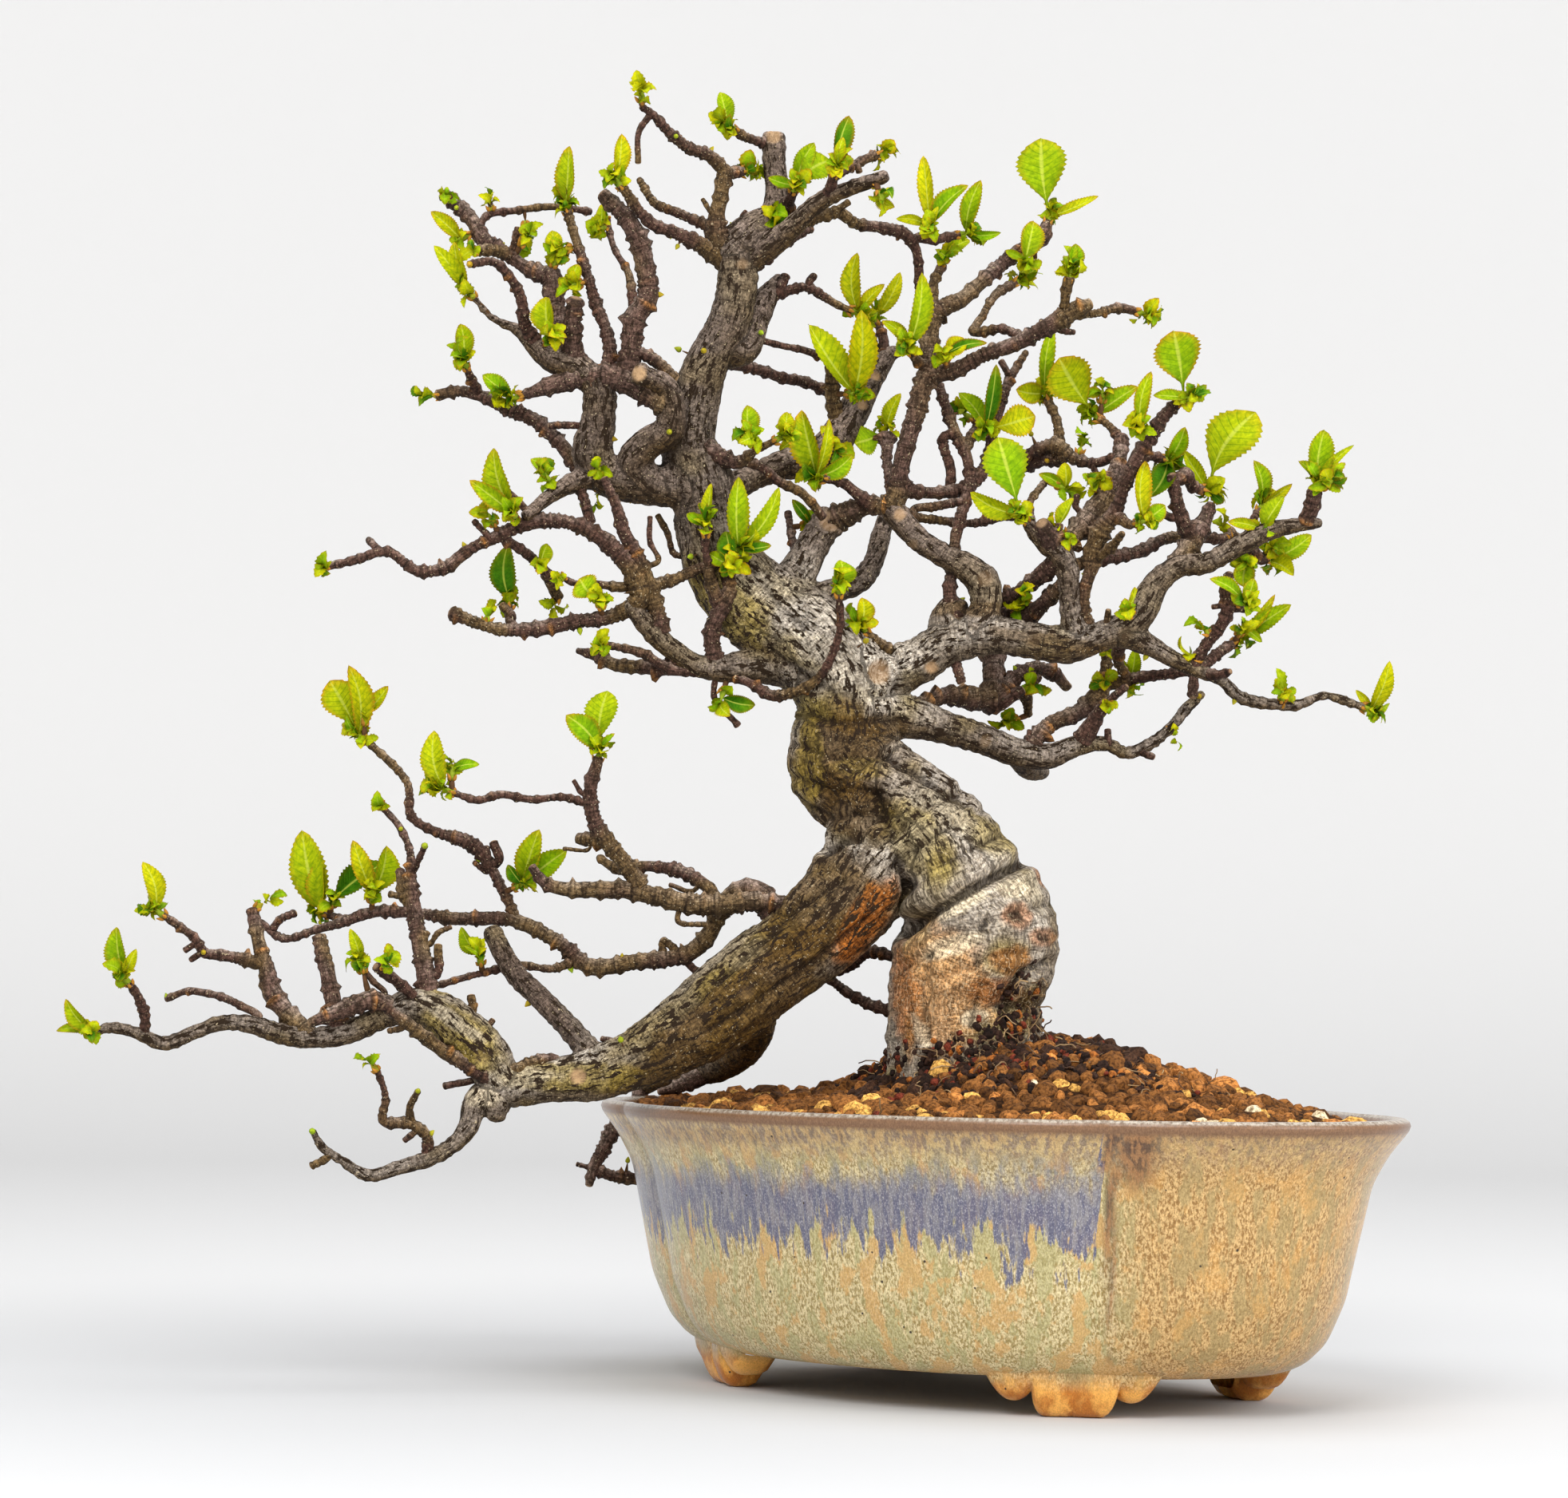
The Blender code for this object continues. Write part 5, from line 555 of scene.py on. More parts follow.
# Folds of the trunk and limbs: (depth, width in pixels, points).
CREASES = [
    (1.9, 9, [(1094, 996), (1114, 1046), (1128, 1104)]), (1.2, 7, [(1034, 1064), (1070, 1044), (1096, 1020)]),
    (2.6, 8, [(1282, 1074), (1238, 1096), (1184, 1128), (1128, 1166)]),
    (1.6, 8, [(1106, 944), (1150, 970), (1206, 1004)]),
    (0.9, 6, [(1266, 1036), (1212, 1060), (1164, 1088), (1120, 1128)]),
    (0.9, 6, [(1238, 1006), (1192, 1028), (1146, 1058), (1112, 1086)]),
    (0.7, 6, [(1206, 984), (1162, 1006), (1124, 1036), (1098, 1058)]),
    (0.8, 6, [(1320, 1128), (1262, 1140), (1196, 1170), (1124, 1212)]),
    (0.7, 6, [(1322, 1176), (1290, 1190), (1238, 1196), (1180, 1222)]),
    (0.9, 6, [(1212, 1282), (1224, 1232), (1216, 1188), (1230, 1150)]),
    (0.8, 6, [(1160, 1296), (1150, 1236), (1162, 1194)]),
    (1.3, 8, [(1262, 1296), (1256, 1246), (1276, 1214), (1308, 1200)]),
    (1.2, 7, [(1126, 1120), (1150, 1082), (1122, 1022), (1086, 984)]),
    (0.7, 5, [(984, 926), (1040, 948), (1112, 942)]), (0.7, 5, [(980, 966), (1040, 990), (1098, 984)]),
    (0.8, 5, [(992, 1000), (1040, 1024), (1088, 1012)]), (1.0, 7, [(990, 882), (1040, 902), (1120, 900)]),
    (0.9, 7, [(1030, 1062), (1062, 1046), (1098, 1060)]), (1.0, 7, [(960, 812), (1010, 850), (1062, 872)]),
    (0.9, 6, [(930, 700), (965, 745), (1010, 790)]), (0.8, 6, [(1100, 800), (1124, 830), (1116, 866)]),
    (1.0, 7, [(1050, 1100), (1000, 1130), (950, 1180), (890, 1230)]),
    (1.0, 7, [(1080, 1150), (1020, 1200), (960, 1240), (880, 1290)]),
    (0.7, 5, [(880, 1240), (830, 1285), (780, 1330)]), (0.7, 5, [(892, 690), (880, 640), (862, 600)]),
    (0.6, 5, [(640, 1330), (660, 1352), (650, 1376)]), (0.6, 5, [(740, 1312), (752, 1338), (742, 1362)]),
]

# Patches on the side that faces the viewer: (column, row, half length, half breadth, lean, amount).

GRAIN_COUNT = 1150
# Dark litter at the foot of the trunk: (column, row, spread across, spread down, crumbs).
LITTER = [(1160, 1345, 70, 26, 90), (1250, 1335, 70, 30, 110), (1340, 1322, 60, 26, 110), (1420, 1345, 60, 22, 60),
          (1480, 1362, 60, 14, 30), (1095, 1330, 36, 26, 60), (1120, 1372, 70, 16, 25), (1285, 1262, 34, 44, 110),
          (1258, 1296, 56, 34, 100), (1312, 1292, 40, 26, 90), (1200, 1312, 70, 18, 70)]
HAIR_ROOTS = [(1400, 1318, 8.0), (1455, 1350, 6.0), (1505, 1356, 6.0), (1340, 1318, 7.0), (1380, 1325, 5.0),
              (1430, 1345, 5.0), (1120, 1345, 6.0), (1300, 1330, 7.0)]

SHIFT_COLUMNS, SHIFT_ROWS = 0.0, 284.0
CAMERA_ROLL = -ROLL


def place(column, row, depth):
    """A pixel of the photograph, at a depth behind the pot's middle, as a point."""
    across = (column - CENTRE_COLUMN) * math.cos(ROLL) + (row - CENTRE_ROW) * math.sin(ROLL)
    down = (row - CENTRE_ROW) * math.cos(ROLL) - (column - CENTRE_COLUMN) * math.sin(ROLL)
    scale = PIXEL * (1.0 + depth / VIEW_DISTANCE)
    x = across * scale - EYE_LEFT_OF_POT + POT_MIDDLE
    z = EYE_HEIGHT - (down + CENTRE_ROW - HORIZON_ROW) * scale
    return np.array((x, depth, z))


def pixels(points):
    """The pixel of the photograph that each point is seen at."""
    scale = PIXEL * (1.0 + points[:, 1] / VIEW_DISTANCE)
    across = (points[:, 0] + EYE_LEFT_OF_POT - POT_MIDDLE) / scale
    down = (EYE_HEIGHT - points[:, 2]) / scale + HORIZON_ROW - CENTRE_ROW
    columns = CENTRE_COLUMN + across * math.cos(ROLL) - down * math.sin(ROLL)
    rows = CENTRE_ROW + across * math.sin(ROLL) + down * math.cos(ROLL)
    return np.stack([columns, rows], axis=1)


def half_width(width, depth):
    return 0.5 * width * PIXEL * (1.0 + depth / VIEW_DISTANCE)


def nearest_on(points, column, row):
    """The nearest place to a pixel on a route: (distance, column, row, width, depth)."""
    best = None
    for a, b in zip(points, points[1:]):
        run, rise = b[0] - a[0], b[1] - a[1]
        share = ((column - a[0]) * run + (row - a[1]) * rise) / max(run * run + rise * rise, 1e-9)
        share = min(1.0, max(0.0, share))
        spot = [p + (q - p) * share for p, q in zip(a, b)]
        distance = math.hypot(column - spot[0], row - spot[1])
        if best is None or distance < best[0]:
            best = (distance, *spot)
    return best


def resolve_routes():
    """Give each route's points their depth, starting where the route leaves its parent."""
    resolved = {"trunk": TRUNK}
    waiting = dict(ROUTES)
    while waiting:
        ready = [name for name in waiting if waiting[name][0] in resolved]
        for name in ready:
            parent, reach, points = waiting.pop(name)
            distance, column, row, width, start = nearest_on(resolved[parent], *points[0][:2])
            if distance > 0.3 * width:
                points = [(column, row, min(width * 0.9, points[0][2])), *points]
            steps = [math.dist(a[:2], b[:2]) for a, b in zip(points, points[1:])]
            along = [sum(steps[:i]) / sum(steps) for i in range(len(points))]
            resolved[name] = [(*p, start + reach * share) for p, share in zip(points, along)]
    return resolved


def smooth_line(points, step):
    """Rows (x, y, z, radius) on a smooth curve through a route's points."""
    knots = np.array([(*place(c, r, d), half_width(w, d)) for c, r, w, d in points])
    runs = np.maximum(np.linalg.norm(np.diff(knots[:, :3], axis=0), axis=1), 1e-6)
    slopes = np.diff(knots, axis=0) / runs[:, None]
    tangents = np.vstack([slopes[:1], slopes[:-1], slopes[-1:]])
    if len(slopes) > 1:
        weight = (runs[:-1] / (runs[:-1] + runs[1:]))[:, None]
        tangents = np.vstack([slopes[:1], slopes[:-1] * (1.0 - weight) + slopes[1:] * weight, slopes[-1:]])
    rows = []
    for i, run in enumerate(runs):
        count = max(1, round(run / step))
        t = (np.arange(count) / count)[:, None]
        rows.append((2 * t ** 3 - 3 * t ** 2 + 1) * knots[i] + (t ** 3 - 2 * t ** 2 + t) * run * tangents[i]
                    + (3 * t ** 2 - 2 * t ** 3) * knots[i + 1] + (t ** 3 - t ** 2) * run * tangents[i + 1])
    rows.append(knots[-1:])
    line = np.vstack(rows)
    line[:, 3] = np.maximum(line[:, 3], 0.45)
    return line


def frames_along(line):
    """Tangents and two turning-free normals along a line."""
    tangents = np.gradient(line[:, :3], axis=0)
    tangents /= np.maximum(np.linalg.norm(tangents, axis=1), 1e-9)[:, None]
    first = np.cross(tangents[0], (0.0, 1.0, 0.0))
    if np.linalg.norm(first) < 0.2:
        first = np.cross(tangents[0], (1.0, 0.0, 0.0))
    normals = [first / np.linalg.norm(first)]
    for tangent in tangents[1:]:
        normal = normals[-1] - tangent * np.dot(normals[-1], tangent)
        normals.append(normal / max(np.linalg.norm(normal), 1e-9))
    normals = np.array(normals)
    return tangents, normals, np.cross(tangents, normals)


def lattice(cells, seed):
    """A fixed random number from 0 to 1 for each whole-numbered cell."""
    mixed = cells[:, 0] * 374761393 + cells[:, 1] * 668265263 + cells[:, 2] * 1274126177 + seed * 974634777
    mixed = mixed & 0xFFFFFFFF
    mixed = ((mixed ^ (mixed >> 13)) * 1103515245) & 0xFFFFFFFF
    return ((mixed ^ (mixed >> 16)) & 0xFFFF) / 65535.0


def noise(points, seed=0):
    """Smooth noise from -1 to 1 with cells one unit wide."""
    cells = np.floor(points).astype(np.int64)
    inside = points - cells
    inside = inside * inside * (3.0 - 2.0 * inside)
    total = np.zeros(len(points))
    for corner in np.ndindex(2, 2, 2):
        weight = np.prod(np.where(corner, inside, 1.0 - inside), axis=1)
        total += weight * lattice(cells + np.array(corner), seed)
    return total * 2.0 - 1.0


def layered(points, seed, layers=3):
    return sum(noise(points * 2.0 ** i, seed + i) * 0.5 ** i for i in range(layers)) / (2.0 - 0.5 ** (layers - 1))


def step_up(values, low, high):
    share = np.clip((values - low) / (high - low), 0.0, 1.0)
    return share * share * (3.0 - 2.0 * share)


def new_mesh(name, corners, faces, material, smooth=True):
    """An object from corners in millimetres, which rides on the part's body."""
    mesh = bpy.data.meshes.new(name)
    mesh.from_pydata((np.asarray(corners) * MM).tolist(), [], [tuple(face) for face in faces])
    mesh.validate()
    mesh.polygons.foreach_set("use_smooth", [smooth] * len(mesh.polygons))
    mesh.materials.append(material)
    thing = bpy.data.objects.new(name, mesh)
    bpy.context.scene.collection.objects.link(thing)
    return thing


def paint(thing, name, values):
    """Keep three numbers for each corner of the mesh, for its material."""
    layer = thing.data.attributes.new(name, "FLOAT_VECTOR", "POINT")
    layer.data.foreach_set("vector", np.asarray(values, dtype=np.float32).ravel())


def finish_piece(thing, slot, *nodes):
    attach(thing, "root")
    if nodes:
        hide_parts(*nodes)


# Materials

def add(tree, kind, links=None, **settings):
    """A shader node with its inputs set or linked, by name or number."""
    node = tree.nodes.new("ShaderNode" + kind)
    for name, value in settings.items():
        setattr(node, name, value)
    for name, value in (links or {}).items():
        if isinstance(value, bpy.types.NodeSocket):
            tree.links.new(value, node.inputs[name])
        else:
            node.inputs[name].default_value = value
    return node


def new_material(name, roughness, **settings):
    material = bpy.data.materials.new(name)
    material.use_nodes = True
    shader = material.node_tree.nodes["Principled BSDF"]
    shader.inputs["Roughness"].default_value = roughness
    for socket, value in settings.items():
        shader.inputs[socket.replace("_", " ")].default_value = value
    return material, material.node_tree, shader


def colour_mix(tree, factor, first, second, blend="MIX"):
    node = add(tree, "Mix", data_type="RGBA", blend_type=blend)
    for socket, value in zip((node.inputs[0], node.inputs[6], node.inputs[7]), (factor, first, second)):
        if isinstance(value, bpy.types.NodeSocket):
            tree.links.new(value, socket)
        elif isinstance(value, tuple):
            socket.default_value = (*value, 1.0)
        else:
            socket.default_value = value
    return node.outputs[2]


def ramp(tree, value, low, high):
    """Numbers from low to high spread over 0 to 1, and held at both ends."""
    node = add(tree, "MapRange", {"Value": value, "From Min": low, "From Max": high}, interpolation_type="SMOOTHSTEP")
    return node.outputs["Result"]


def math_node(tree, operation, first, second=0.0):
    node = add(tree, "Math", {0: first, 1: second}, operation=operation)
    return node.outputs[0]


def noise_node(tree, vector, scale, detail=3.0, roughness=0.55):
    links = {"Scale": scale, "Detail": detail, "Roughness": roughness}
    if vector is not None:
        links["Vector"] = vector
    return add(tree, "TexNoise", links).outputs["Fac"]


def stretched(tree, vector, scales):
    return add(tree, "Mapping", {"Vector": vector, "Scale": scales}).outputs["Vector"]


def bump(tree, shader, height, strength, distance):
    node = add(tree, "Bump", {"Height": height, "Strength": strength, "Distance": distance * MM})
    tree.links.new(node.outputs["Normal"], shader.inputs["Normal"])


def bark_material():
    """Bark over the colour that is kept with the mesh as tint, which carries the painted highlights and shade of the
    wood and twigs. grain holds each corner's place across, across and along its branch in millimetres, and marks how
    strong flecks, crackle and bare wood are."""
    material, tree, shader = new_material("bark_detail", 0.7, Specular_IOR_Level=0.16)
    grain = add(tree, "Attribute", attribute_name="grain").outputs["Vector"]
    tint = add(tree, "Attribute", attribute_name="tint").outputs["Vector"]
    marks = add(tree, "SeparateXYZ", {0: add(tree, "Attribute", attribute_name="marks").outputs["Vector"]}).outputs
    fibre = noise_node(tree, stretched(tree, grain, (2.0, 2.0, 0.9)), 1.0, 6.0, 0.72)
    wrinkle = noise_node(tree, stretched(tree, grain, (0.35, 0.35, 1.9)), 1.0, 5.0, 0.66)
    shade = colour_mix(tree, ramp(tree, fibre, 0.34, 0.66), (0.30, 0.27, 0.24), (1.75, 1.72, 1.68))
    ring = colour_mix(tree, ramp(tree, wrinkle, 0.36, 0.58), (0.50, 0.46, 0.42), (1.25, 1.25, 1.25))
    colour = colour_mix(tree, 1.0, colour_mix(tree, 1.0, tint, shade, "MULTIPLY"), ring, "MULTIPLY")
    fleck = ramp(tree, noise_node(tree, stretched(tree, grain, (0.8, 0.8, 0.27)), 1.0, 6.0, 0.62), 0.54, 0.56)
    fleck = math_node(tree, "MULTIPLY", fleck, marks["X"])
    colour = colour_mix(tree, fleck, colour, (0.026, 0.014, 0.006))
    lichen = ramp(tree, noise_node(tree, stretched(tree, grain, (1.9, 1.9, 1.6)), 1.0, 2.0), 0.665, 0.70)
    colour = colour_mix(tree, math_node(tree, "MULTIPLY", lichen, 0.7), colour, (0.70, 0.56, 0.34))
    cells = add(tree, "TexVoronoi", {"Vector": stretched(tree, grain, (0.62, 0.62, 0.45)), "Scale": 1.0},
                feature="DISTANCE_TO_EDGE").outputs["Distance"]
    crackle = math_node(tree, "MULTIPLY", ramp(tree, cells, 0.06, 0.015), ramp(tree, fibre, 0.42, 0.6))
    crackle = math_node(tree, "MULTIPLY", crackle, marks["Y"])
    colour = colour_mix(tree, crackle, colour, (0.82, 0.66, 0.42))
    colour = colour_mix(tree, marks["Z"], colour, (0.60, 0.38, 0.20))
    tree.links.new(colour, shader.inputs["Base Color"])
    height = math_node(tree, "ADD", fibre, math_node(tree, "MULTIPLY", fleck, -0.7))
    height = math_node(tree, "ADD", height, math_node(tree, "MULTIPLY", wrinkle, 1.2))
    bump(tree, shader, height, 0.9, 0.5)
    return material


def leaf_material():
    """Young leaves. Kept with the mesh: tint, and blade (along, across from -1 to 1, how much it is veined)."""
    material, tree, shader = new_material("leaf_detail", 0.5, Specular_IOR_Level=0.03)
    tint = add(tree, "Attribute", attribute_name="tint").outputs["Vector"]
    blade = add(tree, "Attribute", attribute_name="blade").outputs["Vector"]
    blade = add(tree, "SeparateXYZ", {0: blade}).outputs
    position = add(tree, "NewGeometry").outputs["Position"]
    across = math_node(tree, "ABSOLUTE", blade["Y"])
    slant = math_node(tree, "SUBTRACT", math_node(tree, "MULTIPLY", blade["X"], 9.0),
                      math_node(tree, "MULTIPLY", across, 1.7))
    vein = math_node(tree, "ABSOLUTE", math_node(tree, "SUBTRACT", math_node(tree, "FRACT", slant), 0.5))
    vein = math_node(tree, "MULTIPLY", ramp(tree, vein, 0.14, 0.03), blade["Z"])
    rib = math_node(tree, "MULTIPLY", ramp(tree, across, 0.12, 0.03), blade["Z"])
    spots = noise_node(tree, position, 900.0, 4.0, 0.65)
    shade = colour_mix(tree, ramp(tree, spots, 0.3, 0.7), (0.66, 0.74, 0.6), (1.2, 1.14, 1.0))
    colour = colour_mix(tree, 1.0, tint, shade, "MULTIPLY")
    colour = colour_mix(tree, math_node(tree, "MULTIPLY", vein, 0.35), colour, (0.10, 0.24, 0.006))
    colour = colour_mix(tree, math_node(tree, "MULTIPLY", rib, 0.6), colour, (0.55, 0.60, 0.08))
    tree.links.new(colour, shader.inputs["Base Color"])
    height = math_node(tree, "ADD", spots, math_node(tree, "MULTIPLY", vein, -1.0))
    bump(tree, shader, height, 0.5, 0.2)
    return material


def grain_material():
    """Soil grains: each has its own colour, kept with the mesh, roughened by fine noise."""
    material, tree, shader = new_material("grain_detail", 0.85, Specular_IOR_Level=0.2)
    tint = add(tree, "Attribute", attribute_name="tint").outputs["Vector"]
    position = add(tree, "NewGeometry").outputs["Position"]
    crumbs = noise_node(tree, position, 1000.0, 4.0, 0.7)
    shade = colour_mix(tree, ramp(tree, crumbs, 0.34, 0.64), (0.30, 0.26, 0.22), (1.5, 1.5, 1.5))
    tree.links.new(colour_mix(tree, 1.0, tint, shade, "MULTIPLY"), shader.inputs["Base Color"])
    bump(tree, shader, crumbs, 0.9, 0.5)
    return material


def soil_material():
    """Fine dark soil between the grains."""
    material, tree, shader = new_material("soil_detail", 0.9, Specular_IOR_Level=0.1)
    position = add(tree, "NewGeometry").outputs["Position"]
    crumbs = noise_node(tree, position, 500.0, 5.0, 0.7)
    colour = colour_mix(tree, ramp(tree, crumbs, 0.4, 0.65), (0.020, 0.009, 0.004), (0.14, 0.055, 0.015))
    tree.links.new(colour, shader.inputs["Base Color"])
    bump(tree, shader, crumbs, 1.0, 1.0)
    return material


def fibre_material():
    material, tree, shader = new_material("rootlet_detail", 0.8)
    position = add(tree, "NewGeometry").outputs["Position"]
    shade = ramp(tree, noise_node(tree, position, 120.0, 2.0), 0.35, 0.65)
    tree.links.new(colour_mix(tree, shade, (0.08, 0.035, 0.015), (0.42, 0.27, 0.12)), shader.inputs["Base Color"])
    bump(tree, shader, noise_node(tree, position, 1500.0), 0.4, 0.1)
    return material


def glaze_material():
    """Streaky tan glaze. Kept with the mesh: run (across, up, depth), zone (how far down the blue band,
    brown glaze with painted shade in the notch's groove, bare clay) and area (orange side, under the rim, lip with a
    painted highlight on top)."""
    material, tree, shader = new_material("glaze_detail", 0.26, Specular_IOR_Level=0.4, Coat_Weight=0.12,
                                          Coat_Roughness=0.1)
    run = add(tree, "Attribute", attribute_name="run").outputs["Vector"]
    up = add(tree, "SeparateXYZ", {0: run}).outputs["Y"]
    zone = add(tree, "SeparateXYZ", {0: add(tree, "Attribute", attribute_name="zone").outputs["Vector"]}).outputs
    area = add(tree, "SeparateXYZ", {0: add(tree, "Attribute", attribute_name="area").outputs["Vector"]}).outputs
    speckle = noise_node(tree, stretched(tree, run, (1.9, 0.85, 1.9)), 1.0, 5.0, 0.68)
    streak = noise_node(tree, stretched(tree, run, (0.9, 0.07, 0.9)), 1.0, 4.0, 0.6)
    drip = noise_node(tree, stretched(tree, run, (0.26, 0.045, 0.26)), 1.0, 4.0, 0.6)
    mottle = noise_node(tree, stretched(tree, run, (0.16, 0.08, 0.16)), 1.0, 4.0, 0.62)
    fine = noise_node(tree, stretched(tree, run, (3.2, 1.8, 3.2)), 1.0, 3.0, 0.6)
    speck = ramp(tree, speckle, 0.41, 0.58)
    left = colour_mix(tree, speck, (0.32, 0.23, 0.075), (0.74, 0.62, 0.35))
    left = colour_mix(tree, math_node(tree, "MULTIPLY", ramp(tree, drip, 0.49, 0.58), 0.55), left, (0.39, 0.37, 0.16))
    left = colour_mix(tree, math_node(tree, "MULTIPLY", ramp(tree, mottle, 0.52, 0.58), 0.7), left, (0.62, 0.36, 0.12))
    right = colour_mix(tree, speck, (0.29, 0.15, 0.04), (0.68, 0.45, 0.19))
    right = colour_mix(tree, math_node(tree, "MULTIPLY", ramp(tree, drip, 0.48, 0.58), 0.65), right, (0.36, 0.27, 0.11))
    right = colour_mix(tree, math_node(tree, "MULTIPLY", ramp(tree, mottle, 0.52, 0.62), 0.4), right,
                       (0.70, 0.37, 0.10))
    colour = colour_mix(tree, area["X"], left, right)
    rim = colour_mix(tree, ramp(tree, streak, 0.40, 0.60), (0.25, 0.17, 0.13), (0.62, 0.44, 0.20))
    colour = colour_mix(tree, math_node(tree, "MULTIPLY", area["Y"], 0.8), colour, rim)
    wobble = math_node(tree, "ADD", math_node(tree, "MULTIPLY", math_node(tree, "SUBTRACT", drip, 0.5), 2.2),
                       math_node(tree, "MULTIPLY", math_node(tree, "SUBTRACT", streak, 0.5), 1.3))
    below_top = ramp(tree, math_node(tree, "ADD", zone["X"], math_node(tree, "MULTIPLY", wobble, 0.45)), -0.1, 0.42)
    above_end = ramp(tree, math_node(tree, "ADD", zone["X"], wobble), 1.12, 0.92)
    blue = colour_mix(tree, ramp(tree, streak, 0.42, 0.62), (0.098, 0.106, 0.190), (0.235, 0.23, 0.265))
    blue = colour_mix(tree, ramp(tree, fine, 0.52, 0.72), blue, (0.36, 0.35, 0.37))
    share = math_node(tree, "MULTIPLY", math_node(tree, "MULTIPLY", below_top, above_end), 0.93)
    colour = colour_mix(tree, share, colour, blue)
    # Brown: glaze stains, with painted shade down the notch's groove.
    brown = colour_mix(tree, ramp(tree, streak, 0.4, 0.6), (0.075, 0.032, 0.02), (0.33, 0.15, 0.06))
    brown_edge = math_node(tree, "ADD", zone["Y"], math_node(tree, "MULTIPLY", wobble, 0.3))
    brown_edge = math_node(tree, "MULTIPLY", ramp(tree, brown_edge, 0.25, 0.9), ramp(tree, zone["Y"], 0.05, 0.25))
    colour = colour_mix(tree, math_node(tree, "MULTIPLY", brown_edge, 0.85), colour, brown)
    # The lip: streaked grey-cream glaze with a painted highlight along its top, and speckled brown lower on its outer
    # edge.
    lip = colour_mix(tree, ramp(tree, streak, 0.40, 0.58), (0.24, 0.18, 0.13), (0.50, 0.44, 0.36))
    lip = colour_mix(tree, ramp(tree, up, 70.7, 69.9), lip, colour_mix(tree, speckle, (0.10, 0.05, 0.03),
                                                                      (0.32, 0.17, 0.08)))
    colour = colour_mix(tree, area["Z"], colour, lip)
    clay = colour_mix(tree, ramp(tree, mottle, 0.4, 0.6), (0.50, 0.17, 0.02), (0.86, 0.43, 0.09))
    colour = colour_mix(tree, zone["Z"], colour, clay)
    shade = colour_mix(tree, ramp(tree, fine, 0.3, 0.7), (0.76, 0.74, 0.72), (1.14, 1.14, 1.14))
    colour = colour_mix(tree, 1.0, colour, shade, "MULTIPLY")
    pins = add(tree, "TexVoronoi", {"Vector": stretched(tree, run, (0.16, 0.16, 0.16)), "Scale": 1.0})
    colour = colour_mix(tree, ramp(tree, pins.outputs["Distance"], 0.04, 0.065), (0.04, 0.025, 0.015), colour)
    tree.links.new(colour, shader.inputs["Base Color"])
    bump(tree, shader, math_node(tree, "ADD", speckle, math_node(tree, "MULTIPLY", drip, 0.8)), 0.25, 0.35)
    return material


# Wood

def build_tube(line, sides, relief, offset):
    """Corners, faces, grain coordinates and skin of a tube with a rounded end. relief gives how far each
    corner moves out, in radii, and how much it shows a bud and a groove; skin is bud, groove and how
    far the corner faces up."""
    tangents, normals, binormals = frames_along(line)
    radii = line[:, 3]
    along = np.concatenate([[0.0], np.cumsum(np.linalg.norm(np.diff(line[:, :3], axis=0), axis=1))])
    centres = line[:, :3]
    last = radii[-1]
    dome = [(0.35, 0.9), (0.55, 0.55)]
    centres = np.vstack([centres] + [centres[-1:] + tangents[-1:] * last * lift for lift, _ in dome])
    radii = np.concatenate([radii, [last * share for _, share in dome]])
    along = np.concatenate([along, [along[-1] + last * lift for lift, _ in dome]])
    normals = np.vstack([normals] + [normals[-1:]] * len(dome))
    binormals = np.vstack([binormals] + [binormals[-1:]] * len(dome))
    angles = 2.0 * math.pi * np.arange(sides) / sides
    count = len(centres)
    cos = np.tile(np.cos(angles), count)
    sin = np.tile(np.sin(angles), count)
    radius = np.repeat(radii, sides)
    grain = np.stack([cos * radius, sin * radius, np.repeat(along, sides)], axis=1)
    out = np.repeat(normals, sides, axis=0) * cos[:, None] + np.repeat(binormals, sides, axis=0) * sin[:, None]
    push, bud, groove = relief(grain + np.array((0.0, 0.0, offset)), np.repeat(along, sides))
    corners = np.repeat(centres, sides, axis=0) + out * (radius * (1.0 + push))[:, None]
    corners = np.vstack([corners, centres[-1:] + tangents[-1:] * last * 0.1, centres[:1]])
    grain = np.vstack([grain, [[0.0, 0.0, along[-1]], [0.0, 0.0, 0.0]]]) + np.array((0.0, 0.0, offset))
    skin = np.vstack([np.stack([bud, groove, out[:, 2]], axis=1), np.zeros((2, 3))])
    ring = np.arange(sides)
    after = (ring + 1) % sides
    faces = []
    for row in range(count - 1):
        low, high = row * sides, (row + 1) * sides
        faces += np.stack([low + ring, low + after, high + after, high + ring], axis=1).tolist()
    end = count * sides
    faces += [(end - sides + a, end - sides + b, end) for a, b in zip(ring, after)]
    faces += [(b, a, end + 1) for a, b in zip(ring, after)]
    return corners, faces, grain, skin


def no_relief(grain, along):
    flat = np.zeros(len(grain))
    return flat, flat, flat


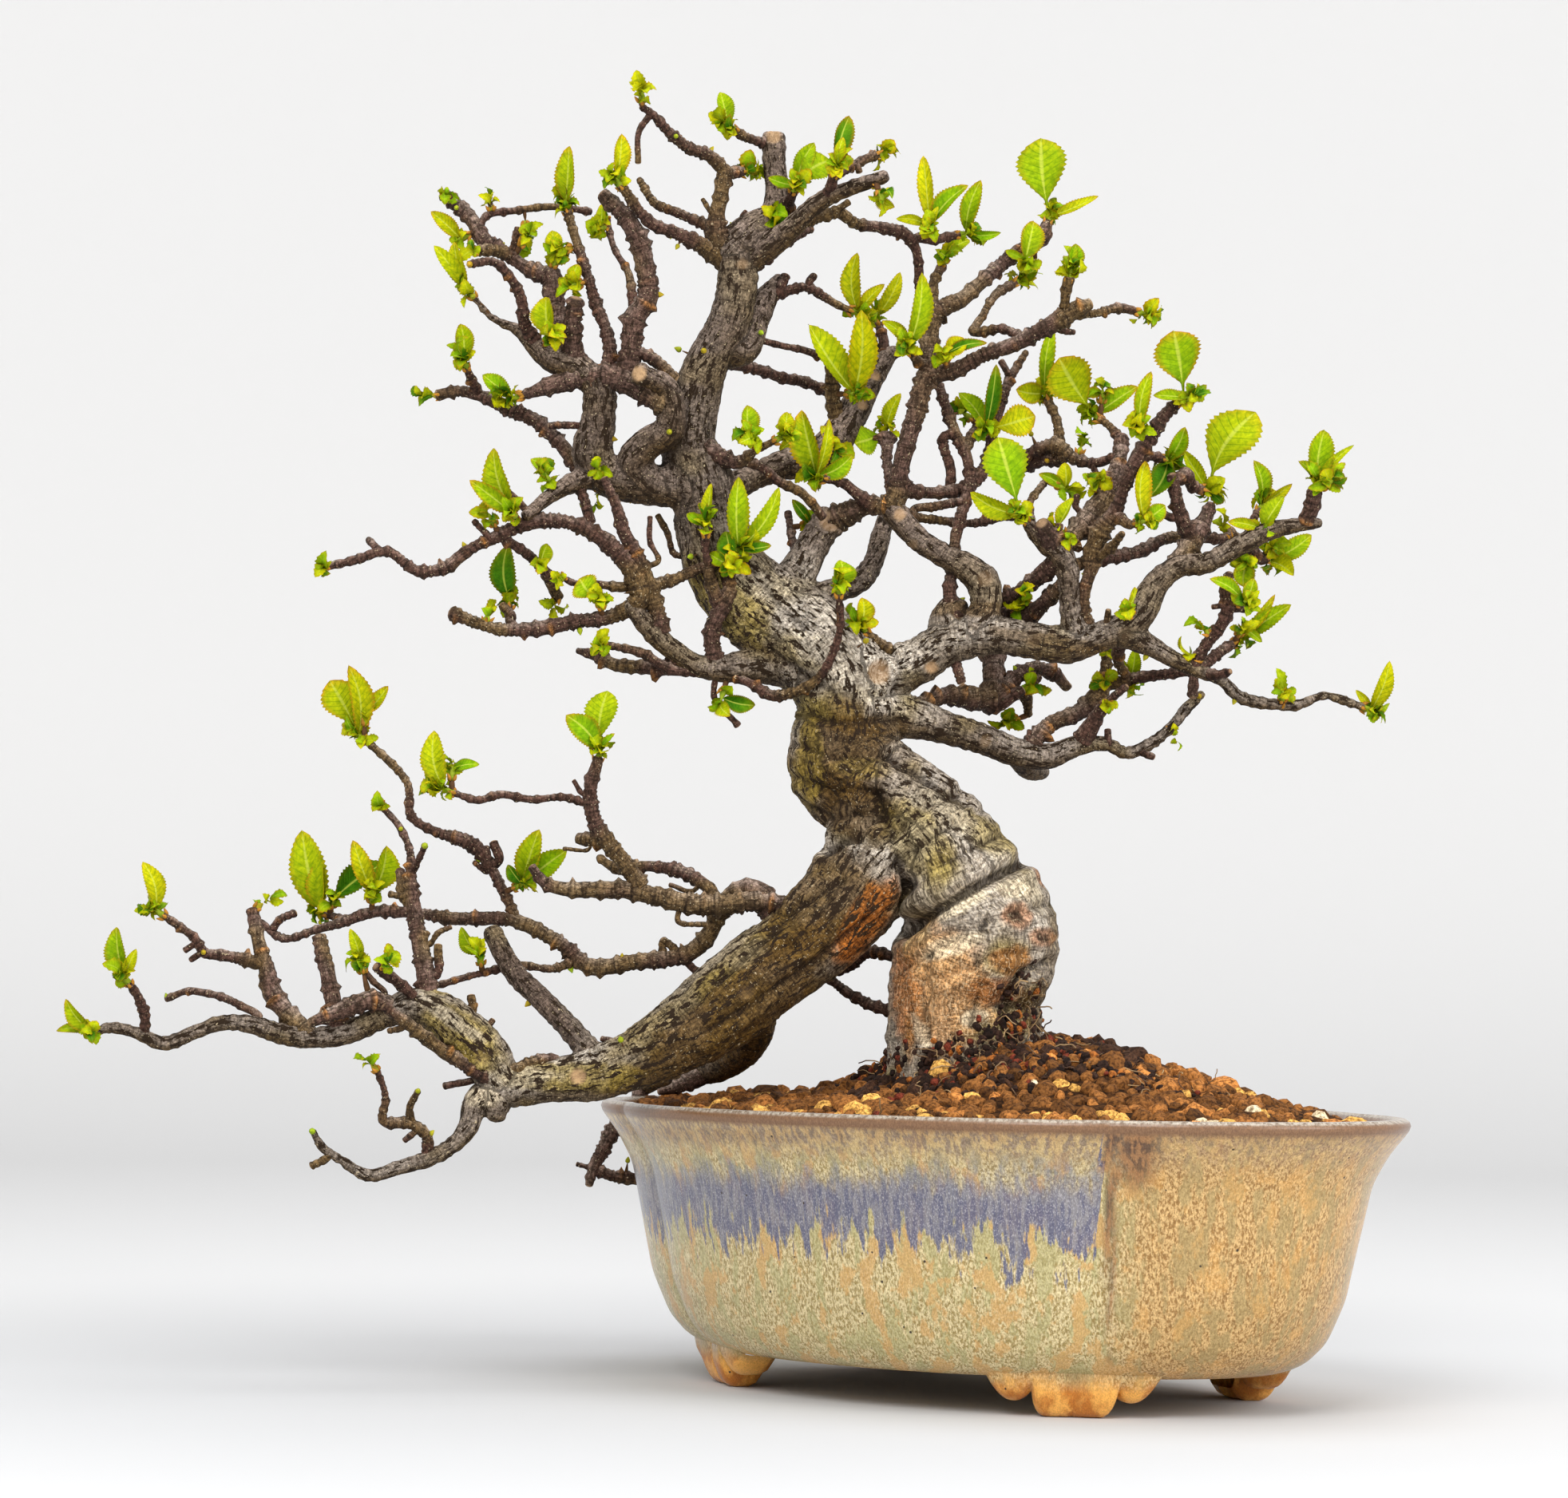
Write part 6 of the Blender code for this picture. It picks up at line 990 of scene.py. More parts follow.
def twig_relief(line, rng, knobbly):
    """Ring marks, swollen nodes with a bud on one side, and uneven bark for a twig."""
    length = np.linalg.norm(np.diff(line[:, :3], axis=0), axis=1).sum()
    nodes = []
    spot = rng.uniform(0.8, 3.0)
    while spot < length:
        bulky = 0.75 if rng.random() < 0.3 else 0.25
        nodes.append((spot, rng.uniform(0.08, 0.40) * knobbly, rng.uniform(0.0, 2.0 * math.pi),
                      rng.uniform(0.3, 1.0) * bulky * knobbly))
        spot += rng.uniform(1.8, 6.5)
    seed = rng.randrange(1000)

    def relief(grain, along):
        angle = np.arctan2(grain[:, 1], grain[:, 0])
        push = 0.22 * layered(grain * np.array((0.7, 0.7, 0.4)), seed)
        rings = np.sin(along * 4.6 + 3.0 * noise(grain * 0.3, seed + 5))
        strong = step_up(noise(grain * np.array((0.1, 0.1, 0.25)), seed + 9), -0.4, 0.5)
        push += 0.11 * rings * strong
        bud = np.zeros(len(grain))
        # groove: painted shade in the ring grooves, and a dark ring past each node, for twig_tints.
        groove = step_up(-rings, 0.55, 0.95) * strong * 0.6
        for middle, swell, side, size in nodes:
            near = np.exp(-((along - middle) / 0.6) ** 2)
            facing = np.clip(np.cos(angle - side), 0.0, 1.0) ** 3
            push += near * (swell + size * facing)
            bud = np.maximum(bud, near * facing * step_up(np.full(len(grain), size), 0.15, 0.6))
            groove = np.maximum(groove, 0.9 * np.exp(-((along - middle - 0.8) / 0.3) ** 2))
        return push, bud, groove * (1.0 - bud)
    return relief


def gather(parts):
    """Join (corners, faces, values, ...) parts into one."""
    base = 0
    corners, faces, extras = [], [], [[] for _ in parts[0][2:]]
    for part in parts:
        corners.append(part[0])
        faces += [tuple(i + base for i in face) for face in part[1]]
        for store, values in zip(extras, part[2:]):
            store.append(values)
        base += len(part[0])
    return (np.vstack(corners), faces, *(np.vstack(values) for values in extras))


def is_thick(points):
    return max(p[2] for p in points) >= THICK_FROM


def blended(first, second, share):
    return first + (np.asarray(second) - first) * np.asarray(share)[:, None]


def patch_tints(corners, tints, facing):
    """Lay the named patches of the photograph over the colours of the side that faces the viewer. A few of them are
    painted light: shade under the collar and along the lower limb's underside, and a highlight along its top.
    """
    seen = pixels(corners)
    ragged = 0.28 * layered(corners * 0.35, 71)
    for tone, column, row, wide, high, lean, amount in BARK_PATCHES:
        turn = math.radians(lean)
        along = (seen[:, 0] - column) * math.cos(turn) + (seen[:, 1] - row) * math.sin(turn)
        across = (seen[:, 1] - row) * math.cos(turn) - (seen[:, 0] - column) * math.sin(turn)
        inside = np.sqrt((along / wide) ** 2 + (across / high) ** 2) + ragged
        tints = blended(tints, TONES[tone], amount * facing * (1.0 - step_up(inside, 0.7, 1.2)))
    return tints


def wood_tints(corners, normals, radius):
    """Bark from silver to olive and umber, browner in the crown, with a painted highlight of ash on top in the crown
    and painted umber shade underneath and on the sides turned away.
    """
    seen = pixels(corners)
    tints = blended(np.tile(TONES["silver"], (len(corners), 1)), TONES["grey"],
                    0.75 * step_up(layered(corners * 0.11, 61), -0.45, 0.3))
    low = step_up(seen[:, 1], 600.0, 950.0)
    crown = 1.0 - step_up(seen[:, 1] + 60.0 * noise(corners * 0.06, 19), 600.0, 800.0)
    tints = blended(tints, TONES["dun"], 0.85 * crown)
    tints = blended(tints, TONES["olive"], (0.2 + 0.5 * low) * step_up(noise(corners * 0.13, 47), -0.1, 0.5))
    thin = 1.0 - step_up(radius, 3.0, 6.5)
    tints = blended(tints, TONES["dun"], 0.7 * thin)
    # Painted light: ash on the upper faces of the crown is a painted highlight. Umber on the faces turned away from the
    # front and on the undersides, which are also darkened, is painted shade.
    tints = blended(tints, TONES["ash"], 0.55 * crown * step_up(normals[:, 2], -0.1, 0.9))
    tints = blended(tints, TONES["umber"], 0.45 * step_up(normals[:, 1], -0.3, 0.5))
    underside_shade = step_up(-normals[:, 2], -0.05, 0.8)
    return blended(tints, TONES["umber"], 0.7 * underside_shade) * (1.0 - 0.35 * underside_shade)[:, None]


def crease_relief(corners, front):
    """Depth of the folds of the trunk, which are given as lines over the photograph."""
    seen = pixels(corners)
    total = np.zeros(len(corners))
    for depth, wide, points in CREASES:
        nearest = np.full(len(corners), 1e9)
        for a, b in zip(points, points[1:]):
            a, b = np.array(a, float), np.array(b, float)
            share = np.clip(((seen - a) @ (b - a)) / max((b - a) @ (b - a), 1e-9), 0.0, 1.0)
            nearest = np.minimum(nearest, np.linalg.norm(seen - a - share[:, None] * (b - a), axis=1))
        total -= 1.2 * depth * np.exp(-(nearest / (0.8 * wide)) ** 2)
        total += 0.5 * depth * np.exp(-((nearest - 2.3 * wide) / (1.3 * wide)) ** 2)
    return total * front


def eye_relief(corners, front):
    """Rims and hollows of knots and pruning scars, and how much bare wood shows there."""
    seen = pixels(corners)
    total = np.zeros(len(corners))
    bare = np.zeros(len(corners))
    for column, row, width, height, wood in EYES:
        inside = np.linalg.norm(seen - np.array((column, row)), axis=1) / (0.5 * width)
        total += height * (np.exp(-((inside - 0.95) / 0.3) ** 2) - 0.8 * np.exp(-(inside / 0.5) ** 2))
        bare = np.maximum(bare, wood * (1.0 - step_up(inside, 0.55, 0.85)))
    return total * front, bare * front


def wood_line_tree(lines):
    """A search tree of the middles of the thick branches, with what belongs to each."""
    places = [(name, i) for name, line in lines.items() for i in range(len(line))]
    tree = KDTree(len(places))
    for number, (name, i) in enumerate(places):
        tree.insert(Vector(lines[name][i, :3]), number)
    tree.balance()
    return tree, places


def remeshed(name, parts):
    """One skin round overlapping tubes."""
    corners, faces = gather([part[:2] for part in parts])[:2]
    mesh = bpy.data.meshes.new(name)
    mesh.from_pydata((corners * MM).tolist(), [], faces)
    thing = bpy.data.objects.new(name, mesh)
    bpy.context.scene.collection.objects.link(thing)
    skin = thing.modifiers.new("skin", "REMESH")
    skin.mode = "VOXEL"
    skin.voxel_size = VOXEL * MM
    relax = thing.modifiers.new("relax", "SMOOTH")
    relax.factor = 0.5
    relax.iterations = 3
    evaluated = thing.evaluated_get(bpy.context.evaluated_depsgraph_get())
    fresh = bpy.data.meshes.new_from_object(evaluated)
    bpy.data.objects.remove(thing, do_unlink=True)
    count = len(fresh.vertices)
    places = np.empty(count * 3)
    fresh.vertices.foreach_get("co", places)
    normals = np.empty(count * 3)
    fresh.vertices.foreach_get("normal", normals)
    quads = [tuple(face.vertices) for face in fresh.polygons]
    bpy.data.meshes.remove(fresh)
    return places.reshape(-1, 3) / MM, normals.reshape(-1, 3), quads


def wood_grain(corners, lines):
    """Each corner's place across and along the branch that it belongs to, and that branch's radius."""
    tree, places = wood_line_tree(lines)
    axes = {name: frames_along(line) for name, line in lines.items()}
    lengths = {name: np.concatenate([[0.0], np.cumsum(np.linalg.norm(np.diff(line[:, :3], axis=0), axis=1))])
               for name, line in lines.items()}
    shift = {name: 61.0 * number for number, name in enumerate(lines)}
    grain = np.empty((len(corners), 3))
    radius = np.empty(len(corners))
    for number, corner in enumerate(corners):
        best = None
        for _, index, distance in tree.find_n(Vector(corner), 6):
            name, i = places[index]
            share = distance / lines[name][i, 3]
            if best is None or share < best[0]:
                best = (share, name, i)
        _, name, i = best
        offset = corner - lines[name][i, :3]
        tangents, first, second = axes[name]
        grain[number] = (offset @ first[i], offset @ second[i], lengths[name][i] + offset @ tangents[i] + shift[name])
        radius[number] = lines[name][i, 3]
    return grain, radius


def picked(faces, chosen):
    """The corners and renumbered faces of the part of a mesh whose faces start at a chosen corner."""
    faces = [face for face in faces if chosen[face[0]]]
    kept = sorted({corner for face in faces for corner in face})
    number = {corner: i for i, corner in enumerate(kept)}
    return kept, [tuple(number[corner] for corner in face) for face in faces]


def make_thick_wood(routes, material):
    """The trunk and the limbs: one skin, with folds, plates, rings, knots and scars pushed into it."""
    lines = {name: smooth_line(points, 1.6) for name, points in routes.items() if is_thick(points)}
    parts = [build_tube(line, 20, no_relief, 0.0) for line in lines.values()]
    corners, normals, faces = remeshed("wood_skin", parts)
    grain, radius = wood_grain(corners, lines)
    facing = step_up(-normals[:, 1], -0.25, 0.35)
    size = np.clip(radius / 8.0, 0.25, 1.0)
    seen = pixels(corners)
    bulge = np.exp(-((seen[:, 0] - 1240.0) / 90.0) ** 2 - ((seen[:, 1] - 1135.0) / 60.0) ** 2) * facing
    folds = layered(grain * np.array((0.16, 0.16, 0.05)), 3, 2)
    plates = step_up(layered(grain * np.array((0.5, 0.5, 0.22)), 11), -0.1, 0.2)
    rings = np.sin(grain[:, 2] * 2.1 + 3.0 * noise(grain * np.array((0.12, 0.12, 0.2)), 23))
    ringed = step_up(noise(grain * np.array((0.05, 0.05, 0.12)), 29), -0.5, 0.4) * (1.0 - 0.6 * size * size)
    relief = 0.95 * size * folds + 0.30 * size * plates + 0.22 * np.sqrt(size) * rings * ringed
    relief += 0.25 * layered(grain * np.array((1.0, 1.0, 0.7)), 31)
    relief *= 1.0 - 0.6 * bulge
    creases = crease_relief(corners, facing)
    eyes, bare = eye_relief(corners, facing)
    relief += creases + eyes
    tints = patch_tints(corners, wood_tints(corners, normals, radius), facing)
    # Painted shade: folds, knot hollows, the gaps between bark plates and the ring grooves are darkened towards near
    # black.
    dark = 0.95 * step_up(-(creases + eyes), 0.35, 1.4) + 0.4 * (1.0 - plates) * size * (1.0 - bulge)
    dark = np.clip(dark + 0.5 * ringed * step_up(-rings, 0.6, 1.0), 0.0, 0.95)
    tints = blended(tints, TONES["near_black"], dark * 0.85)
    corners = corners + normals * relief[:, None]
    base = step_up(seen[:, 1], 1150.0, 1220.0) * step_up(seen[:, 0], 1080.0, 1110.0) * facing
    flecks = np.clip(1.0 - 0.85 * base - 0.8 * bulge, 0.0, 1.0)
    marks = np.stack([flecks, 0.6 * base + 0.4 * bulge, bare], axis=1)
    lower = seen[:, 1] > SPLIT_ROW
    for name, chosen, nodes in (("trunk_wood", lower, ["wood"]), ("crown_wood", ~lower, [])):
        kept, part_faces = picked(faces, chosen)
        wood = new_mesh(name, corners[kept], part_faces, material)
        paint(wood, "grain", grain[kept])
        paint(wood, "tint", tints[kept])
        paint(wood, "marks", marks[kept])
        finish_piece(wood, "bark", *nodes)


def stub_lines(routes):
    """Short side shoots and cut stubs, from the nearest branch to their end in the photograph."""
    lines = []
    for points in STUBS:
        widths = points[-1]
        first = points[0]
        nearest = min((nearest_on(route, *first) for route in routes.values()), key=lambda spot: spot[0] - 0.4 * spot[3])
        distance, column, row, width, depth = nearest
        forward = 0.35 * half_width(width, depth) if distance < 0.3 * width else 0.0
        rows = [(column, row, widths, depth - forward * 0.3)]
        rows += [(c, r, widths, depth - forward) for c, r in points[:-1]]
        lines.append(smooth_line(rows, TWIG_STEP))
    return lines


def twig_tints(corners, skin, thick):
    """Dark plum bark with grey patches, an ash-grey painted highlight on the upper side and painted shade on the
    underside, tan buds, and dark rings that are painted shade in the grooves.
    """
    # Painted highlight: the upper side turns ash grey, most of all where the bark has grey patches.
    painted_top_highlight = step_up(skin[:, 2], -0.1, 0.9)
    patch = step_up(layered(corners * 0.22, 7), -0.2, 0.2)
    share = np.clip(0.04 + (0.55 + 0.3 * thick) * painted_top_highlight * (0.2 + 0.8 * patch) + 0.12 * thick, 0.0, 1.0)
    tints = blended(np.tile(TONES["plum"], (len(corners), 1)), TONES["ash"], share)
    tints = blended(tints, TONES["olive"], 0.25 * step_up(noise(corners * 0.09, 87), 0.0, 0.5))
    tints = blended(tints, TONES["bud"], 0.85 * skin[:, 0])
    # Painted shade in the ring grooves and a dark ring past each node, then painted shade on the underside.
    tints = blended(tints, TONES["near_black"], 0.8 * skin[:, 1])
    return tints * (0.55 + 0.45 * step_up(skin[:, 2], -0.9, 0.2))[:, None]


def make_twigs(routes, material):
    """Every thinner branch as a tube of its own, with ring marks, nodes and buds."""
    groups = {"left": [], "right": []}
    rng = random.Random(5)
    jobs = [(smooth_line(points, TWIG_STEP), 1.0) for points in routes.values() if not is_thick(points)]
    jobs += [(line, 0.5) for line in stub_lines(routes)]
    for number, (line, knobbly) in enumerate(jobs):
        relief = twig_relief(line, rng, knobbly)
        corners, faces, grain, skin = build_tube(line, TWIG_SIDES, relief, 37.0 * number)
        side = "left" if pixels(corners)[:, 0].mean() < 860 else "right"
        thick = step_up(np.full(len(corners), float(np.median(line[:, 3]))), 1.0, 3.2)
        end = np.zeros(len(corners))
        end[-2:-1] = 1.0
        end[-2 - TWIG_SIDES:-2] = 0.8
        marks = np.stack([0.3 + 0.5 * thick, np.zeros(len(corners)), end * (0.9 if knobbly < 1.0 else 0.5)], axis=1)
        groups[side].append((corners, faces, grain, twig_tints(corners, skin, thick), marks))
    for side, parts in groups.items():
        corners, faces, grain, tints, marks = gather(parts)
        twigs = new_mesh(f"twigs_{side}", corners, faces, material)
        paint(twigs, "grain", grain)
        paint(twigs, "tint", tints)
        paint(twigs, "marks", marks)
        finish_piece(twigs, "bark")


# Leaves

def leaf_surface(base, tip, width, facing, rng, form):
    """Corners, faces, colours and blade places of one leaf. form is (broadest place, fold, bow, teeth,
    redness, stalk)."""
    broadest, fold, bow, teeth, redness, stalk = form
    axis = tip - base
    length = np.linalg.norm(axis)
    axis = axis / length
    side = np.cross(axis, facing)
    side /= max(np.linalg.norm(side), 1e-6)
    up = np.cross(side, axis)
    large = length > 6.0
    rows, half_columns = (34, 3) if large else (10, 2)
    power = math.log(0.5) / math.log(broadest)
    yellow = rng.uniform(0.0, 1.0)
    body = np.array(LEAF_GREEN) * (1.0 - yellow) + np.array(LEAF_YELLOW) * yellow
    if rng.random() < 0.12:
        body = np.array(LEAF_DARK)
    sway = rng.uniform(-0.10, 0.10) * length
    corners, tints, blade_places = [], [], []
    for row in range(rows + 1):
        t = row / rows
        blade = max(0.0, (t - stalk) / (1.0 - stalk))
        breadth = max(math.sin(math.pi * blade ** power), 0.0) ** 0.75
        for column in np.arange(-half_columns, half_columns + 1) / half_columns:
            tooth = teeth * (1.0 if row % 2 else -0.7) if abs(column) > 0.99 else 0.0
            half = 0.5 * width * (breadth * (1.0 + tooth) + (0.07 if t < 0.95 else 0.0))
            across = column * half + sway * math.sin(math.pi * t)
            lift = abs(column * half) * fold + bow * length * (math.sin(math.pi * 0.9 * t) - 0.25 * t)
            ripple = 0.05 * width * math.sin(9.0 * t + 2.0 * column) * abs(column)
            corners.append(base + axis * (length * t) + side * across + up * (lift + ripple))
            rim = max(0.0, abs(column) - 0.6) / 0.4
            tint = body * (0.55 + 0.6 * min(1.0, 1.5 * t)) * (0.9 + 0.24 * rng.random()) * (1.0 - 0.2 * rim)
            tint = tint + (np.array(LEAF_YELLOW) - tint) * 0.5 * max(0.0, t - 0.5)
            red = min(1.0, redness * (0.9 * rim * rim * (1.0 if row % 2 else 0.4) + max(0.0, t - 0.8) * 3.5))
            tints.append(tint * (1.0 - red) + np.array((0.48, 0.15, 0.012)) * red)
            blade_places.append((blade, column, 1.0 if large else 0.35))
    wide = 2 * half_columns + 1
    faces = [(r * wide + c, r * wide + c + 1, (r + 1) * wide + c + 1, (r + 1) * wide + c)
             for r in range(rows) for c in range(wide - 1)]
    return np.array(corners), faces, np.array(tints), np.array(blade_places)


def bud_surface(base, tip, radius, tint, rng):
    """A pointed bud or shoot from base to tip."""
    axis = tip - base
    profile = [(0.0, 0.6), (0.2, 1.0), (0.45, 0.95), (0.7, 0.6), (0.9, 0.25)]
    line = np.array([(*(base + axis * share), radius * breadth) for share, breadth in profile])
    corners, faces = build_tube(line, 7, no_relief, 0.0)[:2]
    shade = np.linspace(0.7, 1.15, len(corners))[:, None]
    return corners, faces, np.tile(np.array(tint), (len(corners), 1)) * shade, np.zeros((len(corners), 3))


def small_leaves(base, axis, count, rng):
    """The little recurved leaves and the bud scales round the foot of a tuft."""
    side = np.cross(axis, (0.3, 0.5, 0.8))
    side /= np.linalg.norm(side)
    other = np.cross(axis, side)
    start = rng.uniform(0.0, 2.0 * math.pi)
    parts = []
    for i in range(count):
        angle = start + 2.4 * i + rng.uniform(-0.4, 0.4)
        outward = side * math.cos(angle) + other * math.sin(angle)
        length = rng.uniform(2.4, 5.4)
        root = base + axis * rng.uniform(0.0, 4.0)
        tip = root + (outward * rng.uniform(0.5, 0.9) + axis * rng.uniform(-0.4, 1.1)) * length
        form = (rng.uniform(0.42, 0.56), rng.uniform(0.2, 0.7), rng.uniform(0.12, 0.38), 0.16,
                rng.uniform(0.0, 0.7), 0.0)
        facing = axis + np.array((rng.gauss(0.0, 0.4), -0.7, rng.gauss(0.0, 0.4)))
        parts.append(leaf_surface(root, tip, length * rng.uniform(0.42, 0.72), facing, rng, form))
    for i in range(4):
        angle = start + 1.6 * i
        outward = side * math.cos(angle) + other * math.sin(angle)
        root = base - axis * 0.9 + outward * 0.6
        tip = root + (outward * 0.7 + axis * 1.2) * rng.uniform(1.0, 1.9)
        parts.append(bud_surface(root, tip, 0.5, (0.50, 0.23, 0.04), rng))
    return parts


def spur_ends(points, seat):
    """Foot and end of the short spur that carries a tuft in front of its branch."""
    distance, column, row, width, depth = nearest_on(points, *seat)
    clear = 0.5 * width + 14.0
    forward = math.sqrt(max(clear * clear - distance * distance, 0.0)) * PIXEL
    return np.array((column, row, 9.0, depth)), np.array((*seat, 8.0, depth - forward))


def tuft_parts(before, last, leaves, small, rng):
    """Main leaves, heart and small leaves of one tuft."""
    base = place(last[0], last[1], last[3])
    axis = base - place(before[0], before[1], before[3])
    axis /= np.linalg.norm(axis)
    crown = base + axis * 2.0
    parts = []
    for column, row, width in leaves:
        tip = place(column, row, last[3])
        length = np.linalg.norm(tip - crown)
        tip = tip + np.array((0.0, rng.uniform(-0.25, 0.2) * length, 0.0))
        blade = 2.0 * half_width(width, last[3])
        round_leaf = blade / max(length, 1e-6) > 0.5 and width > 36
        facing = np.array((rng.uniform(-0.6, 0.6), -1.0, rng.uniform(-0.3, 0.4)))
        broadest = 0.60 if round_leaf else rng.uniform(0.40, 0.50)
        fold = rng.uniform(0.05, 0.2) if round_leaf else rng.uniform(0.35, 1.0)
        form = (broadest, fold, rng.uniform(0.02, 0.12), 0.08, rng.uniform(0.15, 0.9), 0.22 if round_leaf else 0.06)
        blade *= 1.0 if round_leaf else 0.86
        parts.append(leaf_surface(crown, tip, min(blade, 0.9 * length), facing, rng, form))
    parts.append(bud_surface(base - axis, crown + axis * 1.2, 0.9, (0.30, 0.38, 0.03), rng))
    foot = place(before[0], before[1], before[3])
    if np.linalg.norm(base - foot) < 12.0:
        parts.append(bud_surface(foot, base + axis, 0.8, STALK_TINT, rng))
    return parts + small_leaves(base, axis, small, rng)


def make_tuft(number, routes, route, seat, leaves, count, material):
    """A tuft of young leaves where the route, or its short spur, ends."""
    rng = random.Random(300 + number)
    points = routes[route]
    if seat is None:
        before, last = np.array(points[-2], float), np.array(points[-1], float)
    else:
        before, last = spur_ends(points, seat)
    corners, faces, tints, blades = gather(tuft_parts(before, last, leaves, 10 + 3 * count, rng))
    tuft = new_mesh(f"leaves_{number:02d}", corners, faces, material)
    paint(tuft, "tint", tints)
    paint(tuft, "blade", blades)
    finish_piece(tuft, "young_leaf", f"leaf_tuft_{number:02d}")


def make_more_leaves(routes, material):
    """Smaller tufts between those that have solids of their own."""
    rng = random.Random(91)
    parts = []
    for seat, leaves, count in MORE_TUFTS:
        points = min(routes.values(), key=lambda route: nearest_on(route, *seat)[0])
        before, last = spur_ends(points, seat)
        last[3] = before[3] - min(before[3] - last[3], 2.0)
        parts += tuft_parts(before, last, leaves, 5 + 2 * count, rng)
    corners, faces, tints, blades = gather(parts)
    more = new_mesh("more_leaves", corners, faces, material)
    paint(more, "tint", tints)
    paint(more, "blade", blades)
    finish_piece(more, "young_leaf")


def make_loose_buds(routes, material):
    """Buds and leaflets that sit on the branches away from the tufts."""
    rng = random.Random(77)
    parts = []
    for column, row, size in BUDS:
        nearest = min((nearest_on(route, column, row) for route in routes.values()),
                      key=lambda spot: spot[0] - 0.5 * spot[3])
        distance, foot_column, foot_row, width, depth = nearest
        inside = distance < 0.5 * width
        depth_here = depth - (half_width(width, depth) if inside else 0.0)
        tip = place(column, row, depth_here - (1.5 if inside else 0.0))
        foot = place(foot_column, foot_row, depth)
        axis = tip - foot
        axis /= max(np.linalg.norm(axis), 1e-6)
        root = tip - axis * (size * PIXEL)
        green = rng.random()
        tint = (0.50 - 0.15 * green, 0.30 + 0.2 * green, 0.03)
        parts.append(bud_surface(root, tip, 0.38 * size * PIXEL, tint, rng))
        parts.append(bud_surface(foot, root + axis * 0.5, 0.5, STALK_TINT, rng))
        if size > 11:
            parts += small_leaves(root + axis, axis, 5, rng)
    corners, faces, tints, blades = gather(parts)
    buds = new_mesh("loose_buds", corners, faces, material)
    paint(buds, "tint", tints)
    paint(buds, "blade", blades)
    finish_piece(buds, "young_leaf")


# Soil

def lobed_points(angles, half_long, inset):
    """The pot's outline of four lobes, in millimetres from the pot's middle."""
    lobe = 1.0 + NOTCH_DEPTH * (np.abs(np.cos(2.0 * angles)) ** LOBE_SHARPNESS - 1.0)
    along = (half_long - inset) * np.cos(angles) * lobe
    across = (half_long * POT_NARROWNESS - inset) * np.sin(angles) * lobe
    x = along * math.cos(POT_TURN) - across * math.sin(POT_TURN)
    y = along * math.sin(POT_TURN) + across * math.cos(POT_TURN)
    return x, y


def within_pot(x, y, half_long, inset):
    """Whether a place, from the pot's middle, is inside the pot's outline."""
    along = x * math.cos(POT_TURN) + y * math.sin(POT_TURN)
    across = y * math.cos(POT_TURN) - x * math.sin(POT_TURN)
    angle = math.atan2(across / (half_long * POT_NARROWNESS - inset), along / (half_long - inset))
    edge_x, edge_y = lobed_points(np.array([angle]), half_long, inset)
    return math.hypot(x, y) < math.hypot(edge_x[0], edge_y[0])


def search_tree(thing):
    corners = [vert.co.copy() for vert in thing.data.vertices]
    return BVHTree.FromPolygons(corners, [tuple(face.vertices) for face in thing.data.polygons])


def stone_shapes(rng, count):
    """Rough stones of radius one: corners, with the faces that they share."""
    bm = bmesh.new()
    bmesh.ops.create_icosphere(bm, subdivisions=2, radius=1.0)
    corners = np.array([vert.co[:] for vert in bm.verts])
    faces = [tuple(vert.index for vert in face.verts) for face in bm.faces]
    bm.free()
    shapes = []
    for number in range(count):
        radius = 1.0 + 0.28 * layered(corners * 1.3 + 40.0 * number, 50 + number, 2)
        for _ in range(4):
            plane = np.array([rng.gauss(0.0, 1.0) for _ in range(3)])
            plane /= np.linalg.norm(plane)
            reach = (corners @ plane) * radius
            radius = np.where(reach > 0.72, radius * 0.72 / np.maximum(reach, 1e-6), radius)
        stretch = np.array([rng.uniform(0.8, 1.2) for _ in range(3)])
        shapes.append(corners * radius[:, None] * stretch)
    return shapes, faces


def turned(corners, rng):
    """Corners turned in a random way."""
    angles = [rng.uniform(0.0, 2.0 * math.pi) for _ in range(3)]
    for axis, angle in enumerate(angles):
        a, b = [i for i in range(3) if i != axis]
        first, second = corners[:, a].copy(), corners[:, b].copy()
        corners = corners.copy()
        corners[:, a] = first * math.cos(angle) - second * math.sin(angle)
        corners[:, b] = first * math.sin(angle) + second * math.cos(angle)
    return corners


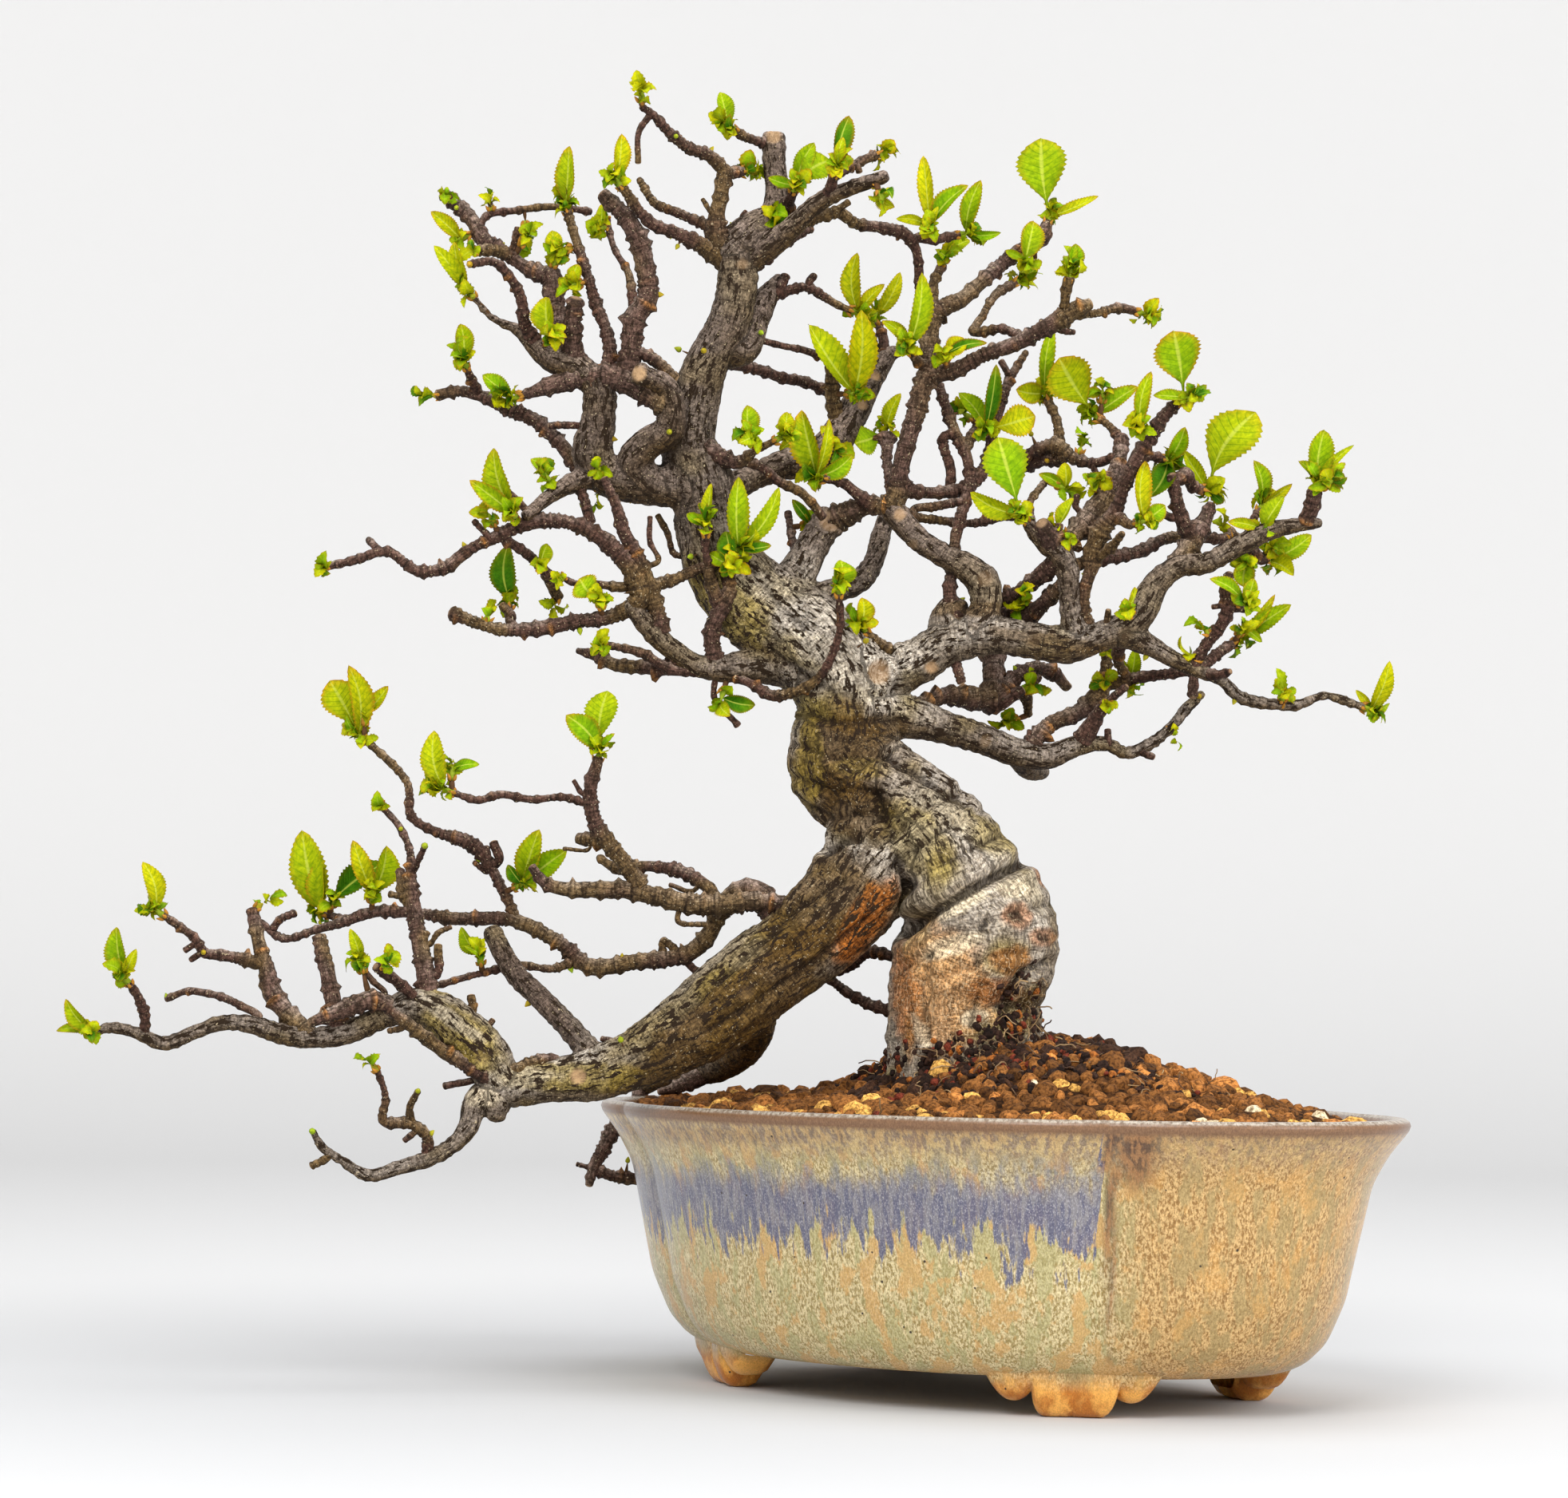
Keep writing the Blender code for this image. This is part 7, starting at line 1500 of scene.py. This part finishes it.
def make_grains(material):
    """Grains of baked clay heaped over the soil, and the dark litter round the trunk."""
    rng = random.Random(21)
    ground = search_tree(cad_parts["soil"])
    wood = search_tree(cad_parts["wood"])
    shapes, shape_faces = stone_shapes(rng, 14)
    placed, parts = [], []
    trunk = place(1205, 1340, 0)
    tries = 0
    while len(placed) < GRAIN_COUNT and tries < 40000:
        tries += 1
        x, y = rng.uniform(-112.0, 112.0), rng.uniform(-92.0, 92.0)
        if not within_pot(x, y, 113.0, POT_WALL + 1.6):
            continue
        hit = ground.ray_cast(Vector(((x + POT_MIDDLE) * MM, y * MM, 0.2)), Vector((0.0, 0.0, -1.0)))[0]
        if hit is None or hit.z < 0.05:
            continue
        z = hit.z / MM
        size = min(rng.lognormvariate(math.log(2.4), 0.32), 4.2)
        spot = (x, y, z)
        if any((spot[0] - p[0]) ** 2 + (spot[1] - p[1]) ** 2 < (0.70 * (size + p[3])) ** 2 for p in placed):
            continue
        distance = wood.find_nearest(Vector(((x + POT_MIDDLE) * MM, y * MM, z * MM)))[3] / MM
        if distance < 0.6 * size:
            continue
        placed.append((x, y, z, size))
    for x, y, z, size in placed:
        sunk = 0.25 * size + 1.6 * float(step_up(np.array(x), 50.0, 96.0))
        corners = turned(shapes[rng.randrange(len(shapes))] * size, rng)
        corners = corners + np.array((x + POT_MIDDLE, y, z - sunk))
        away = math.hypot(x + POT_MIDDLE - trunk[0] - 6.0, y - trunk[1])
        rim = not within_pot(x, y, 113.0, POT_WALL + 13.0)
        if rng.random() < 1.15 - away / 42.0:
            tint = np.array((0.045, 0.020, 0.010)) * rng.uniform(0.4, 1.8)
        elif rng.random() < (0.30 if rim and y < 0 else 0.05):
            tint = np.array((0.70, 0.38, 0.09)) * rng.uniform(0.7, 1.3)
        elif rng.random() < (0.10 if rim and x > 40.0 else 0.01):
            tint = np.array((0.76, 0.62, 0.40))
        else:
            tint = np.array((0.215, 0.085, 0.020)) * rng.lognormvariate(0.0, 0.45)
        parts.append((corners, shape_faces, np.tile(tint, (len(corners), 1))))
    corners, faces, tints = gather(parts)
    grains = new_mesh("soil_top", corners, faces, material, smooth=False)
    paint(grains, "tint", tints)
    finish_piece(grains, "soil_grains")
    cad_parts["soil"].material_slots[0].material = soil_material()


def make_litter(grain_look, fibre_look):
    """Dark crumbs and rootlets heaped against the foot of the trunk."""
    rng = random.Random(33)
    ground = search_tree(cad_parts["soil"])
    wood = search_tree(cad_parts["wood"])
    shapes, shape_faces = stone_shapes(rng, 6)
    crumbs, roots = [], []
    for column, row, spread_x, spread_y, count in LITTER:
        for _ in range(count):
            c = column + rng.gauss(0.0, 0.5) * spread_x
            r = row + rng.gauss(0.0, 0.5) * spread_y
            depth = rng.uniform(-26.0, 6.0)
            start = place(c, r, -60.0)
            ray = Vector(place(c, r, 60.0) - start).normalized()
            hits = [tree.ray_cast(Vector(start * MM), ray)[0] for tree in (ground, wood)]
            hits = [hit for hit in hits if hit is not None]
            if not hits:
                continue
            spot = min(hits, key=lambda hit: hit.y)
            spot = np.array(spot[:]) / MM
            size = rng.uniform(0.5, 1.5)
            tint = np.array((0.030, 0.014, 0.009)) * rng.uniform(0.4, 1.6)
            if rng.random() < 0.22:
                tint = np.array(((0.34, 0.11, 0.02), (0.16, 0.03, 0.014))[rng.randrange(2)])
            corners = turned(shapes[rng.randrange(len(shapes))] * size, rng) + spot + np.array((0.0, -0.3, 0.2))
            crumbs.append((corners, shape_faces, np.tile(tint, (len(corners), 1))))
            if rng.random() < 0.3:
                roots.append(rootlet(spot, rng, rng.uniform(3.0, 9.0)))
    for column, row, length in HAIR_ROOTS:
        start = place(column, row, -60.0)
        ray = Vector(place(column, row, 60.0) - start).normalized()
        hit = ground.ray_cast(Vector(start * MM), ray)[0]
        if hit is not None:
            roots.append(rootlet(np.array(hit[:]) / MM, rng, length, upright=1.0))
    corners, faces, tints = gather(crumbs)
    litter = new_mesh("soil_litter", corners, faces, grain_look, smooth=False)
    paint(litter, "tint", tints)
    finish_piece(litter, "soil_grains")
    corners, faces = gather(roots)[:2]
    finish_piece(new_mesh("rootlets", corners, faces, fibre_look), "soil_grains")


def rootlet(start, rng, length, upright=0.25):
    """A thin bent root."""
    heading = np.array((rng.gauss(0.0, 1.0), rng.gauss(0.0, 1.0) - 0.5, rng.gauss(0.0, 0.5) + upright))
    heading /= np.linalg.norm(heading)
    rows = []
    spot = np.array(start)
    radius = rng.uniform(0.10, 0.22)
    for _ in range(8):
        rows.append((*spot, radius))
        spot = spot + heading * length / 7.0
        heading = heading + np.array([rng.gauss(0.0, 0.35) for _ in range(3)])
        heading[2] -= 0.12
        heading /= np.linalg.norm(heading)
    return build_tube(np.array(rows), 5, no_relief, 0.0)


# Pot

def read_table(table, value):
    low, high = zip(*table)
    return float(np.interp(value, low, high))


def pot_rows():
    """Rows (half of the long axis, height) from the middle of the underside, over the rim, to the inside."""
    knots = [(h, w) for h, w in POT_PROFILE if h < 68.0]
    heights = np.concatenate([np.linspace(POT_UNDERSIDE, 16.5, 10), np.linspace(18.5, 67.3, 34)])
    outer = [(read_table(knots, height), height) for height in heights]
    lip = [(116.6, 68.2), (117.4, 69.3), (117.0, 70.5), (115.8, 71.3), (113.9, 71.4), (112.0, 70.8),
           (110.8, 69.6), (109.8, 67.6)]
    return [(1.0, POT_UNDERSIDE), (70.0, POT_UNDERSIDE)] + outer + lip + [(106.0, 62.0), (98.0, 50.0)]


def smooth_rows(rows, times):
    """Rows with their corners rounded off."""
    table = np.array(rows)
    for _ in range(times):
        inner = 0.5 * table[1:-1] + 0.25 * (table[:-2] + table[2:])
        table = np.vstack([table[:1], inner, table[-1:]])
    return table


def make_pot(material):
    """The glazed pot with a rounded rim, and its four feet."""
    steps = 256
    table = smooth_rows(pot_rows(), 2)
    angles = 2.0 * math.pi * np.arange(steps) / steps
    corners, zone, area = [], [], []
    for half_long, height in table:
        x, y = lobed_points(angles, half_long, 0.0)
        sag = noise(np.stack([x * 0.05, y * 0.05, np.full(steps, height * 0.06)], axis=1), 4)
        swell = 1.0 + 0.0025 * sag
        ring = np.stack([x * swell + POT_MIDDLE, y * swell, np.full(steps, height)], axis=1)
        corners.append(ring)
        zone.append(glaze_zones(ring))
        area.append(glaze_areas(ring))
    corners = np.vstack(corners)
    ring = np.arange(steps)
    after = (ring + 1) % steps
    faces = []
    for row in range(len(table) - 1):
        low, high = row * steps, (row + 1) * steps
        faces += np.stack([low + ring, low + after, high + after, high + ring], axis=1).tolist()
    parts = [(corners, faces, corners[:, [0, 2, 1]], np.vstack(zone), np.vstack(area))]
    parts += [foot_part(corner) for corner in range(4)]
    corners, faces, run, zone, area = gather(parts)
    pot = new_mesh("glazed_pot", corners, faces, material)
    paint(pot, "run", run)
    paint(pot, "zone", zone)
    paint(pot, "area", area)
    finish_piece(pot, "pot_glaze", "pot")


def glaze_zones(ring):
    """How far down the blue band each corner is, how brown (brown glaze, and painted shade in the notch's groove) and
    how bare; the back mirrors the front.
    """
    seen = pixels(np.stack([ring[:, 0], -np.abs(ring[:, 1]), ring[:, 2]], axis=1))
    column, row, height = seen[:, 0], seen[:, 1], ring[:, 2]
    top = BLUE_TOP + 10.0 * step_up(column, 830.0, 1000.0) - 8.0 * step_up(column, 1000.0, 1300.0)
    bottom = BLUE_BOTTOM + 26.0 * step_up(column, 1050.0, 1340.0)
    down = (row - top) / (bottom - top) + 9.0 * step_up(column, NOTCH_COLUMN - 8.0, NOTCH_COLUMN + 4.0)
    # The notch's groove is darkened brown: painted shade in the recess, with the brown glaze that runs down it.
    groove = np.exp(-((column - NOTCH_COLUMN) / 11.0) ** 2) * (1.0 - 0.45 * step_up(row, 1560.0, 1720.0))
    stain = np.exp(-((column - 1418.0) / 40.0) ** 2) * (1.0 - step_up(row, 1440.0, 1540.0))
    shoulder = step_up(row, 1400.0, 1412.0) * (1.0 - step_up(row, 1418.0, 1450.0))
    brown = np.maximum(0.50 * shoulder, np.maximum(0.85 * groove, 0.9 * stain))
    bare = 0.3 * (1.0 - step_up(height, 9.0, 11.0))
    return np.stack([down, brown, bare], axis=1)


def glaze_areas(ring):
    """The orange side right of the notch, the streaked strip under the rim, and the lip."""
    column = pixels(ring)[:, 0]
    height = ring[:, 2]
    orange = step_up(column, NOTCH_COLUMN - 30.0, NOTCH_COLUMN + 60.0)
    under = step_up(height, 57.0, 65.0) * (1.0 - 0.4 * orange)
    return np.stack([orange, under, step_up(height, 67.3, 68.0)], axis=1)


def foot_part(corner):
    """One cloud-shaped foot under a notch, with rounded lobes."""
    base = math.pi / 4.0 + corner * math.pi / 2.0
    offsets = np.linspace(-22.0, 22.0, 89)
    angle = base + offsets / 74.0
    low = foot_depth(np.abs(offsets))
    corners = []
    for share, half_long, inset in FOOT_BULGE:
        x, y = lobed_points(angle, half_long, inset)
        height = low + (13.5 - low) * share if share > 0.0 else low - share * 3.0
        corners.append(np.stack([x + POT_MIDDLE, y, height], axis=1))
    wide = len(offsets)
    faces = [(r * wide + c, r * wide + c + 1, (r + 1) * wide + c + 1, (r + 1) * wide + c)
             for r in range(len(corners) - 1) for c in range(wide - 1)]
    stacked = np.vstack(corners)
    bare = 1.0 - step_up(stacked[:, 2] + 1.5 * noise(stacked * 0.3, 91), 6.5, 10.0)
    zone = np.stack([np.full(len(stacked), -4.0), 0.35 * (1.0 - bare), bare], axis=1)
    area = np.tile((0.7, 0.0, 0.0), (len(stacked), 1))
    return stacked, faces, stacked[:, [0, 2, 1]], zone, area


def foot_depth(offset):
    """Height of a foot's lower edge: a flat middle lobe with a shorter lobe on either side."""
    share = np.clip((offset - 7.0) / 3.8, 0.0, 1.0)
    middle = 5.0 * (1.0 - np.sqrt(1.0 - share * share))
    side = 3.6 + 5.4 * np.clip(np.abs(offset - 15.5) / 6.5, 0.0, 1.0) ** 2.2
    return np.where(offset <= 10.8, middle, side)


# Stage

def paper_material():
    """Pale paper that glows softly away from the object."""
    material, tree, shader = new_material("studio_paper", 0.95, Specular_IOR_Level=0.0)
    position = add(tree, "NewGeometry").outputs["Position"]
    flat = add(tree, "VectorMath", {0: position, 1: (1.0, 1.0, 0.0)}, operation="MULTIPLY").outputs["Vector"]
    away = add(tree, "VectorMath", {0: flat}, operation="LENGTH").outputs["Value"]
    paper = colour_mix(tree, ramp(tree, away, 0.2, 0.6), PAPER_NEAR, PAPER_FAR)
    tree.links.new(paper, shader.inputs["Base Color"])
    shader.inputs["Emission Color"].default_value = (1.0, 0.975, 0.935, 1.0)
    material.cycles.emission_sampling = "NONE"
    floor_glow = math_node(tree, "MULTIPLY", ramp(tree, away, 0.12, 0.45), FLOOR_GLOW)
    wall_glow = math_node(tree, "MULTIPLY", ramp(tree, away, 1.3, 1.95), WALL_GLOW)
    tree.links.new(math_node(tree, "ADD", floor_glow, wall_glow), shader.inputs["Emission Strength"])
    return material


def make_stage():
    """A pale floor that curves up into a wall on all sides, soft light and the camera."""
    profile = [(0.0, 0.0), (0.3, 0.0), (0.7, 0.0), (FLOOR_RADIUS, 0.0)]
    profile += [(FLOOR_RADIUS + 0.8 * math.sin(a), 0.8 - 0.8 * math.cos(a))
                for a in np.linspace(0.1, math.pi / 2.0, 14)]
    profile += [(FLOOR_RADIUS + 0.8, 2.6)]
    turns = 2.0 * math.pi * np.arange(BACKDROP_SIDES) / BACKDROP_SIDES
    corners = np.vstack([np.stack([r * np.cos(turns), r * np.sin(turns), np.full(BACKDROP_SIDES, z)], axis=1)
                         for r, z in profile[1:]] + [np.zeros((1, 3))]) / MM
    ring = np.arange(BACKDROP_SIDES)
    after = (ring + 1) % BACKDROP_SIDES
    faces = [(a, b, len(corners) - 1) for a, b in zip(ring, after)]
    for row in range(len(profile) - 2):
        low, high = row * BACKDROP_SIDES, (row + 1) * BACKDROP_SIDES
        faces += np.stack([low + ring, high + ring, high + after, low + after], axis=1).tolist()
    new_mesh("studio_backdrop", corners, faces, paper_material())
    world = bpy.data.worlds.new("studio")
    world.use_nodes = True
    world.node_tree.nodes["Background"].inputs[0].default_value = (0.98, 0.985, 1.0, 1.0)
    world.node_tree.nodes["Background"].inputs[1].default_value = WORLD_STRENGTH
    bpy.context.scene.world = world
    for name, spot, aim, size, power in LAMPS:
        add_light(name, spot, aim, size, power)
    camera = bpy.data.cameras.new("photo_view")
    camera.sensor_width = SENSOR
    camera.lens = SENSOR * VIEW_DISTANCE / (IMAGE_WIDTH * PIXEL)
    camera.shift_x = SHIFT_COLUMNS / IMAGE_WIDTH
    camera.shift_y = SHIFT_ROWS / IMAGE_WIDTH
    camera.clip_start, camera.clip_end = 0.05, 20.0
    viewer = bpy.data.objects.new("photo_view", camera)
    viewer.location = ((POT_MIDDLE - EYE_LEFT_OF_POT) * MM, -VIEW_DISTANCE * MM, EYE_HEIGHT * MM)
    viewer.rotation_euler = (math.pi / 2.0, CAMERA_ROLL, 0.0)
    bpy.context.scene.collection.objects.link(viewer)
    bpy.context.scene.camera = viewer
    bpy.context.scene.view_settings.view_transform = "Standard"


def add_light(name, place_at, aim, size, power):
    lamp = bpy.data.lights.new(name, "AREA")
    lamp.shape = "DISK"
    lamp.size = size
    lamp.energy = power
    holder = bpy.data.objects.new(name, lamp)
    holder.location = place_at
    heading = Vector(aim) - Vector(place_at)
    holder.rotation_euler = heading.to_track_quat("-Z", "Y").to_euler()
    bpy.context.scene.collection.objects.link(holder)


def build():
    routes = resolve_routes()
    bark = bark_material()
    leaf = leaf_material()
    grain = grain_material()
    make_stage()
    make_thick_wood(routes, bark)
    make_twigs(routes, bark)
    for number, (route, seat, leaves, count) in enumerate(TUFTS):
        make_tuft(number, routes, route, seat, leaves, count, leaf)
    make_more_leaves(routes, leaf)
    make_loose_buds(routes, leaf)
    make_grains(grain)
    make_litter(grain, fibre_material())
    make_pot(glaze_material())


build()
